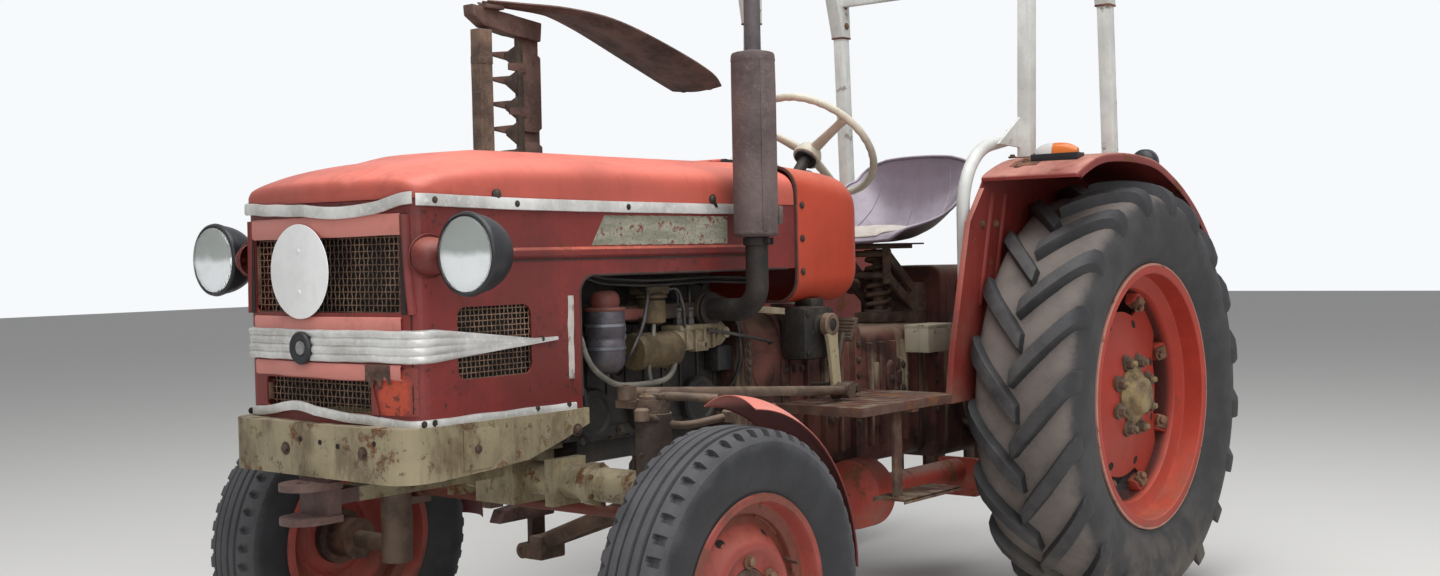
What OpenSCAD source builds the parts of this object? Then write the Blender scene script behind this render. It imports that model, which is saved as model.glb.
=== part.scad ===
// A compact farm tractor of the 1960s with a raised side mower.
// +Z is up, the tractor faces -Y and its left side is +X. Lengths are in millimetres.

/* [Running gear] */
// Distance between the front and rear axle lines
wheelbase = 1780; // [1720:10:1860]
// Distance between the centres of the front tyres
front_track = 1280; // [1260:10:1340]
// Distance between the centres of the rear tyres
rear_track = 1300; // [1290:10:1380]
// Radius of a front tyre
front_tyre_r = 355; // [348:1:358]
// Width of a front tyre
front_tyre_w = 165; // [150:1:175]
// Radius of a rear tyre to its lug tips
rear_tyre_r = 625; // [610:1:635]
// Width of a rear tyre
rear_tyre_w = 314; // [290:1:320]
// Height of a rear lug
lug_h = 32; // [24:1:38]
// Rear lugs on each side of the tread
lug_count = 20; // [18:1:22]
// Bead seat radius of a rear rim
rear_rim_r = 359; // [352:1:362]
// Bead seat radius of a front rim
front_rim_r = 206; // [203:1:210]

/* [Front axle and steering] */
// Distance from the middle to a kingpin
kingpin_x = 430; // [425:5:440]
// Radius of a kingpin
kingpin_r = 22; // [18:1:26]
// Radius of the axle tube
axle_tube_r = 38; // [32:1:42]
// Height of the axle tube
axle_z = 560; // [550:5:575]
// Length of a steering arm
steer_arm = 75; // [70:1:78]
// Radius of the steering wheel
steering_wheel_r = 200; // [180:5:215]
// Tilt of the steering column from upright
column_tilt = 45; // [38:1:50]

/* [Bonnet] */
// Half the width of the bonnet
bonnet_half_w = 281; // [270:1:286]
// Distance of the nose ahead of the front axle
nose_reach = 525; // [510:5:540]
// Lower edge of the nose
nose_low_z = 735; // [725:1:745]
// Height of the seam between the lid and the sides
belt_z = 1180; // [1170:1:1190]
// Height of the lid's crown
bonnet_top_z = 1295; // [1285:1:1305]
// Distance of the lid's rear edge behind the front axle
bonnet_back = 716; // [705:1:718]
// Thickness of the sheet metal
sheet_t = 4; // [3:0.5:5]
// Radius of a headlamp
lamp_r = 78; // [72:1:84]

/* [Cab and body] */
// Distance from the middle to a frame post
post_x = 500; // [500:5:540]
// Side of a frame post's square tube
post_w = 42; // [36:1:48]
// Height of the safety frame
frame_top_z = 2120; // [2060:10:2200]
// Height of the rear fender's crown
fender_top_z = 1320; // [1312:2:1340]
// Outer edge of the rear fender
fender_out_x = 768; // [760:2:800]
// Height of the footplates
foot_z = 675; // [660:5:690]

/* [Hitch and mower] */
// Length of a lower link between its eyes
lower_link = 700; // [680:10:740]
// Length of a lift arm
lift_arm = 360; // [340:10:380]
// Height of the lower links' front pins
link_z = 440; // [420:10:460]
// Height of the lift shaft above those pins
lift_rise = 520; // [500:10:540]
// Radius of the eyes at the lower links' ends
link_eye_r = 11.3; // [11:0.1:14.5]
// Radius of the towing pin's hole
tow_hole_r = 15; // [12:1:18]
// Radius of the power take-off shaft
pto_r = 17.5; // [17:0.5:18]
// Length of the cutter bar above its hinge
bar_length = 1570; // [1400:10:1580]
// Distance from the middle to the cutter bar's hinge
bar_hinge_x = 745; // [735:5:760]
// Height of the cutter bar's hinge
bar_hinge_z = 190; // [180:5:210]

/* [Hidden] */

RUN = 0.05; // radial clearance of a shaft in its bore
GAP = 0.3;  // clearance of a seated piece
red = "firebrick";
cream = "wheat";
rust = "saddlebrown";
tyre_grey = "dimgray";

front_y = 110; // the front axle, y = 0 is the engine's front
rear_y = front_y + wheelbase;
nose_y = front_y - nose_reach;
bonnet_rear_y = front_y + bonnet_back;
fore_end = nose_y - 104;
aft_end = rear_y + 70 + lower_link + 32;
mid_y = (fore_end + aft_end) / 2;
front_z = front_tyre_r;
rear_z = rear_tyre_r;
front_x = front_track / 2;
rear_x = rear_track / 2;
cowl_y = bonnet_rear_y + 8;
link_y = rear_y + 70;
lift_z = link_z + lift_rise;

// Points along an arc about (cx, cy), from angle a0 to a1 in n steps
function arc(cx, cy, r, a0, a1, n = 6) =
  [for (i = [0:n]) let (a = a0 + (a1 - a0) * i / n) [cx + r * cos(a), cy + r * sin(a)]];

// A rectangle with round corners from (x0, z0) to (x1, z1)
function round_box(x0, z0, x1, z1, r, n = 5) = concat(
  arc(x1 - r, z1 - r, r, 0, 90, n), arc(x0 + r, z1 - r, r, 90, 180, n),
  arc(x0 + r, z0 + r, r, 180, 270, n), arc(x1 - r, z0 + r, r, 270, 360, n));

function signed_power(v, p) = sign(v) * pow(abs(v), p);

// An arch over (-hw, z0) to (hw, z0), as high as z1, squarer as n grows
function arch(hw, z0, z1, n, steps) =
  [for (i = [0:steps]) let (a = 180 * i / steps)
    [hw * signed_power(cos(a), 2 / n), z0 + (z1 - z0) * pow(abs(sin(a)), 2 / n)]];

module place() translate([0, -mid_y, 0]) children();
module both_sides() {
  children();
  mirror([1, 0, 0]) children();
}
// An XZ outline pushed along Y from y0 to y1
module along_y(y0, y1) translate([0, y1, 0]) rotate([90, 0, 0]) linear_extrude(height = y1 - y0) children();
// A YZ outline pushed along X from x0 to x1
module along_x(x0, x1) translate([x0, 0, 0]) rotate([90, 0, 90]) linear_extrude(height = x1 - x0) children();
module along_z(z0, z1) translate([0, 0, z0]) linear_extrude(height = z1 - z0) children();
// A profile of (radius, x) turned about a line along X
module turned_x() rotate([0, 90, 0]) rotate_extrude($fn = 96) children();
module block(x0, x1, y0, y1, z0, z1) translate([x0, y0, z0]) cube([x1 - x0, y1 - y0, z1 - z0]);
// A round bar between two points
module rod(a, b, r, fn = 24) {
  v = b - a;
  translate(a) rotate([0, acos(v[2] / norm(v)), atan2(v[1], v[0])]) cylinder(r = r, h = norm(v), $fn = fn);
}
// A flat bar between two points of one YZ plane, thick along X
module link_bar(x0, x1, a, b, w) {
  v = b - a;
  translate([x0, a[0], a[1]]) rotate([atan2(v[1], v[0]), 0, 0])
    translate([0, 0, -w / 2]) cube([x1 - x0, norm(v), w]);
}

// Joins sections into a sheet: outer and inner are lists of sections with equal counts of points
module sheet_loft(outer, inner) {
  s = len(outer);
  n = len(outer[0]);
  points = concat([for (o = outer) each o], [for (i = inner) each i]);
  o = function (i, j) i * n + j;
  k = function (i, j) s * n + i * n + j;
  quads = concat(
    [for (i = [0:s - 2], j = [0:n - 2]) [o(i, j), o(i, j + 1), o(i + 1, j + 1), o(i + 1, j)]],
    [for (i = [0:s - 2], j = [0:n - 2]) [k(i, j), k(i + 1, j), k(i + 1, j + 1), k(i, j + 1)]],
    [for (j = [0:n - 2]) [o(0, j + 1), o(0, j), k(0, j), k(0, j + 1)]],
    [for (j = [0:n - 2]) [o(s - 1, j), o(s - 1, j + 1), k(s - 1, j + 1), k(s - 1, j)]],
    [for (i = [0:s - 2]) [o(i, 0), o(i + 1, 0), k(i + 1, 0), k(i, 0)]],
    [for (i = [0:s - 2]) [o(i + 1, n - 1), o(i, n - 1), k(i, n - 1), k(i + 1, n - 1)]]);
  polyhedron(points, [for (q = quads) each [[q[0], q[1], q[2]], [q[0], q[2], q[3]]]]);
}
// Joins closed sections into a solid
module solid_loft(sections) {
  s = len(sections);
  n = len(sections[0]);
  o = function (i, j) i * n + j % n;
  sides = [for (i = [0:s - 2], j = [0:n - 1]) each
    [[o(i, j), o(i, j + 1), o(i + 1, j + 1)], [o(i, j), o(i + 1, j + 1), o(i + 1, j)]]];
  polyhedron([for (t = sections) each t], concat(
    sides, [[for (j = [n - 1:-1:0]) j]], [[for (j = [0:n - 1]) (s - 1) * n + j]]));
}

/* Running gear */

module rear_lug(side, turn) {
  reach = rear_tyre_w / 2;
  crown = rear_tyre_r - lug_h;
  // across the tread: [x, turn from the lug's middle, top radius, depth, width]
  ends = [[-12, 9, rear_tyre_r - 0.2, lug_h + 12, 30], [0.93 * reach, -8, rear_tyre_r - 14, lug_h + 30, 44]];
  hull() for (e = ends)
    rotate([turn + e[1], 0, 0]) translate([side * e[0], 0, e[2] - e[3] / 2]) cube([8, e[4], e[3]], center = true);
}

module rear_tyre() color(tyre_grey) translate([rear_x, rear_y, rear_z]) {
  w = rear_tyre_w / 2;
  bead = (rear_rim_r + 0.4) / cos(180 / 36);
  crown = rear_tyre_r - lug_h;
  side = [[bead, w - 39], [bead + 24, w - 37], [bead + 40, w - 19], [bead + 130, w], [crown - 40, w - 5],
    [crown - 10, w - 26], [crown, 0]];
  rotate([0, 90, 0]) rotate_extrude($fn = 36)
    polygon(concat([for (p = side) p], [for (i = [len(side) - 2:-1:0]) [side[i][0], -side[i][1]]]));
  for (i = [0:lug_count - 1]) {
    rear_lug(1, 360 * i / lug_count);
    rear_lug(-1, 360 * (i + 0.5) / lug_count);
  }
}

module rear_rim() translate([rear_x, rear_y, rear_z]) {
  f = rear_tyre_w / 2 - 36.6; // inner face of a flange
  hub_r = 60;
  shaft_r = 40;
  color(red) {
    turned_x() polygon([
      [rear_rim_r, -f], [rear_rim_r + 22, -f], [rear_rim_r + 22, -f - 7], [rear_rim_r - 7, -f - 7],
      [rear_rim_r - 7, -62], [rear_rim_r - 50, -48], [rear_rim_r - 50, 52], [rear_rim_r - 7, 66],
      [rear_rim_r - 7, f + 7], [rear_rim_r + 22, f + 7], [rear_rim_r + 22, f], [rear_rim_r, f],
      [rear_rim_r, 60], [rear_rim_r - 43, 46], [rear_rim_r - 43, -42], [rear_rim_r, -56]]);
    difference() {
      turned_x() polygon([
        [shaft_r, 50], [110, 50], [150, 32], [260, 4], [rear_rim_r - 52, 4], [rear_rim_r - 52, 14],
        [262, 14], [154, 42], [114, 60], [shaft_r, 60]]);
      for (i = [0:7]) rotate([45 * i, 0, 0]) translate([0, 0, 215]) rotate([0, 90, 0]) cylinder(r = 12, h = 80, $fn = 24);
    }
    // the clamps that hold the disc to the rim
    for (i = [0:7]) rotate([45 * i + 22.5, 0, 0]) block(2, 34, -32, 32, rear_rim_r - 82, rear_rim_r - 49);
  }
  color("peru") turned_x() polygon([
    [0, 42], [100, 42], [100, 72], [hub_r, 80], [hub_r - 12, 104], [0, 108]]);
  color("gray") rod([-rear_x + 412, 0, 0], [45, 0, 0], shaft_r, 48);
}

module front_tyre() color(tyre_grey) translate([front_x, front_y, front_z]) {
  w = front_tyre_w / 2;
  bead = front_rim_r + 1;
  r = front_tyre_r;
  // one side of the section, as (radius, x): bead, wall, shoulder and the ribs
  side = [[bead, w - 22], [bead + 16, w - 20], [bead + 60, w - 2], [r - 62, w], [r - 26, w - 8], [r - 9, w - 18],
    [r - 6, w - 34], [r - 16, w - 36], [r - 16, w - 44], [r - 3, w - 46], [r - 2, 16], [r - 14, 14], [r - 14, 10], [r, 8]];
  turned_x() polygon(concat(side, [for (i = [len(side) - 1:-1:0]) [side[i][0], -side[i][1]]]));
}

module front_rim() translate([front_x, front_y, front_z]) {
  f = front_tyre_w / 2 - 19.4;
  color(red) difference() {
    turned_x() polygon([
      [front_rim_r, -f], [front_rim_r + 15, -f], [front_rim_r + 15, -f - 6], [front_rim_r - 6, -f - 6],
      [front_rim_r - 6, -34], [front_rim_r - 32, -24], [front_rim_r - 32, 0], [150, 8], [120, 40], [92, 46],
      [80, 30], [66, 24], [66, 34], [84, 38], [92, 54], [124, 48], [156, 16], [front_rim_r - 32, 8],
      [front_rim_r - 32, 26], [front_rim_r - 6, 36], [front_rim_r - 6, f + 6], [front_rim_r + 15, f + 6],
      [front_rim_r + 15, f], [front_rim_r, f], [front_rim_r, 30], [front_rim_r - 26, 20],
      [front_rim_r - 26, -18], [front_rim_r, -30]]);
    for (i = [0:5]) rotate([60 * i, 0, 0]) translate([0, 0, 137]) rotate([0, 90, 0]) cylinder(r = 9, h = 80, $fn = 24);
  }
  color(rust) difference() {
    turned_x() polygon([[0, -62], [52, -62], [52, 8], [70, 8], [70, 29], [64, 29], [64, 36], [40, 40], [34, 62], [0, 66]]);
    rod([-70, 0, 0], [40, 0, 0], kingpin_r + RUN, 48);
  }
}

// Mudguard that turns with the front wheel, on its strap
module front_fender() translate([front_x, front_y, 0]) {
  t = sheet_t;
  r = front_tyre_r + 52;
  w = 70;
  in = 25; // the guard sits this far inwards of the tyre's middle
  head = axle_z + 165 + GAP + 30 + GAP; // the top of the knuckle
  color(red) translate([-in, 0, front_z]) rotate([0, 90, 0]) rotate([0, 0, 90])
    rotate_extrude(angle = 86, $fn = 96) polygon([
      [r, -w], [r + 10, -w + 26], [r + 10, w - 26], [r, w], [r - t, w - 1], [r + 10 - t, w - 27], [r + 10 - t, -w + 27], [r - t, -w + 1]]);
  color(rust) {
    block(kingpin_x - front_x - 24, kingpin_x - front_x + 60, -18, 24, head, head + 12);
    rod([kingpin_x - front_x + 50, 4, head + 6], [-in - w + 14, 60, front_z + r - 6], 10, 24);
  }
}

module front_axle() color(cream) translate([0, front_y, 0]) {
  house_r = kingpin_r + 17;
  house_low = axle_z - 48;
  house_top = axle_z + 165;
  difference() {
    union() {
      rod([-kingpin_x, 0, axle_z], [kingpin_x, 0, axle_z], axle_tube_r, 48);
      both_sides() {
        translate([kingpin_x, 0, house_low]) cylinder(r = house_r, h = house_top - house_low, $fn = 48);
        translate([kingpin_x - 190, 0, axle_z]) rotate([0, 90, 0]) cylinder(r = axle_tube_r + 9, h = 26, $fn = 48);
        block(150, 176, -52, 52, axle_z - 52, axle_z + 52);
      }
      block(-62, 62, -66, 66, axle_z - 55, axle_z + 62);
    }
    both_sides() translate([kingpin_x, 0, house_low - 5]) cylinder(r = kingpin_r + RUN, h = house_top - house_low + 10, $fn = 48);
  }
}

// The left knuckle; the right one has no arm for the drag link
module knuckle(with_arm) {
  house_low = axle_z - 48;
  house_top = axle_z + 165;
  color(rust) translate([kingpin_x, front_y, 0]) {
    translate([0, 0, front_z - 34]) cylinder(r = kingpin_r, h = house_top + 22 - front_z + 34, $fn = 48);
    translate([0, 0, front_z - 40]) cylinder(r = kingpin_r + 16, h = house_low - GAP - front_z + 40, $fn = 48);
    translate([0, 0, house_top + GAP]) cylinder(r = kingpin_r + 14, h = 30, $fn = 48);
    rod([0, 0, front_z], [front_x - kingpin_x + 36, 0, 0] + [0, 0, front_z], kingpin_r, 48);
    // arm for the tie rod, with its pin
    block(-20, 20, 0, steer_arm + 20, tie_z - 32, tie_z - 16);
    translate([0, steer_arm, tie_z - 17]) cylinder(r = 8, h = 34, $fn = 32);
    if (with_arm) {
      block(-steer_arm - 18, 0, -17, 17, house_top + 8, house_top + 24);
      translate([-steer_arm, 0, house_top + 23]) cylinder(r = 8, h = 34, $fn = 32);
    }
  }
}
tie_z = axle_z - 75;
drag_z = axle_z + 165 + 40;
pitman_top = [918, 872]; // (y, z) of the steering box's shaft
pitman_low = [940, 702];

module tie_rod() color(red) {
  translate([0, front_y, 0]) difference() {
    union() {
      rod([-kingpin_x, steer_arm, tie_z], [kingpin_x, steer_arm, tie_z], 13, 32);
      both_sides() translate([kingpin_x, steer_arm, tie_z - 15.5]) cylinder(r = 22, h = 30, $fn = 48);
    }
    translate([kingpin_x, steer_arm, tie_z - 20]) cylinder(r = 8 + RUN, h = 40, $fn = 32);
    translate([-kingpin_x, steer_arm, tie_z - 20]) cylinder(r = 9, h = 40, $fn = 32);
  }
}

module drag_link() color(rust) {
  x = kingpin_x - steer_arm;
  difference() {
    union() {
      rod([x, front_y, drag_z], [x, pitman_low[0], pitman_low[1]], 12, 32);
      translate([x, front_y, drag_z - 15]) cylinder(r = 21, h = 30, $fn = 48);
      translate([x - 20, pitman_low[0], pitman_low[1]]) rotate([0, 90, 0]) cylinder(r = 20, h = 38, $fn = 48);
    }
    translate([x, front_y, drag_z - 20]) cylinder(r = 8 + RUN, h = 40, $fn = 32);
  }
}

module pitman_arm() {
  x1 = kingpin_x - steer_arm - 20 - GAP;
  color(cream) difference() {
    union() {
      link_bar(x1 - 18, x1, pitman_top, pitman_low, 38);
      translate([x1 - 24, pitman_top[0], pitman_top[1]]) rotate([0, 90, 0]) cylinder(r = 31, h = 24, $fn = 48);
      translate([x1 - 18, pitman_low[0], pitman_low[1]]) rotate([0, 90, 0]) cylinder(r = 24, h = 18, $fn = 48);
    }
    translate([x1 - 30, pitman_top[0], pitman_top[1]]) rotate([0, 90, 0]) cylinder(r = 16 + RUN, h = 40, $fn = 48);
  }
}

module steering_column() {
  hub = wheel_hub();
  a = column_tilt;
  down = [0, -sin(a), -cos(a)];
  color("darkslategray") {
    rod(hub + 330 * down, hub - 14 * down, 17, 32);
    rod(hub + 330 * down, hub + 150 * down, 34, 32);
  }
  // steering box on the clutch housing, with the shaft of the pitman arm
  color(rust) {
    block(215 + GAP, 300, pitman_top[0] - 75, pitman_top[0] + 60, pitman_top[1] - 92, pitman_top[1] + 50);
    rod([290, pitman_top[0], pitman_top[1]], [kingpin_x - steer_arm - 47, pitman_top[0], pitman_top[1]], 26, 48);
    rod([290, pitman_top[0], pitman_top[1]], [kingpin_x - steer_arm - 22, pitman_top[0], pitman_top[1]], 16, 48);
  }
}
function wheel_hub() = [0, cowl_y + 437, 1324];

module steering_wheel() color("ivory") translate(wheel_hub()) rotate([-column_tilt, 0, 0]) {
      translate([0, 0, 14 + GAP]) cylinder(r1 = 34, r2 = 20, h = 36, $fn = 48);
      translate([0, 0, 58]) rotate_extrude($fn = 96) translate([steering_wheel_r - 12, 0]) circle(r = 12, $fn = 24);
      for (i = [0:2]) rotate([0, 0, 120 * i + 90])
        rod([18, 0, 30], [steering_wheel_r - 12, 0, 58], 10, 20);
}

/* Body */

module front_beam() {
  out = bonnet_half_w + 9;
  low = nose_low_z - 108;
  front = nose_y - 38;
  color(cream) {
    intersection() {
      along_z(low - 5, nose_low_z - GAP) difference() {
        polygon(concat([[-out, 60]], arc(-out + 60, front + 60, 60, 180, 270), arc(out - 60, front + 60, 60, 270, 360), [[out, 60]]));
        polygon([[-out + 34, 80], [-out + 34, front + 46], [out - 34, front + 46], [out - 34, 80]]);
      }
      along_x(-out - 10, out + 10) polygon([
        [front - 10, nose_low_z], [60, nose_low_z], [60, nose_low_z - 34], [-20, nose_low_z - 62], [-120, low + 16],
        [-220, low + 8], [-360, low], [front - 10, low]]);
    }
    // the casting between the beam and the engine, over the axle's pivot
    block(-out + 34, out - 34, -80, -30, nose_low_z - 60, nose_low_z - 20);
    block(-90, 90, -95, 30, axle_z + 62 + GAP, nose_low_z - 20);
    block(-90, 90, 29, front_y + 66, axle_z + 62 + GAP, axle_z + 76);
    block(-120, 120, -60, 30, nose_low_z - 60, nose_low_z - 18 - GAP);
    both_sides() block(96, 130, 29, 62 - GAP, nose_low_z - 60, nose_low_z - 18 - GAP);
  }
  // towing jaw under the beam
  color(rust) difference() {
    union() {
      for (z = [low - 92, low - 24])
        along_z(z, z + 14) polygon(concat([[-52, front + 40]], arc(0, front - 14, 52, 180, 360, 12), [[52, front + 40]]));
      block(-46, 46, front + 6, front + 40, low - 92, low + 4);
    }
    translate([0, front - 18, low - 110]) cylinder(r = tow_hole_r, h = 120, $fn = 48);
  }
  color(rust) block(-30, 30, front + 39, front_y - 66 - GAP, low - 60, low - 30);
  color(rust) block(-30, 30, -122, front_y - 66 - GAP, low - 60, axle_z + 66);
}

// The nose's outline in plan, moved inwards by d
function nose_plan(d) = concat(
  [[-bonnet_half_w + d, 50]], arc(-bonnet_half_w + 40, nose_y + 50, 40 - d, 180, 260),
  [[0, nose_y - 12 + d]], arc(bonnet_half_w - 40, nose_y + 50, 40 - d, 280, 360), [[bonnet_half_w - d, 50]]);

// Where the inner face of the nose lies at a distance x from the middle
function nose_inside(x) = let (r = 40 - sheet_t, x1 = bonnet_half_w - 40 + r * cos(80), y1 = nose_y + 50 - r * sin(80),
  y0 = nose_y - 12 + sheet_t) y0 + (y1 - y0) * x / x1;

// grille windows: [x0, x1, z0, z1] on the front, then [y0, y1, z0, z1] on the sides
upper_window = [-238, 238, 958, 1112];
lower_window = [-205, 205, 757, 822];
side_window = [-300, -98, 820, 965];

module nose_shell() color(red) difference() {
  along_z(nose_low_z, belt_z - GAP) difference() {
    polygon(nose_plan(0));
    polygon(concat([[-bonnet_half_w + sheet_t, 51]], nose_plan(sheet_t), [[bonnet_half_w - sheet_t, 51]]));
  }
  for (w = [upper_window, lower_window]) along_y(nose_y - 40, nose_y + 60) polygon(round_box(w[0], w[2], w[1], w[3], 10));
  along_x(-400, 400) polygon(round_box(side_window[0], side_window[2], side_window[1], side_window[3], 22));
}

module mesh_panel(u0, u1, z0, z1, cell) {
  bar = 4;
  nu = floor((u1 - u0) / cell);
  nz = floor((z1 - z0) / cell);
  pu = (u1 - u0 - bar) / nu;
  pz = (z1 - z0 - bar) / nz;
  difference() {
    translate([u0, z0]) square([u1 - u0, z1 - z0]);
    for (i = [0:nu - 1], j = [0:nz - 1])
      translate([u0 + bar + i * pu, z0 + bar + j * pz]) square([pu - bar, pz - bar]);
  }
}

module grille_mesh() color("rosybrown") {
  back = nose_y + 19;
  for (w = [upper_window, lower_window]) along_y(back, back + 4) mesh_panel(w[0] - 8, w[1] + 8, w[2] - 8, w[3] + 8, 25);
  both_sides() along_x(bonnet_half_w - sheet_t - GAP - 4, bonnet_half_w - sheet_t - GAP)
    mesh_panel(side_window[0] - 8, side_window[1] + 8, side_window[2] - 8, side_window[3] + 8, 25);
  // frames that carry the front meshes against the shell
  for (w = [upper_window, lower_window]) for (s = [-1, 1])
    block(s > 0 ? w[1] : w[0] - 7, s > 0 ? w[1] + 7 : w[0], nose_inside(w[1] + 7) + GAP, back + 1, w[2] + 14, w[3] - 14);
}

module upper_panels() color(red) both_sides() {
  x = bonnet_half_w;
  low = belt_z - 160;
  difference() {
    union() {
      block(x - sheet_t, x, 50 + GAP, cowl_y - GAP, low, belt_z - GAP);
      // the pressed bead along the panel
      along_y(50 + GAP, 690) polygon([[x, low + 62], [x + 7, low + 56], [x + 7, low + 44], [x, low + 38]]);
      block(x - 26, x - sheet_t, 50 + GAP, cowl_y - GAP, low, low + 4);
    }
  }
}

// A strip round the nose, t thick, from z0 up to z1
module nose_strip(z0, z1, t) along_z(z0, z1) difference() {
  polygon(nose_plan(-t));
  polygon(concat([[-bonnet_half_w, 52]], nose_plan(0), [[bonnet_half_w, 52]]));
}

module bright_trim() color("silver") {
  t = 4;
  nose_strip(belt_z - 26, belt_z - GAP, t);
  both_sides() block(bonnet_half_w, bonnet_half_w + t, 50 + GAP, 630, belt_z - 26, belt_z - GAP);
  nose_strip(nose_low_z, nose_low_z + 20, t);
  // the ribbed band that narrows to a spear on each side
  intersection() {
    union() {
      nose_strip(857, 914, t);
      for (z = [862, 880, 898]) nose_strip(z, z + 8, t + 4);
    }
    along_x(-400, 400) polygon([[nose_y - 60, 857], [nose_y + 60, 857], [-24, 884], [-24, 892], [nose_y + 60, 914], [nose_y - 60, 914]]);
  }
  translate([-30, nose_y - 12 - GAP, 886]) rotate([90, 0, 0]) cylinder(r = 27, h = 17, $fn = 48);
}

module number_disc() color("white") {
  translate([-45, nose_y - 14, 1042]) rotate([90, 0, 0]) cylinder(r = 97, h = 3, $fn = 64);
  for (z = [1000, 1084]) translate([-45, nose_y + 19 - GAP, z]) rotate([90, 0, 0]) cylinder(r = 5, h = 34 - GAP, $fn = 24);
}

lamp_pos = [415, nose_y + 30, 1070];
module headlamp_shells() both_sides() {
  color("black") translate(lamp_pos) rotate([90, 0, 0]) rotate_extrude($fn = 72) polygon(concat(
    [[lamp_r - 9, 8], [lamp_r - 3, 8], [lamp_r, 4], [lamp_r, -6]], [for (p = arc(0, -6, lamp_r - 3, 0, -90, 8)) [p[0], p[1] * 1.12]],
    [for (p = arc(0, -6, lamp_r - 9, -90, 0, 8)) [p[0], p[1] * 1.12]]));
  // the round boss on the panel
  color(red) {
    translate([bonnet_half_w + 34 + GAP, lamp_pos[1] + 48, lamp_pos[2] - 6]) sphere(r = 34, $fn = 32);
    rod([bonnet_half_w + GAP, lamp_pos[1] + 48, lamp_pos[2] - 6], [bonnet_half_w + 30, lamp_pos[1] + 48, lamp_pos[2] - 6], 30, 32);
    rod([bonnet_half_w + 40, lamp_pos[1] + 48, lamp_pos[2] - 6], [lamp_pos[0] - 67, lamp_pos[1] + 54, lamp_pos[2]], 14, 24);
  }
}
module headlamp_glass() color("gainsboro") both_sides()
  translate([lamp_pos[0], lamp_pos[1] - 8 - GAP, lamp_pos[2]]) rotate([90, 0, 0]) rotate_extrude($fn = 72)
    polygon(concat([[0, 0], [lamp_r - 6, 0]], arc(0, -150, 170, 63, 90, 8)));

// How far the nose's outline lies behind its middle at a distance x from it
function set_back(x) = let (a = abs(x), c = bonnet_half_w - 40)
  a < c ? 22 * a / c : 22 + 40 - sqrt(max(0, 40 * 40 - pow(min(a, bonnet_half_w) - c, 2)));

module bonnet_lid() {
  z0 = belt_z + GAP;
  // along the lid: [y, half width, crown height, squareness, how far it follows the nose in plan]
  table = [
    [nose_y - 16, bonnet_half_w, belt_z + 26, 4, 1], [nose_y - 10, bonnet_half_w + 1, belt_z + 46, 3.6, 1],
    [nose_y + 24, bonnet_half_w + 2, belt_z + 72, 3.5, 0.9], [nose_y + 90, bonnet_half_w + 3, bonnet_top_z - 24, 3.6, 0.5],
    [nose_y + 190, bonnet_half_w + 3, bonnet_top_z - 7, 3.8, 0.1], [-100, bonnet_half_w + 3, bonnet_top_z, 4, 0],
    [bonnet_rear_y, bonnet_half_w + 3, bonnet_top_z, 4, 0]];
  t = sheet_t;
  color(red) sheet_loft(
    [for (s = table) [for (p = arch(s[1], z0, s[2], s[3], 20)) [p[0], s[0] + s[4] * set_back(p[0]), p[1]]]],
    [for (s = table) [for (p = arch(s[1] - t, z0, s[2] - t, s[3], 20)) [p[0], s[0] + s[4] * set_back(p[0]), p[1]]]]);
  // barrel of the rear hinge
  color(red) {
    rod([-50, hinge_y, hinge_z], [50, hinge_y, hinge_z], 7, 24);
    block(-50, 50, bonnet_rear_y - 40, hinge_y, bonnet_top_z - 2, bonnet_top_z + 4);
  }
}
hinge_y = bonnet_rear_y + 4;
hinge_z = bonnet_top_z + 8;

module dash_cowl() {
  // along the cowl: [y, half width, low z, top z, corner radius]
  table = [
    [cowl_y, 285, 930, bonnet_top_z - 12, 66], [cowl_y + 170, 294, 930, bonnet_top_z - 26, 70],
    [cowl_y + 235, 294, 930, bonnet_top_z - 36, 72], [cowl_y + 268, 286, 940, bonnet_top_z - 48, 74],
    [cowl_y + 282, 268, 956, bonnet_top_z - 68, 66]];
  t = sheet_t + 1;
  inner = concat([[cowl_y - 10, 285 - t, 930 + t, bonnet_top_z - 12 - t, 66 - t]],
    [for (i = [0:3]) [table[i][0] - (i > 0 ? t : 0), table[i][1] - t, table[i][2] + t, table[i][3] - t, table[i][4] - t]]);
  hub = wheel_hub();
  color("orangered") {
    difference() {
      solid_loft([for (s = table) [for (p = round_box(-s[1], s[2], s[1], s[3], s[4], 5)) [p[0], s[0], p[1]]]]);
      solid_loft([for (s = inner) [for (p = round_box(-s[1], s[2], s[1], s[3], s[4], 5)) [p[0], s[0], p[1]]]]);
      rod(hub - [0, 233, 233], hub - [0, 60, 60], 34 + GAP, 48);
    }
    // ears of the bonnet's hinge
    both_sides() block(50 + GAP, 62, cowl_y + 5, cowl_y + 30, bonnet_top_z - 18, hinge_z + 6);
    both_sides() block(50 + GAP, 62, hinge_y, cowl_y + 10, hinge_z - 7, hinge_z + 7);
    both_sides() rod([50 + GAP, hinge_y, hinge_z], [62, hinge_y, hinge_z], 7, 32);
  }
}

module exhaust() {
  x = bonnet_half_w + 76;
  y = 575;
  color(rust) {
    translate([x, y, 1104]) cylinder(r = 54, h = 420, $fn = 64);
    translate([x, y, 1098]) cylinder(r1 = 45, r2 = 51, h = 8, $fn = 64);
    translate([x, y, 1522]) cylinder(r1 = 50, r2 = 30, h = 16, $fn = 64);
    translate([x, y, 1530]) cylinder(r = 20, h = 430, $fn = 48);
    translate([x, y, 981]) cylinder(r = 28, h = 120, $fn = 48);
    // elbow and the pipe to the manifold
    translate([x - 60, y, 985]) rotate([90, 0, 0]) rotate([0, 0, -90]) rotate_extrude(angle = 90, $fn = 48) translate([60, 0]) circle(r = 27, $fn = 32);
    rod([x - 56, y, 925], [205 + GAP, y, 925], 28, 32);
  }
}

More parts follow.
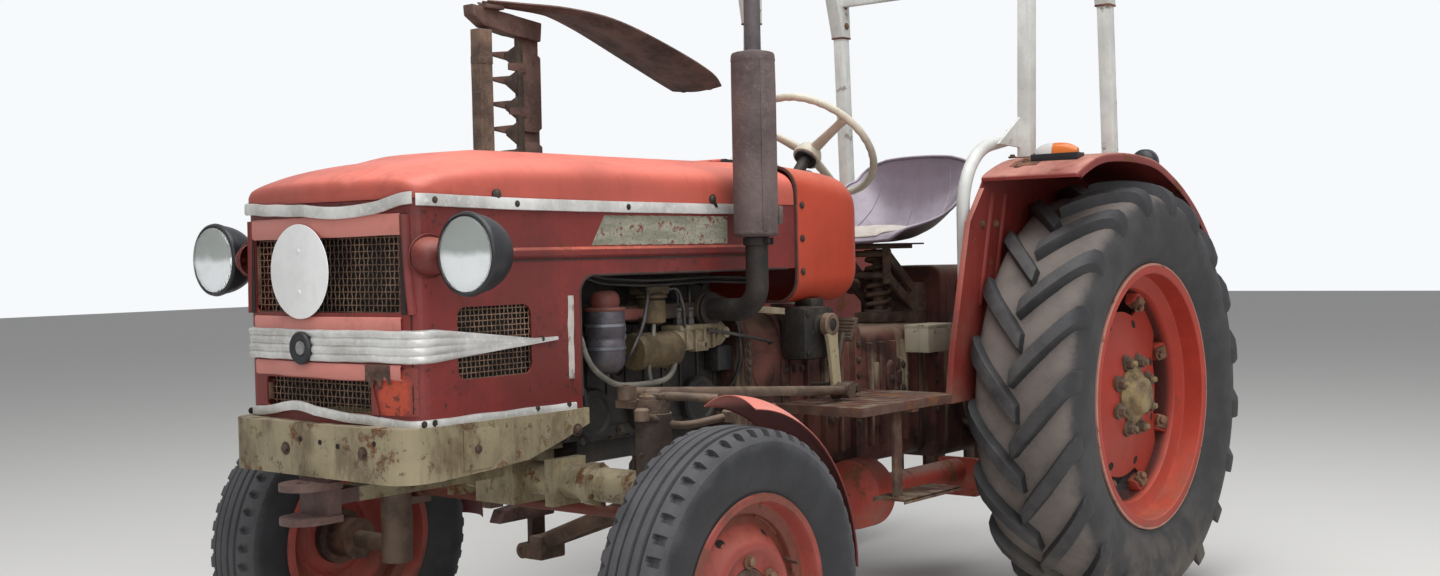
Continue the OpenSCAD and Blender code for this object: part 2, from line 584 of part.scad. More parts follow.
module engine() {
  // crankcase, sump, head and rocker cover as outlines along the engine
  color("dimgray") {
    along_y(92, 690) polygon(round_box(-155, 640, 155, 900, 24, 3));
    along_y(190, 660) polygon(round_box(-120, 575, 120, 660, 30, 3));
    along_y(100, 680) polygon(round_box(-130, 890, 130, 1030, 12, 3));
    along_y(130, 650) polygon(round_box(-85, 1020, 85, 1105, 34, 4));
    // timing cover and crank pulley
    along_y(62, 94) polygon(round_box(-135, 650, 135, 915, 40, 4));
    translate([0, 64, 720]) rotate([90, 0, 0]) cylinder(r = 80, h = 26, $fn = 64);
    // head bolts' row as three raised barrels
    for (i = [0:2]) translate([0, 200 + 190 * i, 700]) rotate([0, 90, 0]) cylinder(r = 62, h = 176, $fn = 48);
  }
}

module engine_fittings() {
  // air cleaner with a red cap, at the front of the left side
  color("darkslategray") translate([205, 205, 795]) cylinder(r = 46, h = 145, $fn = 48);
  color(red) translate([205, 205, 940]) cylinder(r = 52, h = 26, $fn = 48);
  color(red) translate([205, 205, 966]) cylinder(r1 = 40, r2 = 24, h = 18, $fn = 48);
  color(rust) block(155 + GAP, 200, 190, 220, 845, 875);
  // dynamo and its bracket
  color("darkgoldenrod") rod([212, 285, 838], [212, 430, 838], 44, 48);
  color(rust) block(155 + GAP, 190, 320, 400, 800, 830);
  // injection pump, its four pump heads and the lines to the head
  color("tan") {
    block(155 + GAP, 226, 452, 590, 825, 892);
    for (i = [0:2]) translate([190, 476 + 44 * i, 891]) cylinder(r = 13, h = 46, $fn = 24);
    rod([190, 590, 868], [190, 640, 868], 34, 48);
  }
  color("silver") for (i = [0:2]) {
    rod([190, 476 + 44 * i, 936], [178, 470 + 60 * i, 985], 4, 12);
    rod([178, 470 + 60 * i, 985], [130 + GAP, 470 + 60 * i, 990], 4, 12);
  }
  // exhaust manifold along the head
  color(rust) {
    for (i = [0:2]) block(130 + GAP, 190, 180 + 190 * i, 230 + 190 * i, 905, 950);
    block(150, 205, 180, 640, 906, 948);
  }
  // bowls of the fuel filter on the right side
  color("darkslategray") for (y = [300, 400]) {
    translate([-200, y, 800]) cylinder(r = 38, h = 130, $fn = 48);
    block(-170, -155 - GAP, y - 15, y + 15, 845, 872);
  }
  color("darkslategray") rod([-205 - GAP, 480, 720], [-205 - GAP, 690 - GAP, 720], 50, 48);
}

module radiator() color("black") {
  block(-225, 225, -90, -10, nose_low_z - 18, 1090);
  block(-235, 235, -96, -4, 1090, 1140);
  rod([0, 8, 900], [0, 44, 900], 34, 32);
  rod([0, 30, 900], [0, 62 - GAP, 900], 14, 24);
  for (i = [0:3]) translate([0, 26, 900]) rotate([0, 90 * i + 45, 0]) block(24, 190, -3, 3, -30, 30);
}

module transmission() color("maroon") {
  // along the casing: [y0, y1, half width, low z, top z, corner radius]
  table = [
    [690, 716, 225, 520, 968, 150], [716, 860, 205, 545, 920, 120], [860, 884, 215, 540, 930 - GAP, 110],
    [884, 1240, 165, 470, 850, 40], [1240, 1264, 185, 455, 868, 40], [1264, 1640, 160, 450, 840, 36],
    [1640, 1664, 195, 440, 838, 44]];
  for (s = table) along_y(s[0], s[1]) polygon(round_box(-s[2], s[3], s[2], s[4], s[5], 4));
  along_y(1664, rear_y + 170) polygon(round_box(-190, 430, 190, 790, 40, 4));
  // cast ribs on the sides of the gearbox
  both_sides() for (y = [940, 1100, 1180, 1330, 1450, 1570]) block(150, 178, y, y + 12, 500, 800);
  // turret of the gear levers
  translate([0, 1180, 849]) cylinder(r1 = 80, r2 = 52, h = 71, $fn = 48);
}

module rear_axle() color("maroon") {
  shaft_r = 40;
  difference() {
    union() {
      both_sides() {
        translate([190 + GAP, rear_y, rear_z]) rotate([0, 90, 0]) cylinder(r1 = 130, r2 = 78, h = 150, $fn = 64);
        translate([330, rear_y, rear_z]) rotate([0, 90, 0]) cylinder(r = 78, h = 140, $fn = 64);
        translate([462, rear_y, rear_z]) rotate([0, 90, 0]) cylinder(r = 118, h = 13.7, $fn = 64);
        translate([236, rear_y, rear_z]) rotate([0, 90, 0]) cylinder(r = 150, h = 40, $fn = 64);
      }
    }
    both_sides() translate([405, rear_y, rear_z]) rotate([0, 90, 0]) cylinder(r = shaft_r + RUN, h = 90, $fn = 48);
  }
  // brackets that carry the lower links' pins
  both_sides() difference() {
    union() {
      block(190 + GAP, 270, link_y - 30, link_y + 34, link_z - 34, link_z + 34);
      block(200, 262, rear_y - 40, link_y + 34, link_z - 34, rear_z - 80);
    }
  }
  both_sides() rod([269, link_y, link_z], [link_x + 34, link_y, link_z], 12, 32);
}
link_x = 310;

// The outer face of the rear fender's cover as (y, z), from its front lip over the tyre to its rear end
cover = [
  [rear_y - 452, 1245], [rear_y - 444, 1262], [rear_y - 370, 1292], [rear_y - 290, fender_top_z - 8],
  [rear_y - 190, fender_top_z], [rear_y - 60, fender_top_z - 2], [rear_y + 50, fender_top_z - 14],
  [rear_y + 150, 1276], [rear_y + 260, 1228], [rear_y + 360, 1165], [rear_y + 445, 1092], [rear_y + 510, 1020]];
// The same line moved by d inwards, along each point's bisector
function inward(line, d) = [for (i = [0:len(line) - 1]) let (
  a = line[max(i - 1, 0)], b = line[min(i + 1, len(line) - 1)], v = (b - a) / norm(b - a)) line[i] + d * [v[1], -v[0]]];
// The top of the cover at a distance y
function fender_top(y) = lookup(y, cover);

module rear_fender() {
  t = sheet_t;
  in_x = 476;
  n = len(cover) - 1;
  color(red) {
    along_x(in_x + 0.5, fender_out_x - 0.5) polygon(concat(cover, [for (i = [n:-1:0]) inward(cover, t)[i]]));
    // rolled outer edge
    along_x(fender_out_x - t, fender_out_x) polygon(concat(inward(cover, 1), [for (i = [n:-1:0]) inward(cover, 26)[i]]));
    // inner wall, down to the footplate, open round the axle
    difference() {
      along_x(in_x, in_x + t) polygon(concat(
        [[rear_y - 662, foot_z - 30], [rear_y - 642, foot_z + 100], [rear_y - 545, 1130], [rear_y - 466, 1224]], inward(cover, 1),
        [[rear_y + 500, 960], [rear_y + 420, 760], [rear_y + 300, rear_z - 40], [rear_y + 90, rear_z - 60],
         [rear_y - 150, rear_z - 60], [rear_y - 330, foot_z - 30]]));
      translate([in_x - 10, rear_y, rear_z]) rotate([0, 90, 0]) cylinder(r = 92, h = 30, $fn = 48);
    }
    // pressed ribs of the wall
    for (y = [1330, 1400]) along_x(in_x - 6, in_x + 1) polygon([[y, 760], [y + 14, 760], [y + 60, 1130], [y + 46, 1130]]);
  }
}

module fender_lamps() both_sides() {
  y = rear_y - 330;
  z = fender_top(y + 23) + 8;
  color("orange") block(640, 712, y - 18, y + 18, z, z + 40);
  color("white") block(584, 641, y - 18, y + 18, z, z + 40);
  color("black") along_x(578, 718) polygon([[y - 23, fender_top(y - 23) + GAP], [y, fender_top(y) + GAP], [y + 23, fender_top(y + 23) + GAP], [y + 23, z + 1], [y - 23, z + 1]]);
  tail_y = rear_y + 250;
  tail_z = fender_top(tail_y);
  color("darkred") translate([640, tail_y - 10, tail_z + 48]) rotate([-90, 0, 0]) cylinder(r = 32, h = 40, $fn = 48);
  color("black") along_x(632, 648) polygon([[tail_y - 8, fender_top(tail_y - 8) + GAP], [tail_y + 8, fender_top(tail_y + 8) + GAP], [tail_y + 8, tail_z + 30], [tail_y - 8, tail_z + 30]]);
}

module safety_frame() color("gainsboro") {
  w = post_w;
  foot = [rear_y - 228, rear_y + 328];  // y of the posts' feet
  head = [rear_y - 200, rear_y + 290];  // and of their tops
  joint_z = frame_top_z - 310;
  difference() {
    union() {
      both_sides() for (i = [0:1]) {
        z0 = fender_top(foot[i]) + GAP;
        along_x(post_x - w / 2, post_x + w / 2) polygon([
          [foot[i] - w / 2, fender_top(foot[i] - w / 2) + GAP], [foot[i] + w / 2, fender_top(foot[i] + w / 2) + GAP], [head[i] + w / 2, frame_top_z], [head[i] - w / 2, frame_top_z]]);
        // flared socket that joins the post to the roof rails
        y0 = foot[i] + (head[i] - foot[i]) * (joint_z - z0) / (frame_top_z - z0);
        along_x(post_x - w / 2 - 4, post_x + w / 2 + 4) polygon([
          [y0 - w / 2 - 4, joint_z], [y0 + w / 2 + 4, joint_z], [head[i] + w / 2 + 4, frame_top_z], [head[i] - w / 2 - 74, frame_top_z]]);
      }
      both_sides() block(post_x - w / 2, post_x + w / 2, head[0] - 90, head[1] + w / 2, frame_top_z - w, frame_top_z);
      for (y = [head[0], head[1]]) block(-post_x, post_x, y - w / 2, y + w / 2, frame_top_z - w, frame_top_z);
      block(-post_x, post_x, head[1] - 16, head[1] + 16, frame_top_z - 205, frame_top_z - 170);
    }
  }
}

// The bent grab rail from the footplate up to each front post, with its gusset
module grab_rails() color("gainsboro") both_sides() {
  r = 19;
  x = 450;
  y = 1385;
  bend = 190;
  z = 1165;
  rod([x, y, foot_z + 30], [x, y, z + 1], r, 32);
  translate([x, y + bend, z]) rotate([90, 0, 90]) rotate([0, 0, 100]) rotate_extrude(angle = 80, $fn = 64) translate([bend, 0]) circle(r = r - 1, $fn = 24);
  rod([x, y + bend - 33.5, z + bend - 3], [x, 1672, z + bend + 22], r, 32);
  // gusset to the post, foot on the wall
  block(x - 6, post_x - post_w / 2 + 4, 1642, 1672, 1360, 1400);
  along_x(post_x - post_w / 2 + 2, post_x - post_w / 2 + 12) polygon([[rear_y - 370, 1352], [rear_y - 235, 1440], [rear_y - 235, 1345]]);
  block(x - 8, 476 - GAP, y - 8, y + 8, foot_z + 60, foot_z + 76);
}

module footplates() both_sides() {
  color("maroon") {
    block(235, 500, 800, 1225, foot_z - 5, foot_z);
    block(496, 501, 799, 1226, foot_z - 38, foot_z + 1);
    block(234, 498, 796, 801, foot_z - 38, foot_z + 1);
    block(165 + GAP, 498, 1030, 1066, foot_z - 34, foot_z - 4);
    block(160 + GAP, 476 - GAP, 1272, 1300, foot_z - 34, foot_z - 4);
    block(420, 474, 1180, 1290, foot_z - 33, foot_z - 3);
  }
  // hanging step
  color("dimgray") {
    block(446, 458, 1005, 1044, 424, foot_z - 33);
    block(400, 500, 985, 1265, 412, 425);
  }
}

module pedals() {
  color(rust) {
    // clutch pedal on the left, two brake pedals on the right
    for (x = [300, -290, -355]) {
      rod([x, 960, foot_z + 40], [x, 1015, foot_z + 175], 9, 20);
      rod([x, 956, foot_z + 42], [x, 1040, foot_z + 24], 8, 20);
      translate([x, 1022, foot_z + 180]) rotate([62, 0, 0]) cube([62, 70, 10], center = true);
    }
    rod([165 + GAP, 1040, foot_z + 24], [330, 1040, foot_z + 24], 12, 24);
    rod([-385, 1040, foot_z + 24], [-165 - GAP, 1040, foot_z + 24], 12, 24);
  }
  // gear and range levers on the turret
  color("black") {
    rod([0, 1180, 923], [30, 1250, 1130], 8, 20);
    translate([30, 1250, 1138]) sphere(r = 18, $fn = 24);
    rod([-28, 1196, 924], [-90, 1270, 1060], 7, 20);
    translate([-90, 1270, 1066]) sphere(r = 15, $fn = 24);
  }
}

// across the pan from front to back: [y, base z, half width, side rise]
seat_table = [
  [1448, 1082, 170, 6], [1475, 1098, 205, 18], [1540, 1092, 228, 40], [1640, 1084, 236, 74], [1730, 1092, 234, 108],
  [1800, 1124, 226, 140], [1846, 1190, 214, 130], [1872, 1270, 196, 76], [1884, 1330, 160, 22], [1886, 1352, 110, 4]];
// The pan's height above its base at u, from -1 on one side to 1 on the other
function seat_side(s, u) = s[3] * pow(abs(u), 2.4);

module seat_pan() {
  t = 4;
  steps = 12;
  function across(s, d) = [for (i = [0:steps]) let (u = 2 * i / steps - 1)
    s[1] > 1110 ? [-u * s[2], s[0] + 0.9 * d - (s[1] > 1180 ? s[3] * u * u * 0.9 : 0), s[1] - 0.2 * d + (s[1] > 1180 ? 0 : seat_side(s, u))]
    : [-u * s[2], s[0], s[1] - d + seat_side(s, u)]];
  color("dimgray") sheet_loft([for (s = seat_table) across(s, 0)], [for (s = seat_table) across(s, t)]);
}

module seat_pad() color("ivory") {
  reach = 2 / 3;
  tops = [16, 42, 44, 34];
  mirror([1, 0, 0]) solid_loft([for (k = [1:4]) let (s = seat_table[k], c = s[1] + tops[k - 1]) concat(
    [for (u = [-4:4]) let (v = reach * u / 4) [v * s[2], s[0], s[1] + seat_side(s, v) + 0.6]],
    [for (u = [3, 2, 0, -2, -3]) [reach * u / 3.7 * s[2], s[0], c - 1.4 * u * u]])]);
}

module seat_mount() {
  color("black") {
    // carrier plate under the pan and the sprung arms below it
    block(-90, 90, 1560, 1700, 1064, 1079);
    both_sides() {
      link_bar(71, 83, [1570, 1052], [1725, 932], 26);
      link_bar(72, 82, [1570, 985], [1725, 876], 26);
      block(70, 84, 1556, 1584, 960, 1066);
    }
    block(-100, 100, 1702, 1760 - GAP, 790 + GAP, 960);
    rod([-78, 1570, 1050], [78, 1570, 1050], 10, 24);
    rod([-77, 1570, 985], [77, 1570, 985], 10, 24);
  }
  // the coil spring round its guide, drawn as one turned stack
  color("dimgray") {
    translate([0, 1640, 870]) rotate_extrude($fn = 32) polygon(concat(
      [[0, 0]], [for (i = [0:6]) each [[30, 28 * i], [42, 28 * i + 14]]], [[30, 194.5], [0, 194.5]]));
    block(-60, 60, 1590, 1710, 840 + GAP, 872);
  }
  // tool box beside the seat post, left side
  color(cream) block(178 + GAP, 262, rear_y - 390, rear_y - 254, 760, 842);
}

module lift_housing() color("maroon") {
  along_y(1760, rear_y + 150) polygon(round_box(-150, 790 + GAP, 150, 1010, 40, 4));
  rod([-link_x + 16, link_y, lift_z], [-150, link_y, lift_z], 30, 48);
  rod([150, link_y, lift_z], [link_x - 16, link_y, lift_z], 30, 48);
  both_sides() rod([link_x - 20, link_y, lift_z], [link_x + 4, link_y, lift_z], 24 - RUN, 48);
  // pto housing and shaft, and the bracket of the top link
  translate([0, rear_y + 170, 600]) rotate([-90, 0, 0]) cylinder(r = 78, h = 24, $fn = 64);
  translate([0, rear_y + 190, 600]) rotate([-90, 0, 0]) cylinder(r = pto_r, h = 96, $fn = 48);
  both_sides() block(26, 40, rear_y + 150, rear_y + 232, 800, 900);
  block(-40, 40, rear_y + 150, rear_y + 166, 800, 900);
}

module lift_arms() color(rust) both_sides() {
  difference() {
    union() {
      translate([link_x - 15, link_y, lift_z]) rotate([0, 90, 0]) cylinder(r = 46, h = 30, $fn = 48);
      link_bar(link_x - 11, link_x + 11, [link_y, lift_z], [link_y + lift_arm, lift_z], 46);
      translate([link_x - 11, link_y + lift_arm, lift_z]) rotate([0, 90, 0]) cylinder(r = 24, h = 22, $fn = 48);
    }
    translate([link_x - 20, link_y, lift_z]) rotate([0, 90, 0]) cylinder(r = 24, h = 25, $fn = 48);
    translate([link_x - 20, link_y + lift_arm, lift_z]) rotate([0, 90, 0]) cylinder(r = 11, h = 60, $fn = 32);
  }
}

module lower_links() color(rust) both_sides() {
  difference() {
    union() {
      link_bar(link_x - 10, link_x + 10, [link_y, link_z], [link_y + lower_link, link_z], 56);
      for (y = [link_y, link_y + lower_link]) translate([link_x - 16, y, link_z]) rotate([0, 90, 0]) cylinder(r = 32, h = 32, $fn = 48);
    }
    translate([link_x - 30, link_y, link_z]) rotate([0, 90, 0]) cylinder(r = 12 + RUN, h = 60, $fn = 32);
    translate([link_x - 30, link_y + lower_link, link_z]) rotate([0, 90, 0]) cylinder(r = link_eye_r, h = 60, $fn = 48);
    translate([link_x - 30, link_y + lift_arm, link_z]) rotate([0, 90, 0]) cylinder(r = 10 + RUN, h = 60, $fn = 32);
  }
}

module lift_rods() color(rust) both_sides() {
  x0 = link_x + 11 + GAP;
  y = link_y + lift_arm;
  block(x0, x0 + 16, y - 14, y + 14, link_z, lift_z);
  for (z = [link_z, lift_z]) {
    translate([x0, y, z]) rotate([0, 90, 0]) cylinder(r = 24, h = 16, $fn = 48);
    translate([link_x - 11, y, z]) rotate([0, 90, 0]) cylinder(r = 10, h = 24, $fn = 32);
  }
  // the adjusting sleeve
  translate([x0 + 8, y, link_z + 150]) cylinder(r = 17, h = 200, $fn = 32);
}

module drawbar() color(rust) difference() {
  union() {
    both_sides() block(70, 84, rear_y + 120, rear_y + 200, 330, 430 - GAP);
    block(-84, 84, rear_y - 60, rear_y + 200, 316, 330);
    along_z(316, 336) polygon(concat([[-45, rear_y + 190]], [for (p = arc(0, rear_y + 285, 45, 180, 0, 12)) p], [[45, rear_y + 190]]));
    both_sides() block(70, 84, rear_y - 60, rear_y - 10, 330, 430 - GAP);
  }
  translate([0, rear_y + 285, 300]) cylinder(r = 14, h = 60, $fn = 48);
}

/* Mower */

bar_y = [672, 930]; // the cutter bar's fore and aft edges

module mower_carrier() {
  color(rust) {
    // drag arm and brace from the gearbox down to the hinge
    rod([-130, 880, 440], [-bar_hinge_x + 60, 860, bar_hinge_z + 30], 24, 32);
    rod([-130, 1180, 440], [-bar_hinge_x + 62, 900, bar_hinge_z + 26], 20, 32);
    block(-bar_hinge_x + 30, -bar_hinge_x + 84, 826, 930, bar_hinge_z - 24, bar_hinge_z + 50);
    for (y = [826, 912]) difference() {
      union() {
        block(-bar_hinge_x, -bar_hinge_x + 50, y, y + 18, bar_hinge_z - 24, bar_hinge_z + 24);
        translate([-bar_hinge_x, y, bar_hinge_z]) rotate([-90, 0, 0]) cylinder(r = 24, h = 18, $fn = 48);
      }
      translate([-bar_hinge_x, y - 5, bar_hinge_z]) rotate([-90, 0, 0]) cylinder(r = 12 + RUN, h = 30, $fn = 32);
    }
    // saddle under the gearbox
    block(-150, 150, 850, 910, 424, 470 - GAP);
    block(-150, 150, 1150, 1210, 424, 470 - GAP);
    block(140, 250, 1150, 1210, 400, 440);
    block(-30, 30, 910, 1150, 424, 446);
  }
  // belt drive beside the gearbox: domed cover, tube and flange
  color(red) {
    translate([272, 1150, 408]) rotate([90, 0, 0]) cylinder(r = 95, h = 76, $fn = 64);
    translate([272, 1074, 408]) rotate([90, 0, 0]) cylinder(r1 = 95, r2 = 50, h = 24, $fn = 64);
    rod([272, 1140, 408], [272, 1640, 408], 36, 32);
    along_y(1620, 1640) polygon(round_box(212, 348, 332, 446, 10, 3));
  }
  color("dimgray") translate([-110, 1010, 380]) rotate([90, 0, 0]) cylinder(r = 70, h = 34, $fn = 64);
  color("dimgray") rod([-110, 990, 380], [-110, 1180, 380], 20, 32);
  color("dimgray") block(-135, -85, 1150, 1200, 360, 425);
}

module cutter_bar() {
  x = -bar_hinge_x + 6;
  top = bar_hinge_z + bar_length;
  color(rust) {
    // hinge eye and inner shoe
    translate([-bar_hinge_x, 844 + GAP, bar_hinge_z]) rotate([-90, 0, 0]) cylinder(r = 24, h = 68 - 2 * GAP, $fn = 48);
    block(x - 6, x + 18, 850, 906, bar_hinge_z + 10, bar_hinge_z + 130);
    rod([-bar_hinge_x, 827, bar_hinge_z], [-bar_hinge_x, 929, bar_hinge_z], 12, 32);
    // back bar with its hold-down plates
    block(x, x + 14, 838, 925, bar_hinge_z + 110, top);
    for (i = [0:4]) block(x + 14, x + 24, 850, bar_y[1], bar_hinge_z + 180 + 265 * i, bar_hinge_z + 420 + 265 * i);
    // fingers
    for (i = [0:18]) along_x(x + 2, x + 22) polygon([
      [850, bar_hinge_z + 150 + 72 * i], [850, bar_hinge_z + 186 + 72 * i], [790, bar_hinge_z + 180 + 72 * i],
      [718, bar_hinge_z + 170 + 72 * i], [718, bar_hinge_z + 164 + 72 * i], [790, bar_hinge_z + 154 + 72 * i]]);
    // inner and outer shoes
    along_x(x - 10, x + 40) polygon([[700, bar_hinge_z + 100], [925, bar_hinge_z + 100], [925, bar_hinge_z + 150], [720, bar_hinge_z + 140]]);
    along_x(x - 10, x + 34) polygon([[bar_y[0] - 20, top - 4], [700, top - 34], [920, top - 60], [925, top], [700, top + 22], [bar_y[0] - 24, top + 30]]);
  }
  // knife
  color("gray") block(x + 22, x + 26, 776, 850, bar_hinge_z + 150, top - 60);
  // the board that guards the finger tips in transport
  color("tan") block(x - 6, x + 34, bar_y[0], 724, bar_hinge_z + 150, top - 40);
}

module swath_board() {
  x = -bar_hinge_x;
  top = bar_hinge_z + bar_length;
  t = 10;
  // along the board: [y, top z, half width, x of its middle]
  table = [
    [700, top + 32.4, 22, x + 28], [800, top + 33, 34, x + 44], [930, top + 26, 62, x + 78], [1060, top, 96, x + 108],
    [1250, top - 60, 118, x + 124], [1450, top - 130, 124, x + 130], [1540, top - 166, 104, x + 122]];
  steps = 6;
  function across(s, d) = [for (i = [0:steps]) let (u = 1 - 2 * i / steps)
    [s[3] + u * s[2], s[0], s[1] - d + 10 * u * u]];
  color(rust) sheet_loft([for (s = table) across(s, 0)], [for (s = table) across(s, t)]);
}

place() engine();
place() {
  engine_fittings();
  radiator();
}
place() transmission();
place() {
  rear_axle();
  lift_housing();
}
place() front_beam();
place() front_axle();
place() {  // bonnet_sides
  nose_shell();
  upper_panels();
}
place() grille_mesh();
place() bright_trim();
place() number_disc();
place() {  // lamp_bodies
  headlamp_shells();
  fender_lamps();
}
place() headlamp_glass();
place() bonnet_lid();
place() dash_cowl();
place() exhaust();
place() steering_column();
place() steering_wheel();
place() pitman_arm();
place() drag_link();
place() tie_rod();
place() knuckle(true);  // knuckle_left
place() mirror([1, 0, 0]) knuckle(false);  // knuckle_right
place() front_fender();  // front_fender_left
place() mirror([1, 0, 0]) front_fender();  // front_fender_right
place() front_rim();  // front_rim_left
place() mirror([1, 0, 0]) front_rim();  // front_rim_right
place() front_tyre();  // front_tyre_left
place() mirror([1, 0, 0]) front_tyre();  // front_tyre_right
place() rear_rim();  // rear_rim_left
place() mirror([1, 0, 0]) rear_rim();  // rear_rim_right
place() rear_tyre();  // rear_tyre_left
place() mirror([1, 0, 0]) rear_tyre();  // rear_tyre_right
place() both_sides() rear_fender();  // rear_fenders
place() {
  safety_frame();
  grab_rails();
}
place() {
  footplates();
  pedals();
}
place() seat_pan();
place() seat_pad();
place() seat_mount();
place() lift_arms();
place() lift_rods();
place() lower_links();
place() drawbar();
place() mower_carrier();
place() cutter_bar();
place() swath_board();
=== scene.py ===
"""A compact farm tractor of the 1960s with a raised side mower, dressed for a picture.

Everything is in metres. Points written with at(x, y, z) count y from the front of the engine, which is 0.11
ahead of the front axle: +x is the tractor's left side, -y is forwards, and z = 0 is the ground.
"""
import math

import bmesh
import bpy
from mathutils import Matrix, Vector, noise


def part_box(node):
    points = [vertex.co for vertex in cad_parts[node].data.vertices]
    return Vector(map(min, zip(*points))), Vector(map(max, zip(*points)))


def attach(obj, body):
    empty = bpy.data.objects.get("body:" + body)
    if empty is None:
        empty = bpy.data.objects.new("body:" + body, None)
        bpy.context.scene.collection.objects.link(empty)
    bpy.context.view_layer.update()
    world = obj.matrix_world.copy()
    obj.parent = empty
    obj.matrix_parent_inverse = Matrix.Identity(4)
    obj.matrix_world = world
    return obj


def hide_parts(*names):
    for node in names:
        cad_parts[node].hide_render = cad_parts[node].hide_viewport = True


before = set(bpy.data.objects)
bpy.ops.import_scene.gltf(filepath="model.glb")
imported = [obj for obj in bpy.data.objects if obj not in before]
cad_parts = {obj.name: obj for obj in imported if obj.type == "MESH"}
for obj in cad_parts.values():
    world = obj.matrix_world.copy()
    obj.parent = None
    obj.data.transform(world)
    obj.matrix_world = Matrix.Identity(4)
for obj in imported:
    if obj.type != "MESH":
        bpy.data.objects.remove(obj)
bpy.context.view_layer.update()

# The camera at the photograph's angle, on the left of the nose and a little above the bonnet's belt.
# Points are given from the front of the engine, a little ahead of the middle of the front tyres.
axle_y = 0.110
engine_front = sum(corner.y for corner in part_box("front_tyre_left")) / 2 - axle_y


def at(x, y, z):
    return Vector((x, engine_front + y, z))


eye = at(2.626, -2.353, 1.062)
eye_turn = 0.6834
eye_drop = -0.0225
eye_roll = -0.021
forward = Vector((-math.sin(eye_turn), math.cos(eye_turn), math.tan(eye_drop))).normalized()
level = Vector((math.cos(eye_turn), math.sin(eye_turn), 0))
upright = level.cross(forward)
right = level * math.cos(eye_roll) + upright * math.sin(eye_roll)
over = upright * math.cos(eye_roll) - level * math.sin(eye_roll)


def placed_object(name, data):
    """An object in the scene that shows the data."""
    thing = bpy.data.objects.new(name, data)
    bpy.context.scene.collection.objects.link(thing)
    return thing


lens = bpy.data.cameras.new("eye")
lens.lens = 38.8
lens.sensor_width = 36
camera = placed_object("eye", lens)
camera.matrix_world = Matrix.Translation(eye) @ Matrix((right, over, -forward)).transposed().to_4x4()
bpy.context.scene.camera = camera


# Colours of one finish are worked out with plain sums on the sockets of its nodes.
# A wire is one output socket, and a tree makes every node with its one method.
class Wire:
    """An output socket: sums, products and powers written on it become Math nodes."""

    def __init__(self, tree, socket):
        self.tree = tree
        self.socket = socket

    def math(self, operation, *others):
        """A Math node on this value and the others after it."""
        return self.tree.node("ShaderNodeMath", {"operation": operation}, self, *others)

    def __add__(self, other):
        return self.math("ADD", other)

    def __sub__(self, other):
        return self.math("SUBTRACT", other)

    def __rsub__(self, other):
        return self.tree.node("ShaderNodeMath", {"operation": "SUBTRACT"}, other, self)

    def __mul__(self, other):
        return self.math("MULTIPLY", other)

    def __truediv__(self, other):
        return self.math("DIVIDE", other)

    def __pow__(self, other):
        return self.math("POWER", other)

    def __abs__(self):
        return self.math("ABSOLUTE")

    __radd__ = __add__
    __rmul__ = __mul__


class Tree:
    """A node tree, for a material or for shapes."""

    def __init__(self, nodes):
        self.nodes = nodes

    def plug(self, socket, value):
        if isinstance(value, Wire):
            self.nodes.links.new(value.socket, socket)
        elif socket.type == "RGBA" and len(value) == 3:
            socket.default_value = (*value, 1)
        else:
            socket.default_value = value

    def node(self, kind, settings=None, *values, output=0, **named):
        new = self.nodes.nodes.new(kind)
        for key, value in (settings or {}).items():
            setattr(new, key, value)
        for socket, value in zip([s for s in new.inputs if s.enabled], values):
            self.plug(socket, value)
        for key, value in named.items():
            self.plug(new.inputs[key.replace("_", " ")], value)
        return Wire(self, [s for s in new.outputs if s.enabled][output])


class Finish(Tree):
    """A material with one Principled shader."""

    def __init__(self, name):
        self.material = bpy.data.materials.new(name)
        self.material.use_nodes = True
        super().__init__(self.material.node_tree)
        self.shader = self.nodes.nodes["Principled BSDF"]
        self.place = self.node("ShaderNodeTexCoord", output=3)
        self.facing = self.node("ShaderNodeTexCoord", output=1)
        self.x, self.y, self.z = [self.node("ShaderNodeSeparateXYZ", {}, self.place, output=i)
                                  for i in range(3)]
        self.up = self.node("ShaderNodeSeparateXYZ", {}, self.facing, output=2)

    def noise(self, scale, detail=3, rough=0.55, stretch=(1, 1, 1), shift=(0, 0, 0)):
        where = self.node("ShaderNodeMapping", {}, Vector=self.place, Scale=stretch, Location=shift)
        return self.node("ShaderNodeTexNoise", {}, Vector=where, Scale=scale, Detail=detail, Roughness=rough)

    def mask(self, value, low, high):
        """0 below low, 1 above high and a smooth step between, or the other way round."""
        settings = {"interpolation_type": "SMOOTHSTEP"}
        if low < high:
            return self.node("ShaderNodeMapRange", settings, value, low, high, 0.0, 1.0)
        return self.node("ShaderNodeMapRange", settings, value, high, low, 1.0, 0.0)

    def mix(self, factor, a, b):
        return self.node("ShaderNodeMix", {"data_type": "RGBA"}, factor, a, b)

    def bump(self, height, distance, strength=1.0):
        return self.node("ShaderNodeBump", {}, Strength=strength, Distance=distance, Height=height)

    def colour(self):
        """The colour that the shader has so far, to be painted over."""
        return Wire(self, self.shader.inputs["Base Color"].links[0].from_socket)

    def set(self, **sockets):
        for key, value in sockets.items():
            self.plug(self.shader.inputs[key.replace("_", " ")], value)
        return self


# Enamel on sheet metal and castings: sun-bleached with a painted top light where it faces up, chipped, rusty
# and dusty.
# All amounts run from 0 to about 1, and size scales the patches.
rust_dark = (0.075, 0.028, 0.014)
rust_light = (0.24, 0.095, 0.035)
dirt_brown = (0.20, 0.155, 0.105)


def shade(colour, factor):
    return tuple(min(1.0, c * factor) for c in colour)


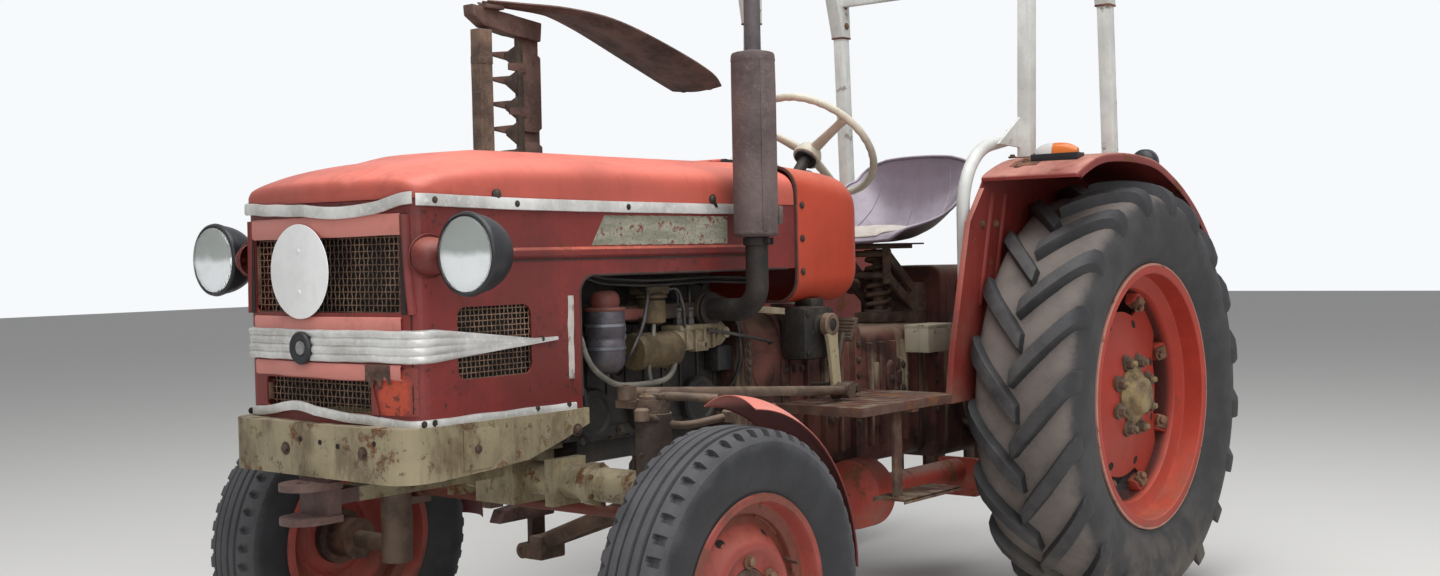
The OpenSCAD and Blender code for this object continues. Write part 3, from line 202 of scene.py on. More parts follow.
def enamel(name, colour, lit_faded_top=None, rust=0.3, chips=0.3, dust=0.3, gloss=0.5, size=1.0, dust_top=0.9,
           under=None):
    f = Finish(name)
    broad = f.noise(1.7 / size, 5, 0.6)
    middle = f.noise(9 / size, 5, 0.62, shift=(3, 1, 7))
    fine = f.noise(70 / size, 4, 0.6)
    tone = f.mix(f.mask(broad, 0.35, 0.66), shade(colour, 0.82), shade(colour, 1.12))
    tone = f.mix(f.mask(middle, 0.45, 0.75) * 0.35, tone, shade(colour, 0.66))
    if lit_faded_top:
        # faces turned up take the top colour: sun-faded paint together with a painted top light
        tone = f.mix(f.mask(f.up, 0.15, 0.95) * f.mask(broad, 0.22, 0.6), tone, lit_faded_top)
    streaks = f.noise(34 / size, 3, 0.6, stretch=(1, 1, 0.09))
    tone = f.mix(f.mask(streaks, 0.52, 0.72) * 0.35 * (0.3 + dust), tone, shade(colour, 0.5))
    grime = f.mask(f.z, dust_top, dust_top * 0.25) * f.mask(middle, 0.3, 0.75) * dust
    grime = grime + f.mask(f.up, 0.35, 1.0) * f.mask(middle, 0.4, 0.8) * dust * 0.55
    tone = f.mix(f.mask(grime, 0.0, 1.0), tone, dirt_brown)
    spots = f.mask(fine, 0.72 - 0.05 * chips, 0.745 - 0.05 * chips) * f.mask(middle, 0.5 - 0.16 * chips, 0.66)
    tone = f.mix(spots * min(1.0, 0.5 + chips), tone, under or rust_dark)
    bloom = f.mask(f.noise(5.2 / size, 9, 0.72, shift=(5, 2, 1)), 0.655 - 0.16 * rust, 0.70 - 0.10 * rust)
    rusty = f.mix(fine, rust_dark, rust_light)
    tone = f.mix(bloom * min(1.0, 0.35 + rust), tone, rusty)
    matt = f.mask(bloom + spots + grime, 0.0, 1.0)
    f.set(Base_Color=tone, Roughness=matt * (0.92 - gloss) + gloss + fine * 0.08)
    f.set(Normal=f.bump(fine * 0.5 + bloom * 0.6 + broad * 2.2 - spots * 0.7, 0.0016),
          Specular_IOR_Level=0.42)
    return f


def bare(name, dark, light, grime=0.4, rough=0.55, metal=0.5, size=1.0, depth=0.0012, dust_top=0.8):
    """Castings, forgings and drawn steel without paint, oily and rusty."""
    f = Finish(name)
    broad = f.noise(6 / size, 6, 0.65)
    fine = f.noise(85 / size, 5, 0.7)
    tone = f.mix(f.mask(broad, 0.34, 0.68), dark, light)
    tone = f.mix(f.mask(fine, 0.5, 0.78) * 0.6, tone, shade(light, 1.35))
    dirt = f.mask(f.noise(14 / size, 5, 0.6, shift=(1, 4, 2)), 0.42, 0.72) * grime
    dirt = dirt + f.mask(f.z, dust_top, 0.15) * grime * 0.4 + f.mask(f.up, 0.4, 1.0) * grime * 0.5
    dirt = f.mask(dirt, 0.0, 1.0)
    tone = f.mix(dirt, tone, dirt_brown)
    f.set(Base_Color=tone, Roughness=dirt * (0.95 - rough) + rough, Metallic=(1 - dirt) * metal)
    f.set(Normal=f.bump(fine + broad * 1.5, depth))
    return f


def dress(finish, *nodes):
    """Gives CAD nodes their finish."""
    for name in nodes:
        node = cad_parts[name]
        if not node.material_slots:
            node.data.materials.append(finish.material)
        for entry in node.material_slots:
            entry.material = finish.material


# Shapes are drawn into a bmesh and end as one finished piece that rides on its body.
# Every shape takes points in metres in the tractor's frame.
def frame_of(way):
    """Two directions square to way and to each other."""
    side = way.cross(Vector((0, 0, 1)))
    if side.length < 1e-4:
        side = Vector((1, 0, 0))
    side.normalize()
    return side, way.cross(side).normalized()


def skin(bm, rows, around=False, closed=False):
    """Quads between rows of points; around joins each row's ends, closed joins the last row to the first."""
    grid = [[bm.verts.new(p) for p in row] for row in rows]
    count = len(grid[0])
    for i in range(len(grid) if closed else len(grid) - 1):
        a, b = grid[i], grid[(i + 1) % len(grid)]
        for j in range(count if around else count - 1):
            k = (j + 1) % count
            bm.faces.new((a[j], a[k], b[k], b[j]))
    return grid


def loft(bm, rings):
    """Rings of points joined one to the next and closed at both ends."""
    grid = skin(bm, rings, around=True)
    bm.faces.new(grid[0])
    bm.faces.new(grid[-1])


def angles(count, shift=0.0):
    """Even steps round a circle, the first of them turned by a share of a step."""
    return [math.tau * (k + shift) / count for k in range(count)]


def pipe(bm, points, r, sides=12, r_end=None):
    """A round bar or tube along points, closed at both ends."""
    points = [Vector(p) for p in points]
    side, up = frame_of((points[1] - points[0]).normalized())
    rows = []
    for i, p in enumerate(points):
        before, after = points[max(i - 1, 0)], points[min(i + 1, len(points) - 1)]
        way = (after - before).normalized()
        side = (side - way * side.dot(way)).normalized()
        up = way.cross(side)
        radius = r if r_end is None else r + (r_end - r) * i / (len(points) - 1)
        rows.append([p + radius * (side * math.cos(a) + up * math.sin(a))
                     for a in angles(sides)])
    loft(bm, rows)


def bend(points, r, steps=6):
    """The same route with each corner rounded to about r."""
    points = [Vector(p) for p in points]
    route = [points[0]]
    for a, b, c in zip(points, points[1:], points[2:]):
        start = b + (a - b).normalized() * min(r, (a - b).length * 0.45)
        end = b + (c - b).normalized() * min(r, (c - b).length * 0.45)
        route += [start.lerp(b, t).lerp(b.lerp(end, t), t) for t in (i / steps for i in range(steps + 1))]
    return route + [points[-1]]


def turned(bm, centre, way, profile, steps=64, closed=False):
    """A profile of (radius, height along way) turned about way; closed joins its last point to its first."""
    way = Vector(way).normalized()
    side, up = frame_of(way)
    rows = []
    for r, h in profile:
        rows.append([Vector(centre) + way * h + max(r, 1e-5) * (side * math.cos(a) + up * math.sin(a))
                     for a in angles(steps)])
    if closed:
        skin(bm, rows, around=True, closed=True)
    else:
        loft(bm, rows)


def block(bm, low, high, bevel=0.002):
    """A box from one corner to the other with softened edges."""
    low, high = Vector(low), Vector(high)
    place = Matrix.Translation((low + high) / 2) @ Matrix.Diagonal((*(high - low), 1))
    cube = bmesh.ops.create_cube(bm, size=1, matrix=place)
    soften(bm, cube["verts"], bevel)


def soften(bm, verts, bevel):
    if bevel:
        edges = {e for v in verts for e in v.link_edges}
        bmesh.ops.bevel(bm, geom=list(edges), offset=bevel, segments=2, profile=0.6, affect="EDGES",
                        clamp_overlap=True)


def plate(bm, outline, way, thickness, bevel=0.0):
    """A flat outline of points pushed along way."""
    push = Vector(way).normalized() * thickness
    low = [bm.verts.new(Vector(p)) for p in outline]
    high = [bm.verts.new(Vector(p) + push) for p in outline]
    bm.faces.new(low)
    bm.faces.new(high[::-1])
    for i in range(len(low)):
        k = (i + 1) % len(low)
        bm.faces.new((low[i], high[i], high[k], low[k]))
    soften(bm, low + high, bevel)


def made(name, bm, finish, body="chassis", replaces=(), sharp=35, wall=0.0, offset=-1.0):
    """Ends a bmesh as a piece: doubles merged, normals outwards, wall added and creases kept sharp."""
    bmesh.ops.remove_doubles(bm, verts=bm.verts, dist=2e-5)
    bmesh.ops.dissolve_degenerate(bm, edges=bm.edges, dist=1e-5)
    bmesh.ops.recalc_face_normals(bm, faces=bm.faces)
    mesh = bpy.data.meshes.new(name)
    bm.to_mesh(mesh)
    bm.free()
    piece = placed_object(name, mesh)
    mesh.materials.append(finish.material)
    if wall:
        shell = piece.modifiers.new("wall", "SOLIDIFY")
        shell.thickness = wall
        shell.offset = offset
        bake(piece)
    piece.data.shade_smooth()
    return filed(piece, body, replaces, sharp)


def filed(piece, body, replaces, sharp):
    """Keeps creases sharp, hangs the piece on its body and hides the CAD nodes that it stands for."""
    piece.data.set_sharp_from_angle(angle=math.radians(sharp))
    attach(piece, body)
    if replaces:
        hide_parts(*replaces)
    return piece


def bake(piece):
    """The piece's modifiers become its mesh."""
    bpy.context.view_layer.update()
    ready = piece.evaluated_get(bpy.context.evaluated_depsgraph_get())
    mesh = bpy.data.meshes.new_from_object(ready)
    piece.modifiers.clear()
    piece.data = mesh


# Pale floor and soft light: one broad lamp above, one from the camera's left, and an even sky.
# Glass sees the same white as the camera does, and mirrors about half of it.
def plain_ground():
    size = 30
    bm = bmesh.new()
    skin(bm, [[(-size, -size, 0), (size, -size, 0)], [(-size, size, 0), (size, size, 0)]])
    mesh = bpy.data.meshes.new("floor")
    bm.to_mesh(mesh)
    bm.free()
    floor = placed_object("floor", mesh)
    paving = Finish("floor")
    paving.set(Base_Color=(0.74, 0.73, 0.71), Roughness=0.9)
    mesh.materials.append(paving.material)


def lamp(name, place, target, size, watts):
    light = bpy.data.lights.new(name, "AREA")
    light.size = size
    light.energy = watts
    holder = placed_object(name, light)
    holder.location = place
    holder.rotation_euler = (Vector(target) - Vector(place)).to_track_quat("-Z", "Y").to_euler()


plain_ground()
lamp("sky_lamp", (1.5, -1.0, 6.0), (0, 0, 0.6), 6.0, 430)
lamp("side_lamp", (6.0, -5.0, 3.2), (0, 0, 0.9), 4.0, 140)
world = bpy.data.worlds.new("studio")
world.use_nodes = True
bpy.context.scene.world = world
sky = Tree(world.node_tree)
rays = [sky.node("ShaderNodeLightPath", output=i) for i in (0, 3, 6)]
seen = (rays[0] + rays[1] * 0.55 + rays[2]).math("MINIMUM", 1.0)
backdrop = world.node_tree.nodes["Background"]
backdrop.inputs["Color"].default_value = (0.93, 0.95, 0.97, 1)
sky.plug(backdrop.inputs["Strength"], seen * 0.70 + 0.30)
bpy.context.scene.view_settings.view_transform = "Standard"

# Screws, bolts and nuts: hexagons on washers, set on marked points by one tree of shape nodes.
# Each point carries the way that its head faces.
class Shapes(Tree):
    """A tree of shape nodes with named sizes; grow() runs it on a mesh and leaves a plain one."""

    def __init__(self, name, **sizes):
        self.group = bpy.data.node_groups.new(name, "GeometryNodeTree")
        super().__init__(self.group)
        self.add_input("Geometry", "NodeSocketGeometry")
        self.add_input("Material", "NodeSocketMaterial")
        for key, value in sizes.items():
            self.add_input(key, "NodeSocketInt" if isinstance(value, int) else "NodeSocketFloat")
        self.group.interface.new_socket("Geometry", in_out="OUTPUT", socket_type="NodeSocketGeometry")
        self.entry = self.group.nodes.new("NodeGroupInput")
        self.sizes = sizes

    def add_input(self, name, kind):
        self.group.interface.new_socket(name, in_out="INPUT", socket_type=kind)

    def given(self, name):
        return Wire(self, self.entry.outputs[name])

    def end(self, shape):
        dressed = self.node("GeometryNodeSetMaterial", {},
                            Geometry=self.node("GeometryNodeRealizeInstances", {}, shape),
                            Material=self.given("Material"))
        out = self.group.nodes.new("NodeGroupOutput")
        self.plug(out.inputs[0], dressed)
        return self

    def grow(self, name, points, finish, body="chassis", slot=None, replaces=(), sharp=35, facing=None,
             **sizes):
        mesh = bpy.data.meshes.new(name)
        mesh.from_pydata([tuple(p) for p in points], [], [])
        if facing:
            marks = mesh.attributes.new("facing", "FLOAT_VECTOR", "POINT")
            for mark, way in zip(marks.data, facing):
                mark.vector = Vector(way).normalized()
        piece = placed_object(name, mesh)
        modifier = piece.modifiers.new("made", "NODES")
        modifier.node_group = self.group
        values = {**self.sizes, **sizes, "Material": finish.material}
        for item in self.group.interface.items_tree:
            if item.in_out == "INPUT" and item.name in values:
                modifier[item.identifier] = values[item.name]
        bake(piece)
        return filed(piece, body, replaces, sharp)


def bolt_tree():
    t = Shapes("bolts", Radius=0.008, Height=0.006)
    r, h = t.given("Radius"), t.given("Height")
    washer = t.node("GeometryNodeMeshCylinder", {}, Vertices=20, Radius=r * 1.45, Depth=h * 0.5)
    head = t.node("GeometryNodeMeshCone", {}, Vertices=6, Radius_Bottom=r, Radius_Top=r * 0.96, Depth=h)
    crown = t.node("GeometryNodeMeshCone", {}, Vertices=6, Radius_Bottom=r * 0.96, Radius_Top=r * 0.78,
                   Depth=h * 0.12)
    head = t.node("GeometryNodeTransform", {}, Geometry=head,
                  Translation=t.node("ShaderNodeCombineXYZ", {}, Z=h * 0.1))
    crown = t.node("GeometryNodeTransform", {}, Geometry=crown,
                   Translation=t.node("ShaderNodeCombineXYZ", {}, Z=h * 1.1))
    joined = t.node("GeometryNodeJoinGeometry", {}, washer)
    for part in (head, crown):
        t.nodes.links.new(part.socket, joined.socket.node.inputs[0])
    facing = t.node("GeometryNodeInputNamedAttribute", {"data_type": "FLOAT_VECTOR"}, Name="facing")
    turn = t.node("FunctionNodeAlignRotationToVector", {"axis": "Z"}, Vector=facing)
    return t.end(t.node("GeometryNodeInstanceOnPoints", {}, Points=t.given("Geometry"), Instance=joined,
                        Rotation=turn))


bolts = bolt_tree()
rusty_bolt = bare("rusty_bolt", (0.10, 0.05, 0.03), (0.26, 0.15, 0.09), grime=0.3, metal=0.4, size=0.5)

# The front carrier: a bent cream plate beam under the nose with the axle's pivot casting behind it.
# Its paint is stained and chipped to rust, with bolts and empty holes along the front.
cream_paint = enamel("cream_paint", (0.345, 0.290, 0.180), lit_faded_top=(0.43, 0.37, 0.25), rust=0.62, chips=1.0,
                     dust=0.85, gloss=0.5, size=0.55, dust_top=0.95)
# the towing jaw under the beam has lost its paint
jaw = cream_paint.mask(cream_paint.y - engine_front, -0.352, -0.358)
jaw = jaw * cream_paint.mask(cream_paint.z, 0.6256, 0.6240)
jaw_tone = cream_paint.mix(cream_paint.noise(30, 5, 0.65), (0.040, 0.025, 0.023), (0.185, 0.108, 0.092))
painted = cream_paint.colour()
stain = cream_paint.mask(cream_paint.noise(9, 6, 0.70, stretch=(1, 1, 0.45), shift=(3, 8, 2)), 0.46,
                         0.66) * 0.75
stained = cream_paint.mix(stain, painted, (0.115, 0.078, 0.040))
spots = cream_paint.mask(cream_paint.noise(44, 5, 0.68, shift=(5, 1, 6)), 0.58, 0.66) * 0.7
stained = cream_paint.mix(spots, stained, (0.075, 0.040, 0.025))
cream_paint.set(Base_Color=cream_paint.mix(jaw, stained, jaw_tone))
dress(cream_paint, "front_beam", "front_axle")
# near-black finish of painted shade for holes, gaps and the dark behind the grille
painted_shade_fill = bare("painted_shade_fill", (0.008, 0.007, 0.006), (0.02, 0.016, 0.012), grime=0.1, rough=0.9, metal=0)
ahead, leftwards, backwards = Vector((0, -1, 0)), Vector((1, 0, 0)), Vector((0, 1, 0))
beam_front, beam_side = -0.453, 0.290

beam_bolts = [at(-0.080, beam_front, 0.680), at(0.171, beam_front, 0.685)]
side_bolts = [at(beam_side, y, z) for y, z in ((-0.264, 0.681), (0.022, 0.690))]
beam_bolts += side_bolts + [Vector((-p.x, p.y, p.z)) for p in side_bolts]
beam_bolt_dark = bare("beam_bolt_dark", (0.030, 0.018, 0.014), (0.105, 0.062, 0.045), grime=0.3,
                      metal=0.3, size=0.3)
bolts.grow("beam_bolts", beam_bolts, beam_bolt_dark, slot="beam_cream",
           facing=[ahead] * 2 + [leftwards] * 2 + [-leftwards] * 2, Radius=0.0095, Height=0.006)


def holes(name, spots, way, r, body="chassis"):
    """Dark discs with a raised lip: painted shade in holes drilled through a plate."""
    bm = bmesh.new()
    for spot in spots:
        turned(bm, spot, way,
               [(0, 0.0006), (r * 0.86, 0.0006), (r, 0.0016), (r * 1.12, 0.0004), (r * 1.12, -0.001)], 20)
    return made(name, bm, painted_shade_fill, body)


holes("beam_holes",
      [at(-0.030, beam_front, 0.702), at(0.035, beam_front, 0.699), at(0.092, beam_front, 0.694),
       at(0.206, beam_front, 0.706)], ahead, 0.005)
holes("beam_side_holes",
      [at(beam_side, -0.285, 0.665), at(beam_side, -0.226, 0.651), at(beam_side, 0.039, 0.662)],
      leftwards, 0.006)
bm = bmesh.new()
for s in (1, -1):
    # doubling plate bolted on the beam's side, and the weld along the cut behind it
    outline = [at(s * beam_side, y, z)
               for y, z in ((-0.300, 0.722), (-0.208, 0.722), (-0.200, 0.664), (-0.228, 0.640),
                            (-0.300, 0.640))]
    plate(bm, outline, (s, 0, 0), 0.003, 0.001)
made("beam_side_plates", bm, cream_paint)

# Steering: brown forged knuckles with castle nuts, a red tie rod and a drag link with ball housings.
# The balls sit in greased cups with a nut and a split pin below.
brown_forging = bare("brown_forging", (0.058, 0.037, 0.028), (0.165, 0.108, 0.074), grime=0.5, metal=0.25,
                     size=0.7)
red_rod = enamel("red_rod", (0.17, 0.040, 0.028), rust=0.6, chips=0.7, dust=0.6, size=0.5)
dress(brown_forging, "knuckle_left", "knuckle_right", "drag_link")
dress(red_rod, "tie_rod")
dress(cream_paint, "pitman_arm")
kingpin_x = 0.430
for side, s in (("left", 1), ("right", -1)):
    bm = bmesh.new()
    # clamp ring and grease cap on top of the kingpin, and a strap round its housing
    top = at(s * kingpin_x, axle_y, 0.7555)
    turned(bm, top, (0, 0, 1),
           [(0.030, -0.001), (0.030, 0.006), (0.022, 0.010), (0.018, 0.018), (0.006, 0.023), (0, 0.024)],
           32)
    made(f"kingpin_cap_{side}", bm, brown_forging, f"knuckle_{side}")
    spots = [top + Vector((0.022 * math.cos(a), 0.022 * math.sin(a), 0.006)) for a in (0.5, 2.6, 4.7)]
    bolts.grow(f"kingpin_bolts_{side}", spots, rusty_bolt, f"knuckle_{side}", slot="forging_brown",
               facing=[(0, 0, 1)] * 3, Radius=0.0055, Height=0.005)
# brown sleeves round the kingpin's housings, with a raised ring at each end and a grease nipple
bm = bmesh.new()
for s in (1, -1):
    turned(bm, at(s * kingpin_x, axle_y, 0.512), (0, 0, 1),
           [(0.0380, 0.0004), (0.0396, 0.0010), (0.0400, 0.003), (0.0400, 0.014), (0.0393, 0.017),
            (0.0393, 0.192), (0.0400, 0.195), (0.0400, 0.210), (0.0396, 0.2124), (0.0380, 0.2126)], 48,
           closed=True)
    turned(bm, at(s * kingpin_x, 0.0715, 0.640), (0, -1, 0),
           [(0.006, -0.003), (0.006, 0.003), (0.0035, 0.004), (0.0035, 0.008), (0, 0.009)], 12)
sleeve_brown = bare("sleeve_brown", (0.020, 0.013, 0.011), (0.058, 0.036, 0.028), grime=0.35, rough=0.7,
                    metal=0.1, size=0.6)
made("kingpin_sleeves", bm, sleeve_brown, sharp=35)
bm = bmesh.new()
for s in (-1, 1):
    for a in angles(6, 0.5):
        spot = at(s * 0.2765, axle_y, 0.560) + Vector((0, 0.0435 * math.cos(a), 0.0435 * math.sin(a)))
        turned(bm, spot, (s, 0, 0), [(0.006, -0.002), (0.006, 0.004), (0, 0.0046)], 6)
made("axle_flange_bolts", bm, rusty_bolt)

# Body paint: red enamel, orange on top where it is sun-faded and given a painted top light, and dark on the
# sides.
body_paint = enamel("body_paint", (0.205, 0.027, 0.023), lit_faded_top=(0.66, 0.16, 0.10), rust=0.12, chips=0.9,
                    dust=0.34, gloss=0.42, dust_top=1.0)
faded_paint = enamel("faded_paint", (0.47, 0.096, 0.068), lit_faded_top=(0.76, 0.190, 0.135), rust=0.03, chips=0.2,
                     dust=0.12, gloss=0.42, dust_top=1.0)
# the bands under the lid are painted paler as painted light for their upright faces, and lid and bands carry
# dark rubbed smudges
painted = faded_paint.colour()
painted_band_light = faded_paint.mask(faded_paint.z, 1.166, 1.160) * 0.45
smudge = faded_paint.mask(faded_paint.noise(5.5, 7, 0.70, stretch=(1, 0.5, 1), shift=(2, 6, 4)), 0.52,
                          0.70) * 0.40
rubbed = faded_paint.mix(smudge, faded_paint.mix(painted_band_light, painted, (0.84, 0.40, 0.35)),
                         (0.230, 0.050, 0.040))
faded_paint.set(Base_Color=rubbed)
# soft dark smudges and small dents on the sides
painted = body_paint.colour()
smudge = body_paint.mask(body_paint.noise(4.2, 7, 0.68, shift=(1, 2, 9)), 0.43, 0.62) * 0.50
speck = body_paint.mask(body_paint.noise(48, 4, 0.62, shift=(7, 3, 1)), 0.61, 0.65)
speck = speck * body_paint.mask(body_paint.noise(6, 3, 0.5, shift=(4, 4, 0)), 0.46, 0.60) * 0.8
body_paint.set(Base_Color=body_paint.mix((smudge + speck).math("MINIMUM", 1.0), painted,
                                         (0.070, 0.017, 0.015)))
dress(body_paint, "bonnet_sides")


# The bonnet's lid: one pressed sheet hinged at the cowl, rounded over the shoulders, dented at the front
# corner. It is lofted through the same sections as the solid, drawn smooth between them, with a rolled
# edge below.
nose_y, belt_z, crown_z, half_w, corner_r = -0.415, 1.180, 1.295, 0.281, 0.040
lid_sections = [  # y, half width, crown, squareness, share of the nose's curve in plan
    (nose_y - 0.016, half_w, belt_z + 0.026, 4.6, 1.0),
    (nose_y - 0.010, half_w + 0.001, belt_z + 0.041, 4.4, 1.0),
    (nose_y + 0.024, half_w + 0.002, belt_z + 0.059, 4.2, 0.9),
    (nose_y + 0.090, half_w + 0.003, crown_z - 0.037, 4.0, 0.5),
    (nose_y + 0.190, half_w + 0.003, crown_z - 0.022, 4.0, 0.1),
    (-0.100, half_w + 0.003, crown_z - 0.016, 4.0, 0.0),
    (0.826, half_w + 0.003, crown_z - 0.015, 4.0, 0.0)]


def between(table, y):
    """The row of a table at y, on smooth curves through its rows."""
    i = max(0, min(len(table) - 2, sum(row[0] <= y for row in table) - 1))
    a, b = table[i], table[i + 1]
    span = b[0] - a[0]
    t = (y - a[0]) / span
    row = []
    for k in range(1, len(a)):
        before, after = table[max(i - 1, 0)], table[min(i + 2, len(table) - 1)]
        slope_a = (b[k] - before[k]) / (b[0] - before[0]) * span
        slope_b = (after[k] - a[k]) / (after[0] - a[0]) * span
        step = b[k] - a[k]
        slope_a, slope_b = [max(-3 * abs(step), min(3 * abs(step), v)) for v in (slope_a, slope_b)]
        row.append((2 * t**3 - 3 * t**2 + 1) * a[k] + (t**3 - 2 * t**2 + t) * slope_a
                   + (3 * t**2 - 2 * t**3) * b[k] + (t**3 - t**2) * slope_b)
    return row


def set_back(x):
    """How far the nose's outline in plan lies behind its middle."""
    a, c = abs(x), half_w - corner_r
    if a < c:
        return 0.022 * a / c
    return 0.022 + corner_r - math.sqrt(max(0.0, corner_r ** 2 - (min(a, half_w) - c) ** 2))


def lid_point(y, turn):
    w, crown, power, follow = between(lid_sections, y)
    c, s = math.cos(turn), math.sin(turn)
    x = w * math.copysign(abs(c) ** (2 / power), c)
    z = belt_z + 0.0003 + (crown - belt_z) * abs(s) ** (2 / power)
    back = follow * set_back(x)
    # the crease above the dented strip, and slow waves in the sheet
    crease = math.exp(-((x - 0.095 - (z - 1.22) * 0.4) / 0.013)**2) * math.exp(-((y + 0.395) / 0.05)**2)
    crease *= min(1.0, (z - belt_z) / 0.02)
    push = math.exp(-((x - 0.20) / 0.09)**2) * math.exp(-((y + 0.42) / 0.05)**2)
    wave = noise.noise((x * 5, y * 3.1, 1.7)) * 0.0022
    # the raised middle panel, which starts behind the nose
    rise = max(0.0, min(1.0, (y + 0.238) / 0.115)) * max(0.0, min(1.0, (0.185 - abs(x)) / 0.055))
    z += 0.0145 * rise * rise * (3 - 2 * rise)
    return at(x, y + back + 0.006 * crease + 0.004 * push,
              z - 0.006 * crease + wave * min(1.0, (z - belt_z) / 0.05))


bm = bmesh.new()
lid_ys = sorted([nose_y - 0.016 + 0.0035 * i for i in range(12)]
                + [nose_y + 0.030 + 0.010 * i for i in range(22)]
                + [-0.150 + 0.0325 * i for i in range(31)])
lid_ys[-1] = 0.826
rows = []
for y in lid_ys:
    row = [lid_point(y, math.pi * i / 72) for i in range(73)]
    lip = [row[0] + Vector((-0.011, 0, 0.001)), row[0] + Vector((-0.0115, 0, 0.005))]
    far = [row[-1] + Vector((0.0115, 0, 0.005)), row[-1] + Vector((0.011, 0, 0.001))]
    rows.append(lip[::-1] + row + far[::-1])
# the front skirt, which reaches down to the strip
front = rows[0]
skirt = [[Vector((p.x, p.y + back, at(0, 0, belt_z + 0.0005).z + (p.z - belt_z - 0.0005) * share))
          for p in front]
         for share, back in ((0.0, 0.0045), (0.03, 0.0008), (0.12, 0.0), (0.45, 0.0), (0.8, 0.0))]
skin(bm, skirt + rows)
made("lid", bm, faded_paint, "bonnet_lid", wall=0.0035, sharp=50)
# hinge barrel at the back
bm = bmesh.new()
hinge = at(0, 0.830, 1.303)
for ends in ((-0.050, -0.0165), (-0.0155, 0.0155), (0.0165, 0.050)):
    pipe(bm, [hinge + Vector((x, 0, 0)) for x in ends], 0.007, 20)
plate(bm,
      [hinge + Vector((x, y, -0.0055))
       for x, y in ((-0.049, -0.046), (0.049, -0.046), (0.049, -0.002), (-0.049, -0.002))], (0, 0, 1),
      0.004, 0.0008)
made("lid_hinge", bm, faded_paint, "bonnet_lid", replaces=["bonnet_lid"])
bolts.grow("lid_hinge_screws", [hinge + Vector((x, -0.030, -0.0015)) for x in (-0.035, 0, 0.035)],
           rusty_bolt, "bonnet_lid", slot="body_red", facing=[(0, 0, 1)] * 3, Radius=0.004, Height=0.003)

# Latch knobs at the seam: dark rusty discs with a turned eye, two on each side.
bm = bmesh.new()
for s in (1, -1):
    for y in (-0.191, 0.500):
        spot = at(s * 0.2868, y, 1.190)
        turned(bm, spot, (s, 0, 0),
               [(0.0115, -0.004), (0.0115, 0.0012), (0.0085, 0.0022), (0.0070, 0.005), (0.0035, 0.0062),
                (0, 0.0064)], 28)
        plate(bm,
              [spot + Vector((s * 0.001, a, b))
               for a, b in ((-0.003, -0.002), (0.012, -0.010), (0.015, -0.019), (0.009, -0.020),
                            (-0.006, -0.004))], (s, 0, 0), 0.0025, 0.0006)
latch_dark = bare("latch_dark", (0.022, 0.018, 0.016), (0.075, 0.058, 0.045), grime=0.15, rough=0.5,
                  metal=0.5, size=0.4)
made("lid_latches", bm, latch_dark, "chassis")


# The nose: a steel shell with fascia bands that stand proud of two recessed wire grilles and end in
# rolled edges. The bands are separate pressings screwed to the shell, bent and rusty at the left corner.
def nose_front(x, out=0.0):
    """The y of the nose's front face at x, moved outwards."""
    return nose_y - 0.012 + set_back(x) - out


def band(bm, z0, z1, out, half, curl=0.010, wave=0.0, steps=46, top=0.0):
    """A pressed strip across the nose from z0 up to z1, with a lower edge that curls inwards."""
    rows = []
    for i in range(steps + 1):
        x = half * (1 - 2 * i / steps)
        y = nose_front(x, out) + wave * noise.noise((x * 9, z0 * 7, 3.0))
        dz = wave * 1.2 * noise.noise((x * 7, z0 * 3, 8.0))
        rows.append([at(x, y + curl, z0 + 0.002 + dz), at(x, y + curl * 0.35, z0 + dz),
                     at(x, y, z0 + 0.004 + dz), at(x, y, z0 * 0.5 + z1 * 0.5), at(x, y, z1 - 0.003),
                     at(x, y + 0.003 + top, z1)])
    skin(bm, rows)


bm = bmesh.new()
band(bm, 1.109, 1.1525, 0.0045, 0.2445, 0.010, 0.002)
band(bm, 0.9145, 0.950, 0.0045, 0.2405, 0.004, 0.002)
band(bm, 0.826, 0.8565, 0.006, 0.2385, 0.014, 0.004)
made("fascia_bands", bm, faded_paint, wall=0.0022, sharp=60)

# the leaning flange that closes the grille against each side panel, and dark strips of painted shade in the
# gaps beside it
bm = bmesh.new()
for s in (1, -1):
    rows = []
    for i in range(25):
        t = i / 24
        z = 1.150 - t * (1.150 - 0.955)
        lean = s * (0.2505 + 0.0105 * t**1.6)
        y = nose_front(lean, 0.0)
        rows.append([at(lean - s * 0.006, y + 0.004, z), at(lean - s * 0.003, y - 0.006, z),
                     at(lean + s * 0.004, y - 0.009, z), at(lean + s * 0.010, y - 0.004, z),
                     at(lean + s * 0.012, y + 0.004, z)])
    skin(bm, rows)
made("grille_flanges", bm, body_paint, wall=0.002, sharp=60)
bm = bmesh.new()
for s in (1, -1):
    plate(bm,
          [at(s * x, nose_front(0.243) - 0.0012, z)
           for x, z in ((0.2415, 1.112), (0.2485, 1.112), (0.2555, 0.955), (0.2415, 0.955))], (0, -1, 0),
          0.001)
for s in (1, -1):
    # a dark strip of painted shade in the seam between the nose's front and the side panel
    a0, a1 = [math.radians(d) for d in (-60, -56.5)]
    low, high = [(half_w - corner_r + 0.0422 * math.cos(a), nose_y + 0.050 + 0.0422 * math.sin(a))
                 for a in (a0, a1)]
    skin(bm, [[at(s * low[0], low[1], z), at(s * high[0], high[1], z)] for z in (0.762, 0.955)])
made("grille_gap_shade", bm, painted_shade_fill)

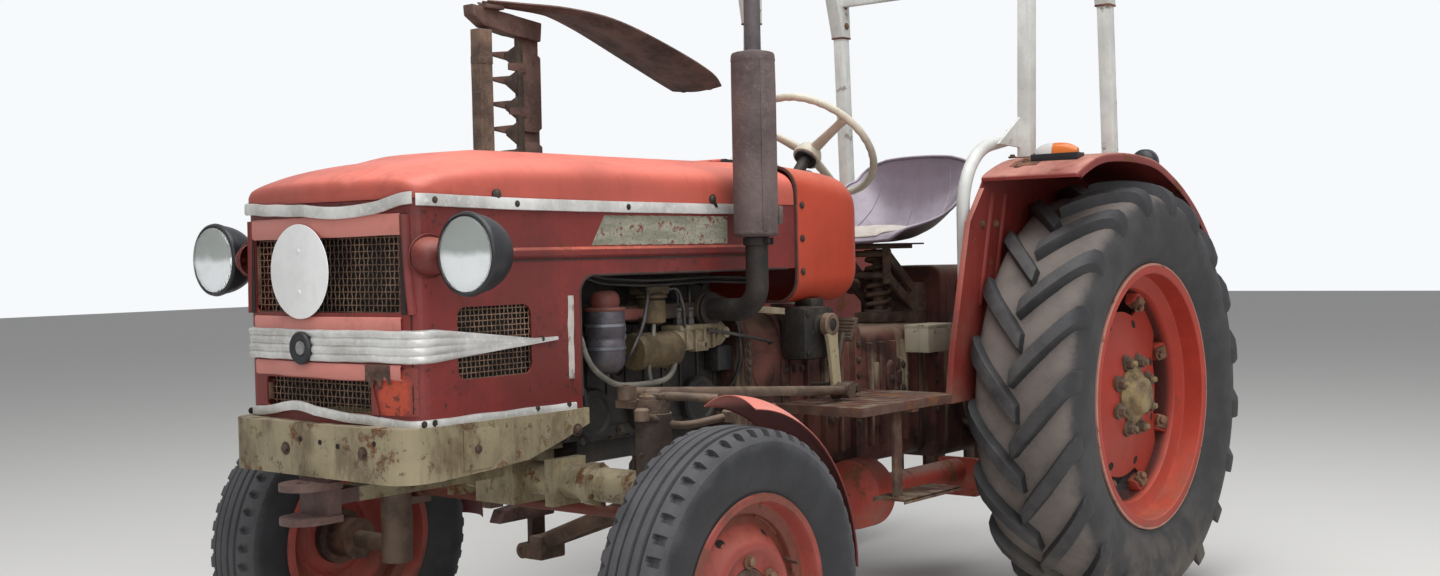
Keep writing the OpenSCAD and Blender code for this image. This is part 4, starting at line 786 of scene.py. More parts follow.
# A bent cheek beside the lower grille, bare orange where it was rubbed, under a torn and rusty corner.
# Its edge by the grille slants like the window's other end.
cheek_paint = Finish("cheek_paint")
rubbed = (cheek_paint.x - 0.215) ** 2 * 1.8 + (cheek_paint.z - 0.795) ** 2 * 0.9
rubbed = cheek_paint.mask(rubbed.math("SQRT") + cheek_paint.noise(38, 5, 0.65) * 0.06, 0.098, 0.066)
scars = cheek_paint.mask(cheek_paint.noise(60, 6, 0.7, shift=(2, 0, 4)), 0.56, 0.62)
cheek_tone = cheek_paint.mix(rubbed, (0.215, 0.036, 0.028), (0.52, 0.072, 0.032))
cheek_paint.set(Base_Color=cheek_paint.mix(scars * 0.85, cheek_tone, (0.085, 0.035, 0.024)),
                Roughness=scars * 0.3 + 0.5)
cheek_paint.set(Normal=cheek_paint.bump(scars * -0.4 + rubbed * 0.3, 0.0008))
rust_patch = bare("rust_patch", (0.050, 0.026, 0.020), (0.15, 0.085, 0.062), grime=0.25, rough=0.85,
                  metal=0.1, size=0.3)


def nose_sheet(bm, columns, out, seed):
    """A dented sheet on the nose's front through columns of (x, low z, high z), of which the first slants."""
    rows = []
    for i, (x, low, high) in enumerate(columns):
        row = []
        for k in range(9):
            slant = 0.028 * (1 - k / 8) if i == 0 else 0.0
            dent = 0.0012 * noise.noise((x * 40, k * 0.9, seed))
            row.append(at(x + slant, nose_front(x, out + dent), low + (high - low) * k / 8))
        rows.append(row)
    skin(bm, rows)


bm = bmesh.new()
nose_sheet(bm, [(0.150 + 0.0045 * i, 0.757, 0.850 - 0.003 * math.sin(i * 0.7)) for i in range(28)],
           0.0025, 3.0)
made("cheek", bm, cheek_paint, wall=0.002, sharp=60)
bm = bmesh.new()
torn = [(0.142 + 0.0035 * i, 0.818 + 0.010 * math.sin(i * 0.9) + 0.010 * (i / 20) ** 2,
         0.8565 - 0.0016 * math.sin(i * 1.7)) for i in range(21)]
nose_sheet(bm, torn, 0.0085, 9.0)
made("torn_corner", bm, rust_patch, wall=0.0015, sharp=60)


# The grilles: square mesh woven from rusty wire, in two windows ahead and one on each side.
# Each wire waves over and under those it crosses.
mesh_steel = bare("mesh_steel", (0.080, 0.045, 0.030), (0.300, 0.185, 0.120), grime=0.2, metal=0.2, size=0.4)


def weave_tree():
    t = Shapes("woven_wire", Width=0.4, Height=0.2, Pitch=0.0135, Wire=0.0012)
    width, height, pitch, wire = [t.given(name) for name in ("Width", "Height", "Pitch", "Wire")]
    both = []
    for along, across, turn in ((width, height, 0.0), (height, width, math.pi / 2)):
        count = (across / pitch).math("FLOOR")
        line = t.node("GeometryNodeCurvePrimitiveLine", {},
                      Start=t.node("ShaderNodeCombineXYZ", {}, X=along * -0.5),
                      End=t.node("ShaderNodeCombineXYZ", {}, X=along * 0.5))
        steps = (along / pitch * 4).math("ROUND")
        line = t.node("GeometryNodeResampleCurve", {}, Curve=line, Count=steps)
        bars = t.node("GeometryNodeMeshLine", {}, Count=count,
                      Start_Location=t.node("ShaderNodeCombineXYZ", {}, Y=across * -0.5 + pitch * 0.5),
                      Offset=t.node("ShaderNodeCombineXYZ", {}, Y=pitch))
        spread = t.node("GeometryNodeInstanceOnPoints", {}, Points=bars, Instance=line)
        spread = t.node("GeometryNodeRealizeInstances", {}, spread)
        spot = t.node("GeometryNodeInputPosition")
        x, y = [t.node("ShaderNodeSeparateXYZ", {}, spot, output=k) for k in (0, 1)]
        row = ((y + across * 0.5) / pitch).math("FLOOR")
        phase = x / pitch * math.pi + row * math.pi + turn * 2
        height_of = phase.math("SINE") * wire
        spread = t.node("GeometryNodeSetPosition", {}, Geometry=spread,
                        Offset=t.node("ShaderNodeCombineXYZ", {}, Z=height_of))
        round_wire = t.node("GeometryNodeCurvePrimitiveCircle", {}, Resolution=5, Radius=wire)
        tube = t.node("GeometryNodeCurveToMesh", {}, Curve=spread, Profile_Curve=round_wire, Fill_Caps=True)
        both.append(t.node("GeometryNodeTransform", {}, Geometry=tube, Rotation=(0, 0, turn)))
    joined = t.node("GeometryNodeJoinGeometry", {}, both[0])
    t.nodes.links.new(both[1].socket, joined.socket.node.inputs[0])
    return t.end(joined)


weave = weave_tree()


def placed(piece, matrix):
    """Moves a grown piece's mesh to its place, so that its object stays at the origin."""
    piece.data.transform(matrix)
    return piece


def facing_to(centre, right_way, up_way):
    """A matrix that puts a flat XY shape at centre with its X and Y along two ways."""
    right_way, up_way = Vector(right_way).normalized(), Vector(up_way).normalized()
    turn = Matrix((right_way, up_way, right_way.cross(up_way))).transposed().to_4x4()
    return Matrix.Translation(centre) @ turn


def side_block(bm, s, near, far, low, high, bevel):
    """A box beside the middle: x from near to far on the left or mirrored, (y, z) from low to high."""
    x0, x1 = sorted((s * near, s * far))
    block(bm, at(x0, *low), at(x1, *high), bevel)


for name, half, z0, z1 in (("upper_mesh", 0.243, 0.952, 1.118), ("lower_mesh", 0.209, 0.751, 0.828)):
    placed(weave.grow(name, [(0, 0, 0)], mesh_steel, slot="mesh_steel", Width=2 * half, Height=z1 - z0),
           facing_to(at(0, nose_y + 0.020, (z0 + z1) / 2), (1, 0, 0), (0, 0, 1)))
for name, s in (("side_mesh_left", 1), ("side_mesh_right", -1)):
    placed(weave.grow(name, [(0, 0, 0)], mesh_steel, slot="mesh_steel", Width=0.212, Height=0.155,
                      Pitch=0.0115),
           facing_to(at(s * (half_w - 0.0075), -0.199, 0.8925), (0, s, 0), (0, 0, 1)))
bm = bmesh.new()
for half, z0, z1 in ((0.238, 0.958, 1.112), (0.205, 0.757, 0.822)):
    for s in (1, -1):
        side_block(bm, s, half, half + 0.007, (nose_front(half) + 0.0045, z0 + 0.014),
                   (nose_y + 0.024, z1 - 0.014), 0.001)
made("mesh_frames", bm, mesh_steel, replaces=["grille_mesh"])
# a black sheet behind the wire and black blocks beside it: painted shade where the radiator core and its cowl
# lie in the dark
bm = bmesh.new()
block(bm, at(-0.232, nose_y + 0.045, 0.762), at(0.232, nose_y + 0.060, 1.110), 0.004)
for s in (1, -1):
    side_block(bm, s, 0.256, 0.262, (-0.300, 0.815), (-0.095, 0.970), 0.002)
made("grille_shade_sheet", bm, painted_shade_fill)

# Side panels: the pressed bead runs on to the headlamp, with a thin dark strip of painted shade below it.
# The engine's opening has a rolled lip, dark as painted shade, that rounds its upper front corner.
painted_shade_line = bare("painted_shade_line", (0.020, 0.010, 0.009), (0.050, 0.022, 0.018), grime=0.2, rough=0.8, metal=0.0)
bead_z, opening_y, opening_z = belt_z - 0.110, 0.050, belt_z - 0.160
bm_bead, bm_bead_shade, bm_corner, bm_lip = [bmesh.new() for _ in range(4)]
for s in (1, -1):
    rows = []
    for i in range(24):
        y = -0.172 + (opening_y + 0.172) * i / 23
        size = min(1.0, 0.02 + i / 3)
        rows.append([at(s * (half_w + out * size), y, bead_z + z * size)
                     for out, z in ((0.0001, 0.0120), (0.0062, 0.0068), (0.0070, 0.0050),
                                    (0.0070, -0.0050), (0.0062, -0.0068), (0.0001, -0.0120))])
    skin(bm_bead, rows)
    for y0, y1 in ((-0.168, 0.048), (0.052, 0.690)):
        side_block(bm_bead_shade, s, half_w + 0.0001, half_w + 0.0014, (y0, bead_z - 0.0165),
                   (y1, bead_z - 0.0122), 0.0)
    arc = [(opening_y + 0.042 - 0.042 * math.cos(a), opening_z - 0.042 + 0.042 * math.sin(a))
           for a in (math.pi / 2 * k / 10 for k in range(11))]
    plate(bm_corner,
          [at(s * (half_w - 0.0016), y, z) for y, z in [(opening_y - 0.0004, opening_z + 0.0010)] + arc],
          (s, 0, 0), 0.0014)
    lip = [at(s * (half_w - 0.0015), opening_y, 0.760), at(s * (half_w - 0.0015), opening_y, 0.900)]
    lip += [at(s * (half_w - 0.0015), y, z) for y, z in arc] + [at(s * (half_w - 0.0015), y, opening_z)
        for y in (0.20, 0.40, 0.60, 0.800)]
    pipe(bm_lip, lip, 0.0032, 10)
made("panel_bead", bm_bead, body_paint, wall=0.001)
made("bead_shade", bm_bead_shade, painted_shade_line)
made("opening_corner", bm_corner, body_paint)
made("opening_lip", bm_lip, painted_shade_line, sharp=60)

# A worn patch on the bonnet's side: a slanted band of grey-green film, mostly gone, with torn edges.
film = Finish("film")
wear = film.noise(46, 6, 0.72)
streak = film.noise(26, 4, 0.65, stretch=(1, 0.35, 2.2), shift=(2, 5, 1))
gone = film.mask(wear + streak * 0.45, 0.79, 0.85)
film_tone = film.mix(film.mask(streak, 0.35, 0.65), (0.20, 0.205, 0.150), (0.33, 0.325, 0.255))
film_tone = film.mix(film.mask(film.noise(120, 4, 0.7), 0.45, 0.75) * 0.6, film_tone, (0.110, 0.075, 0.055))
film.set(Base_Color=film.mix(gone, film_tone, (0.170, 0.040, 0.030)), Roughness=gone * -0.15 + 0.72)
film.set(Normal=film.bump(wear * 0.6 - gone * 0.5, 0.0006))
bm = bmesh.new()
for s in (1, -1):
    rows = []
    for i in range(61):
        t = i / 60
        low, high = (0.088 + 0.470 * t, bead_z + 0.0150), (0.130 + 0.430 * t, belt_z - 0.030)
        tear = 0.0030 * noise.noise(Vector((t * 26, s * 3, 1.0)))
        wide, tall = high[0] - low[0], high[1] - low[1] - tear * 1.6
        rows.append([at(s * (half_w + 0.0004), low[0] + wide * k / 4, low[1] + tear + tall * k / 4)
                     for k in range(5)])
    skin(bm, rows)
made("worn_patch", bm, film, wall=0.0004)

# Front mudguards: one curved sheet each from over the wheel to behind it, faded pink, with edges rolled
# over a wire. A flat stay and a bent rod hold it to the top of the knuckle, so that it turns with the
# wheel.
def hose(bm, points, corner, steps, r, sides):
    """A pipe through points (x, y, z) with its corners rounded."""
    pipe(bm, bend([at(*p) for p in points], corner, steps), r, sides)


guard_pink = enamel("guard_pink", (0.150, 0.028, 0.024), lit_faded_top=(0.74, 0.27, 0.22), rust=0.28, chips=0.6,
                    dust=0.35, gloss=0.5, size=0.7, dust_top=0.6)
# the crown over the wheel turns pale pink in patches: sun-faded paint together with a painted top light
crown = guard_pink.mask(guard_pink.z, 0.728, 0.752)
crown = crown * guard_pink.mask(guard_pink.noise(14, 5, 0.6, shift=(6, 2, 2)), 0.30, 0.42)
painted = guard_pink.colour()
guard_pink.set(Base_Color=guard_pink.mix(crown * 0.85, painted, (0.66, 0.215, 0.170)))
for name, s in (("left", 1), ("right", -1)):
    hub = at(s * 0.615, axle_y, 0.355)
    bm = bmesh.new()
    section = [(-0.0665, 0.3885), (-0.0685, 0.3890), (-0.0697, 0.3905), (-0.0685, 0.3925)] + [
        (0.066 * u, 0.3925 + 0.0243 * (1 - abs(u) ** 2.1)) for u in (k / 10 - 1 for k in range(21))] + [
        (0.0685, 0.3925), (0.0697, 0.3905), (0.0685, 0.3890), (0.0665, 0.3885)]
    rows = []
    for k in range(73):
        a = math.radians(0.4 + 85.2 * k / 72)
        dent = 0.0020 * noise.noise(Vector((k * 0.11, s, 4.0)))
        row = []
        for x, r in section:
            inside = r - 0.0022 + dent * (1 - abs(x) / 0.08)
            row.append(hub + Vector((s * x, inside * math.cos(a), inside * math.sin(a))))
        rows.append(row)
    skin(bm, rows)
    made(f"mudguard_{name}", bm, guard_pink, f"knuckle_{name}",
         replaces=[f"front_fender_{name}"], wall=0.0016, sharp=60)
    bm = bmesh.new()
    side_block(bm, s, 0.4065, 0.4655, (0.0925, 0.7560), (0.1335, 0.7672), 0.002)
    hose(bm, [(s * 0.4600, 0.114, 0.7616), (s * 0.500, 0.128, 0.7610), (s * 0.5590, 0.170, 0.7560)], 0.02,
         5, 0.0095, 16)
    turned(bm, at(s * kingpin_x, 0.113, 0.7668), (0, 0, 1),
           [(0.0150, -0.001), (0.0150, 0.0004), (0.0120, 0.0006), (0, 0.0008)], 6)
    arm = bend([at(s * 0.452, 0.050, 0.7270), at(s * 0.463, 0.140, 0.6965), at(s * 0.478, 0.185, 0.6960),
                at(s * 0.512, 0.262, 0.7080)], 0.03, 6)
    pipe(bm, arm, 0.0085, 12)
    for p, r in ((arm[0], 0.016), (arm[-1], 0.014)):
        turned(bm, p + Vector((0, 0, -0.012)), (0, 0, 1),
               [(r, 0), (r, 0.022), (r * 0.7, 0.026), (0, 0.027)], 20)
    made(f"mudguard_stay_{name}", bm, brown_forging, f"knuckle_{name}", sharp=40)
    marks = [(math.radians(68), 0.020), (math.radians(68), -0.020), (math.radians(56), 0.020),
             (math.radians(56), -0.020)]
    bolts.grow(f"mudguard_bolts_{name}",
               [hub + Vector((s * x, 0.4125 * math.cos(a), 0.4125 * math.sin(a))) for a, x in marks],
               rusty_bolt, f"knuckle_{name}", slot="body_red",
               facing=[(0, math.cos(a), math.sin(a)) for a, x in marks], Radius=0.0055, Height=0.0028)

# Bright trim: thin aluminium strips screwed round the seam and the lower edge, bent and dull.
# The ribbed band across the nose narrows to a spear on each side and carries a plain round badge.
trim_metal = bare("trim_metal", (0.50, 0.49, 0.465), (0.80, 0.795, 0.775), grime=0.12, rough=0.42,
                  metal=0.35, depth=0.0005)
trim_screw = bare("trim_screw", (0.02, 0.014, 0.012), (0.07, 0.045, 0.035), grime=0.3, rough=0.6,
                  metal=0.3, size=0.4)


def round_nose(out, y_end, step=0.006):
    """Points (x, y) of the nose's outline, moved outwards, from the middle by the left side to y_end."""
    r, c = corner_r, half_w - corner_r
    route = [(x, nose_y - 0.012 + 0.022 * x / c - out) for x in (c * i / 30 for i in range(30))]
    for i in range(13):
        a = math.radians(-80 + 80 * i / 12)
        route.append((c + (r + out) * math.cos(a), nose_y + 0.050 + (r + out) * math.sin(a)))
    y = nose_y + 0.050 + step
    while y < y_end:
        route.append((half_w + out, y))
        y += 0.030
    route.append((half_w + out, y_end))
    return route


def both_ways(route):
    """The same route from the right end round to the left end."""
    return [(-x, y) for x, y in route[:0:-1]] + route


def outwards(route, i):
    """The level direction square to a route at its point i, away from the tractor."""
    a, b = route[max(i - 1, 0)], route[min(i + 1, len(route) - 1)]
    way = Vector((b[0] - a[0], b[1] - a[1])).normalized()
    return Vector((way.y, -way.x))


def strip(bm, route, section, shift):
    """Sweeps a section of (out, z) along a level route; shift(x, y) returns how far it is bent out and up."""
    rows = []
    for i, (x, y) in enumerate(route):
        way = outwards(route, i)
        push, lift = shift(x, y)
        rows.append([at(x + way.x * (out + push), y + way.y * (out + push), z + lift) for out, z in section])
    loft(bm, rows)


def crumple(x, y, size, seed):
    return noise.noise((x * 14, y * 14, seed)) * size


bm = bmesh.new()
flat = [(0.0, -0.0125), (0.0045, -0.0115), (0.0055, -0.006), (0.0055, 0.006), (0.0045, 0.0115), (0.0, 0.0125)]
upper_z = belt_z - 0.013


def upper_bend(x, y):
    front = max(0.0, 1 - abs(y - nose_y) / 0.05)
    dip = -0.010 * math.exp(-((x - 0.075) / 0.10)**2) * front
    kick = 0.0155 * math.exp(-((x - 0.285) / 0.070)**2) * (1 if y < nose_y + 0.07 else 0)
    kick += 0.010 * math.exp(-((x + 0.285) / 0.130)**2) * (1 if y < nose_y + 0.07 else 0)
    proud = 0.0052 * max(0.0, min(1.0, (nose_y + 0.050 - y) / 0.02))
    push = 0.0006 + proud + abs(crumple(x, y, 0.003 if front else 0.0008, 2.0))
    return push, upper_z + dip + kick + crumple(x, y, 0.0022 if front else 0.0006, 5.0)


def side_lift(y):
    return 0.0125 * math.exp(-max(0.0, y - nose_y) / 0.30)


def side_bend(x, y):
    lift = side_lift(y)
    return 0.0006 + 0.0052 * min(1.0, lift / 0.003), upper_z + lift + crumple(x, y, 0.0006, 9.0)


seam = round_nose(0.0, 0.632)
corner = 36
strip(bm, both_ways(seam[:corner]), flat, upper_bend)
strip(bm, seam[corner:], flat, side_bend)
strip(bm, [(-x, y) for x, y in seam[:corner - 1:-1]], flat, side_bend)


def lower_bend(x, y):
    front = max(0.0, 1 - abs(y - nose_y) / 0.06)
    rise = 0.024 * math.exp(-((x + 0.060) / 0.105)**2) * front
    drop = -0.007 * math.exp(-((x - 0.255) / 0.07)**2)
    push = 0.0006 + 0.012 * math.exp(-((x + 0.05) / 0.12)**2) * front
    return push, 0.7455 + rise + drop + crumple(x, y, 0.0016, 4.0)


low_flat = [(out, z * 0.8) for out, z in flat]
strip(bm, both_ways(round_nose(0.0, 0.026)), low_flat, lower_bend)
made("edge_strips", bm, trim_metal, sharp=40)

# The ribbed band: five pressed flutes that crowd together towards the spear's point.
bm = bmesh.new()
route = both_ways(round_nose(0.0, -0.026))
rows = []
for i, (x, y) in enumerate(route):
    way = outwards(route, i)
    t = max(0.0, (y - (nose_y + 0.055)) / (-0.026 - nose_y - 0.055))
    z0, z1 = 0.859 + (0.886 - 0.859) * t, 0.925 + (0.893 - 0.925) * min(1.0, t * 1.25)
    flute = 0.0042 * max(0.06, 1 - 4.2 * t)
    row = []
    for k in range(29):
        u = k / 28
        dent = crumple(x, y, 0.0035, 1.0 + 2.2 * u) * (1 - t)
        out = 0.0002 if k in (0, 28) else 0.0062 + flute * abs(math.sin(u * math.pi * 4)) ** 0.7 + dent
        row.append(at(x + way.x * out, y + way.y * out,
                      z0 + (z1 - z0) * u + crumple(x, y, 0.003, 7.0) * (1 - t)))
    rows.append(row)
skin(bm, rows)
made("ribbed_band", bm, trim_metal, wall=0.0012, offset=-1.0, sharp=70)
lamp_black = enamel("lamp_black", (0.016, 0.017, 0.020), rust=0.0, chips=0.2, dust=0.2, gloss=0.35)
badge_middle = at(-0.042, nose_y - 0.0115, 0.886)
bm = bmesh.new()
turned(bm, badge_middle, ahead,
       [(0.033, -0.002), (0.034, 0.013), (0.031, 0.017), (0.022, 0.0165), (0.017, 0.0125), (0, 0.0125)],
       48)
made("badge_ring", bm, lamp_black)
bm = bmesh.new()
turned(bm, badge_middle, ahead,
       [(0.0150, 0.0120), (0.0140, 0.0145), (0.0110, 0.0150), (0.0070, 0.0140), (0, 0.0140)], 48)
badge_grey = bare("badge_grey", (0.16, 0.16, 0.17), (0.42, 0.42, 0.42), grime=0.2, rough=0.4, metal=0.6,
                  size=0.4)
made("badge_plain", bm, badge_grey, replaces=["bright_trim"])
screws = [at(s * (half_w + 0.0055 + side_bend(half_w, y)[0]), y, upper_z + side_lift(y)) for s in (1, -1)
          for y in (nose_y + 0.056, -0.140, 0.200, 0.600)]
screws += [at(s * (half_w + 0.0055), y, z) for s in (1, -1) for y, z in (
    (-0.394, 0.742), (-0.367, 0.742), (-0.090, 0.7455), (0.003, 0.7455))]
screws += [at(s * (half_w + 0.004), y, 0.8895) for s in (1, -1) for y in (-0.330, -0.070)]
bolts.grow("trim_screws", screws, trim_screw, slot="trim_aluminium",
           facing=[(1 if p.x > 0 else -1, 0, 0) for p in screws], Radius=0.0048, Height=0.0022)

# A pale, worn rubber strip down the rear edge of each nose side, where the engine's opening starts.
pale_strip = enamel("pale_strip", (0.52, 0.48, 0.44), rust=0.25, chips=0.9, dust=0.3, gloss=0.7, size=0.3)
bm = bmesh.new()
for s in (1, -1):
    rows = []
    for i in range(19):
        z = 0.800 + 0.178 * i / 18
        y = 0.018 + 0.003 * noise.noise((z * 12, 0, s))
        w = 0.0085 + 0.003 * noise.noise((z * 30, 2, s))
        rows.append([at(s * (half_w + 0.0005), y - w, z), at(s * (half_w + 0.0028), y - w * 0.8, z),
                     at(s * (half_w + 0.0028), y + w * 0.8, z), at(s * (half_w + 0.0005), y + w, z)])
    skin(bm, rows)
made("opening_strips", bm, pale_strip, wall=0.0008)

# The flat round plate in front of the upper grille: white enamel on sheet steel, held by two stays.
white_enamel = enamel("white_enamel", (0.96, 0.96, 0.955), rust=0.0, chips=0.0, dust=0.02, gloss=0.3)
bm = bmesh.new()
plate_middle = at(-0.045, nose_y - 0.0180, 1.042)
turned(bm, plate_middle, ahead,
       [(0.0930, 0.0004), (0.0960, 0.0004), (0.0970, 0.0014), (0.0962, 0.0026), (0.0940, 0.0030)], 96)
for z in (-0.042, 0.042):
    turned(bm, plate_middle + Vector((0, 0, z)), ahead,
           [(0.0048, 0.0031), (0.0048, 0.0042), (0.0030, 0.0046)], 20)
    pipe(bm, [plate_middle + Vector((0, 0, z)), plate_middle + Vector((0, 0.036, z))], 0.0045, 12)
made("blank_plate", bm, white_enamel, replaces=["number_disc"], sharp=40)

# Headlamps: black pressed bowls on round red bosses, a bright reflector and a clear fluted lens in a
# black rim. The glass bulges a little and is dusty, and the bulb's cap shows through it.
dress(lamp_black, "lamp_bodies")
lamp_x, lamp_z, lamp_r = 0.415, 1.070, 0.078
# the reflector's colour is a painted reflection: grey-green in its upper half and near white in its lower
# half
reflector = Finish("reflector")
painted_reflection = reflector.mask(reflector.z + reflector.noise(30, 3, 0.5) * 0.02, 1.090, 1.070)
reflector.set(Base_Color=reflector.mix(painted_reflection, (0.30, 0.33, 0.30), (0.95, 0.96, 0.97)), Metallic=0.25,
              Roughness=0.35)
lens_glass = Finish("lens_glass")
flutes = (lens_glass.x * 520).math("SINE")
cloud = lens_glass.noise(38, 4, 0.6)
lens_glass.set(Base_Color=lens_glass.mix(lens_glass.mask(cloud, 0.5, 0.8) * 0.35, (0.97, 0.98, 0.98),
                                         (0.78, 0.78, 0.74)),
               Roughness=lens_glass.mask(cloud, 0.5, 0.8) * 0.12 + 0.03)
lens_glass.set(Normal=lens_glass.bump(flutes * 0.5 + cloud * 0.1, 0.0004, 0.35), Transmission_Weight=0.93,
               IOR=1.18)
bm_lens, bm_bowl, bm_rim, bm_mirror = [bmesh.new() for _ in range(4)]
for s in (1, -1):
    centre = at(s * lamp_x, nose_y + 0.030, lamp_z)
    face = centre + Vector((0, -0.0083, 0))
    bulge = [((lamp_r - 0.0065) * math.cos(a), 0.002 + 0.0165 * math.sin(a))
             for a in (math.pi / 2 * i / 9 for i in range(1, 10))]
    turned(bm_lens, face, ahead,
           [(0, 0.0), (lamp_r - 0.0075, 0.0), (lamp_r - 0.0065, 0.002)] + bulge, 72)
    # bowl with a rolled bead and a small seam at its back
    quarter = [math.pi / 2 * i / 14 for i in range(15)]
    outer = [((lamp_r - 0.001) * math.cos(a), -0.002 - (lamp_r + 0.010) * math.sin(a)) for a in quarter]
    inner = [((lamp_r - 0.005) * math.cos(a), -0.002 - (lamp_r + 0.006) * math.sin(a)) for a in quarter]
    turned(bm_bowl, centre, ahead,
           inner[::-1] + [(lamp_r - 0.005, 0.004), (lamp_r - 0.001, 0.004)] + outer, 72)
    turned(bm_rim, centre, ahead,
           [(lamp_r - 0.007, 0.0055), (lamp_r - 0.003, 0.011), (lamp_r + 0.0015, 0.009),
            (lamp_r + 0.003, 0.003), (lamp_r + 0.001, -0.005), (lamp_r - 0.001, -0.004),
            (lamp_r + 0.0005, 0.003), (lamp_r - 0.004, 0.0045)], 72, closed=True)
    turned(bm_mirror, centre, ahead,
           [(lamp_r - 0.009, 0.0045), (lamp_r - 0.010, 0.001), (0.055, -0.020), (0.035, -0.036),
            (0.014, -0.044), (0.010, -0.034), (0.009, -0.026), (0, -0.024), (0, -0.046), (0.036, -0.040),
            (0.058, -0.023), (lamp_r - 0.007, 0.0)], 56)
made("lamp_lenses", bm_lens, lens_glass, replaces=["headlamp_glass"], sharp=60)
made("lamp_bowls", bm_bowl, lamp_black, sharp=50)
made("lamp_rims", bm_rim, lamp_black, sharp=60)
made("lamp_mirrors", bm_mirror, reflector, sharp=60)

# Each lamp's red boss: a long pod on the panel with a raised ring, a pinch bolt and a stay to the bowl.
half_turn = [math.radians(-90 + 15 * k) for k in range(13)]
bm = bmesh.new()
for s in (1, -1):
    rows = []
    for k in range(13):
        a = math.pi * k / 12
        y, r = nose_y + 0.046 - 0.045 * math.cos(a), 0.036 * math.sin(a) ** 0.8
        rows.append([at(s * (half_w + 0.002 + (0.006 + r * 1.05) * max(0.0, math.cos(b))), y,
                        1.068 + max(r, 0.0005) * 1.05 * math.sin(b)) for b in half_turn])
    skin(bm, rows)
    boss = at(s * (half_w + 0.030), nose_y + 0.070, 1.068)
    pipe(bm, [boss, boss + Vector((s * 0.020, -0.001, 0.001)), at(s * 0.352, nose_y + 0.080, 1.070)],
         0.016, 20)
boss_paint = enamel("boss_paint", (0.150, 0.026, 0.022), lit_faded_top=(0.30, 0.085, 0.062), rust=0.25, chips=0.6,
                    dust=0.5, size=0.5)
made("lamp_bosses", bm, boss_paint, sharp=50)
bm = bmesh.new()
for s in (1, -1):
    ring = [at(s * (half_w + 0.0030), nose_y + 0.046 - 0.051 * math.cos(a), 1.068 + 0.043 * math.sin(a))
            for a in (math.tau * k / 40 for k in range(41))]
    pipe(bm, ring, 0.0013, 8)
    turned(bm, at(s * (half_w + 0.036), nose_y + 0.030, 1.068), (s, 0, 0),
           [(0.006, -0.004), (0.006, 0.0035), (0.004, 0.0045), (0, 0.0046)], 6)
made("boss_rings", bm, boss_paint, sharp=50)

# Marker lamps on the fenders: a dark base, a clear half and an orange half; a dark red tail lamp stands
# behind. They are placed by the height of the fender's cover, from its outline over the rear wheel.
side_lamp_glass = Finish("side_lamp_glass")
side_lamp_glass.set(Base_Color=(0.80, 0.80, 0.78), Roughness=0.18, Transmission_Weight=0.35)
orange_lens = Finish("orange_lens")
orange_lens.set(Base_Color=(0.62, 0.15, 0.02), Roughness=0.22)
red_lens = Finish("red_lens")
red_lens.set(Base_Color=(0.11, 0.008, 0.008), Roughness=0.2)
cover_line = [(-0.452, 1.245), (-0.444, 1.262), (-0.370, 1.292), (-0.290, 1.312), (-0.190, 1.320),
              (-0.060, 1.318), (0.050, 1.306), (0.150, 1.276), (0.260, 1.228), (0.360, 1.165),
              (0.445, 1.092), (0.510, 1.020)]
rear_y, rear_z = 1.890, 0.625


def cover_z(y):
    """Height of the rear fender's cover at y."""
    y -= rear_y
    for (a, za), (b, zb) in zip(cover_line, cover_line[1:]):
        if a <= y <= b:
            return za + (zb - za) * (y - a) / (b - a)
    return cover_line[0][1] if y < 0 else cover_line[-1][1]


def side_plate(bm, x, outline, thickness, bevel=0.0):
    """An outline of points (y, z) at x, pushed to the left."""
    plate(bm, [at(x, y, z) for y, z in outline], (1, 0, 0), thickness, bevel)


marker_y, tail_y = rear_y - 0.330, rear_y + 0.250
bm_base, bm_clear, bm_orange, bm_red, bm_foot = [bmesh.new() for _ in range(5)]
for s in (1, -1):
    z = cover_z(marker_y + 0.023) + 0.008
    x0, x1 = sorted((s * 0.578, s * 0.718))
    foot = [(y, cover_z(y) + 0.0003) for y in (marker_y - 0.023, marker_y, marker_y + 0.023)]
    foot += [(marker_y + 0.023, z + 0.001), (marker_y - 0.023, z + 0.001)]
    side_plate(bm_base, x0, foot, x1 - x0, 0.0015)
    for target, a, b, end in ((bm_clear, 0.586, 0.6395, 0.55), (bm_orange, 0.6405, 0.710, 0.45)):
        rows = []
        for k in range(9):
            t = k / 8
            size = 1.0 - (1 - end) * ((1 - t) ** 3 if target is bm_clear else t ** 3)
            rows.append([at(s * (a + (b - a) * t), marker_y + 0.0185 * size * math.cos(c),
                            z + 0.0010 + 0.0300 * size * math.sin(c))
                         for c in (math.pi * i / 12 for i in range(13))])
        loft(target, rows)
    tail = at(s * 0.640, tail_y - 0.010, cover_z(tail_y) + 0.078)
    turned(bm_red, tail, backwards, [(0.037, 0.026), (0.036, 0.037), (0.026, 0.044), (0, 0.047)], 40)
    turned(bm_foot, tail, backwards,
           [(0, -0.004), (0.020, -0.003), (0.036, 0.004), (0.041, 0.014), (0.042, 0.034), (0.038, 0.038),
            (0.037, 0.030)], 40)
    foot = [(y, cover_z(y) + 0.0003) for y in (tail_y - 0.008, tail_y + 0.008)]
    foot += [(y, cover_z(tail_y) + 0.046) for y in (tail_y + 0.008, tail_y - 0.008)]
    side_plate(bm_foot, s * 0.640 - 0.012, foot, 0.024, 0.001)
made("marker_bases", bm_base, lamp_black)
made("marker_clear", bm_clear, side_lamp_glass)
made("marker_orange", bm_orange, orange_lens)
made("tail_glasses", bm_red, red_lens, sharp=60)
made("tail_cases", bm_foot, lamp_black, sharp=50, replaces=["lamp_bodies"])

# Front tyres: a worn implement pattern with three ribs round the middle and stepped notches along the
# shoulders. The walls are smooth black rubber, dusty near the tread, with a bead line by the rim.
front_x, front_r, rear_x = 0.640, 0.355, 0.650


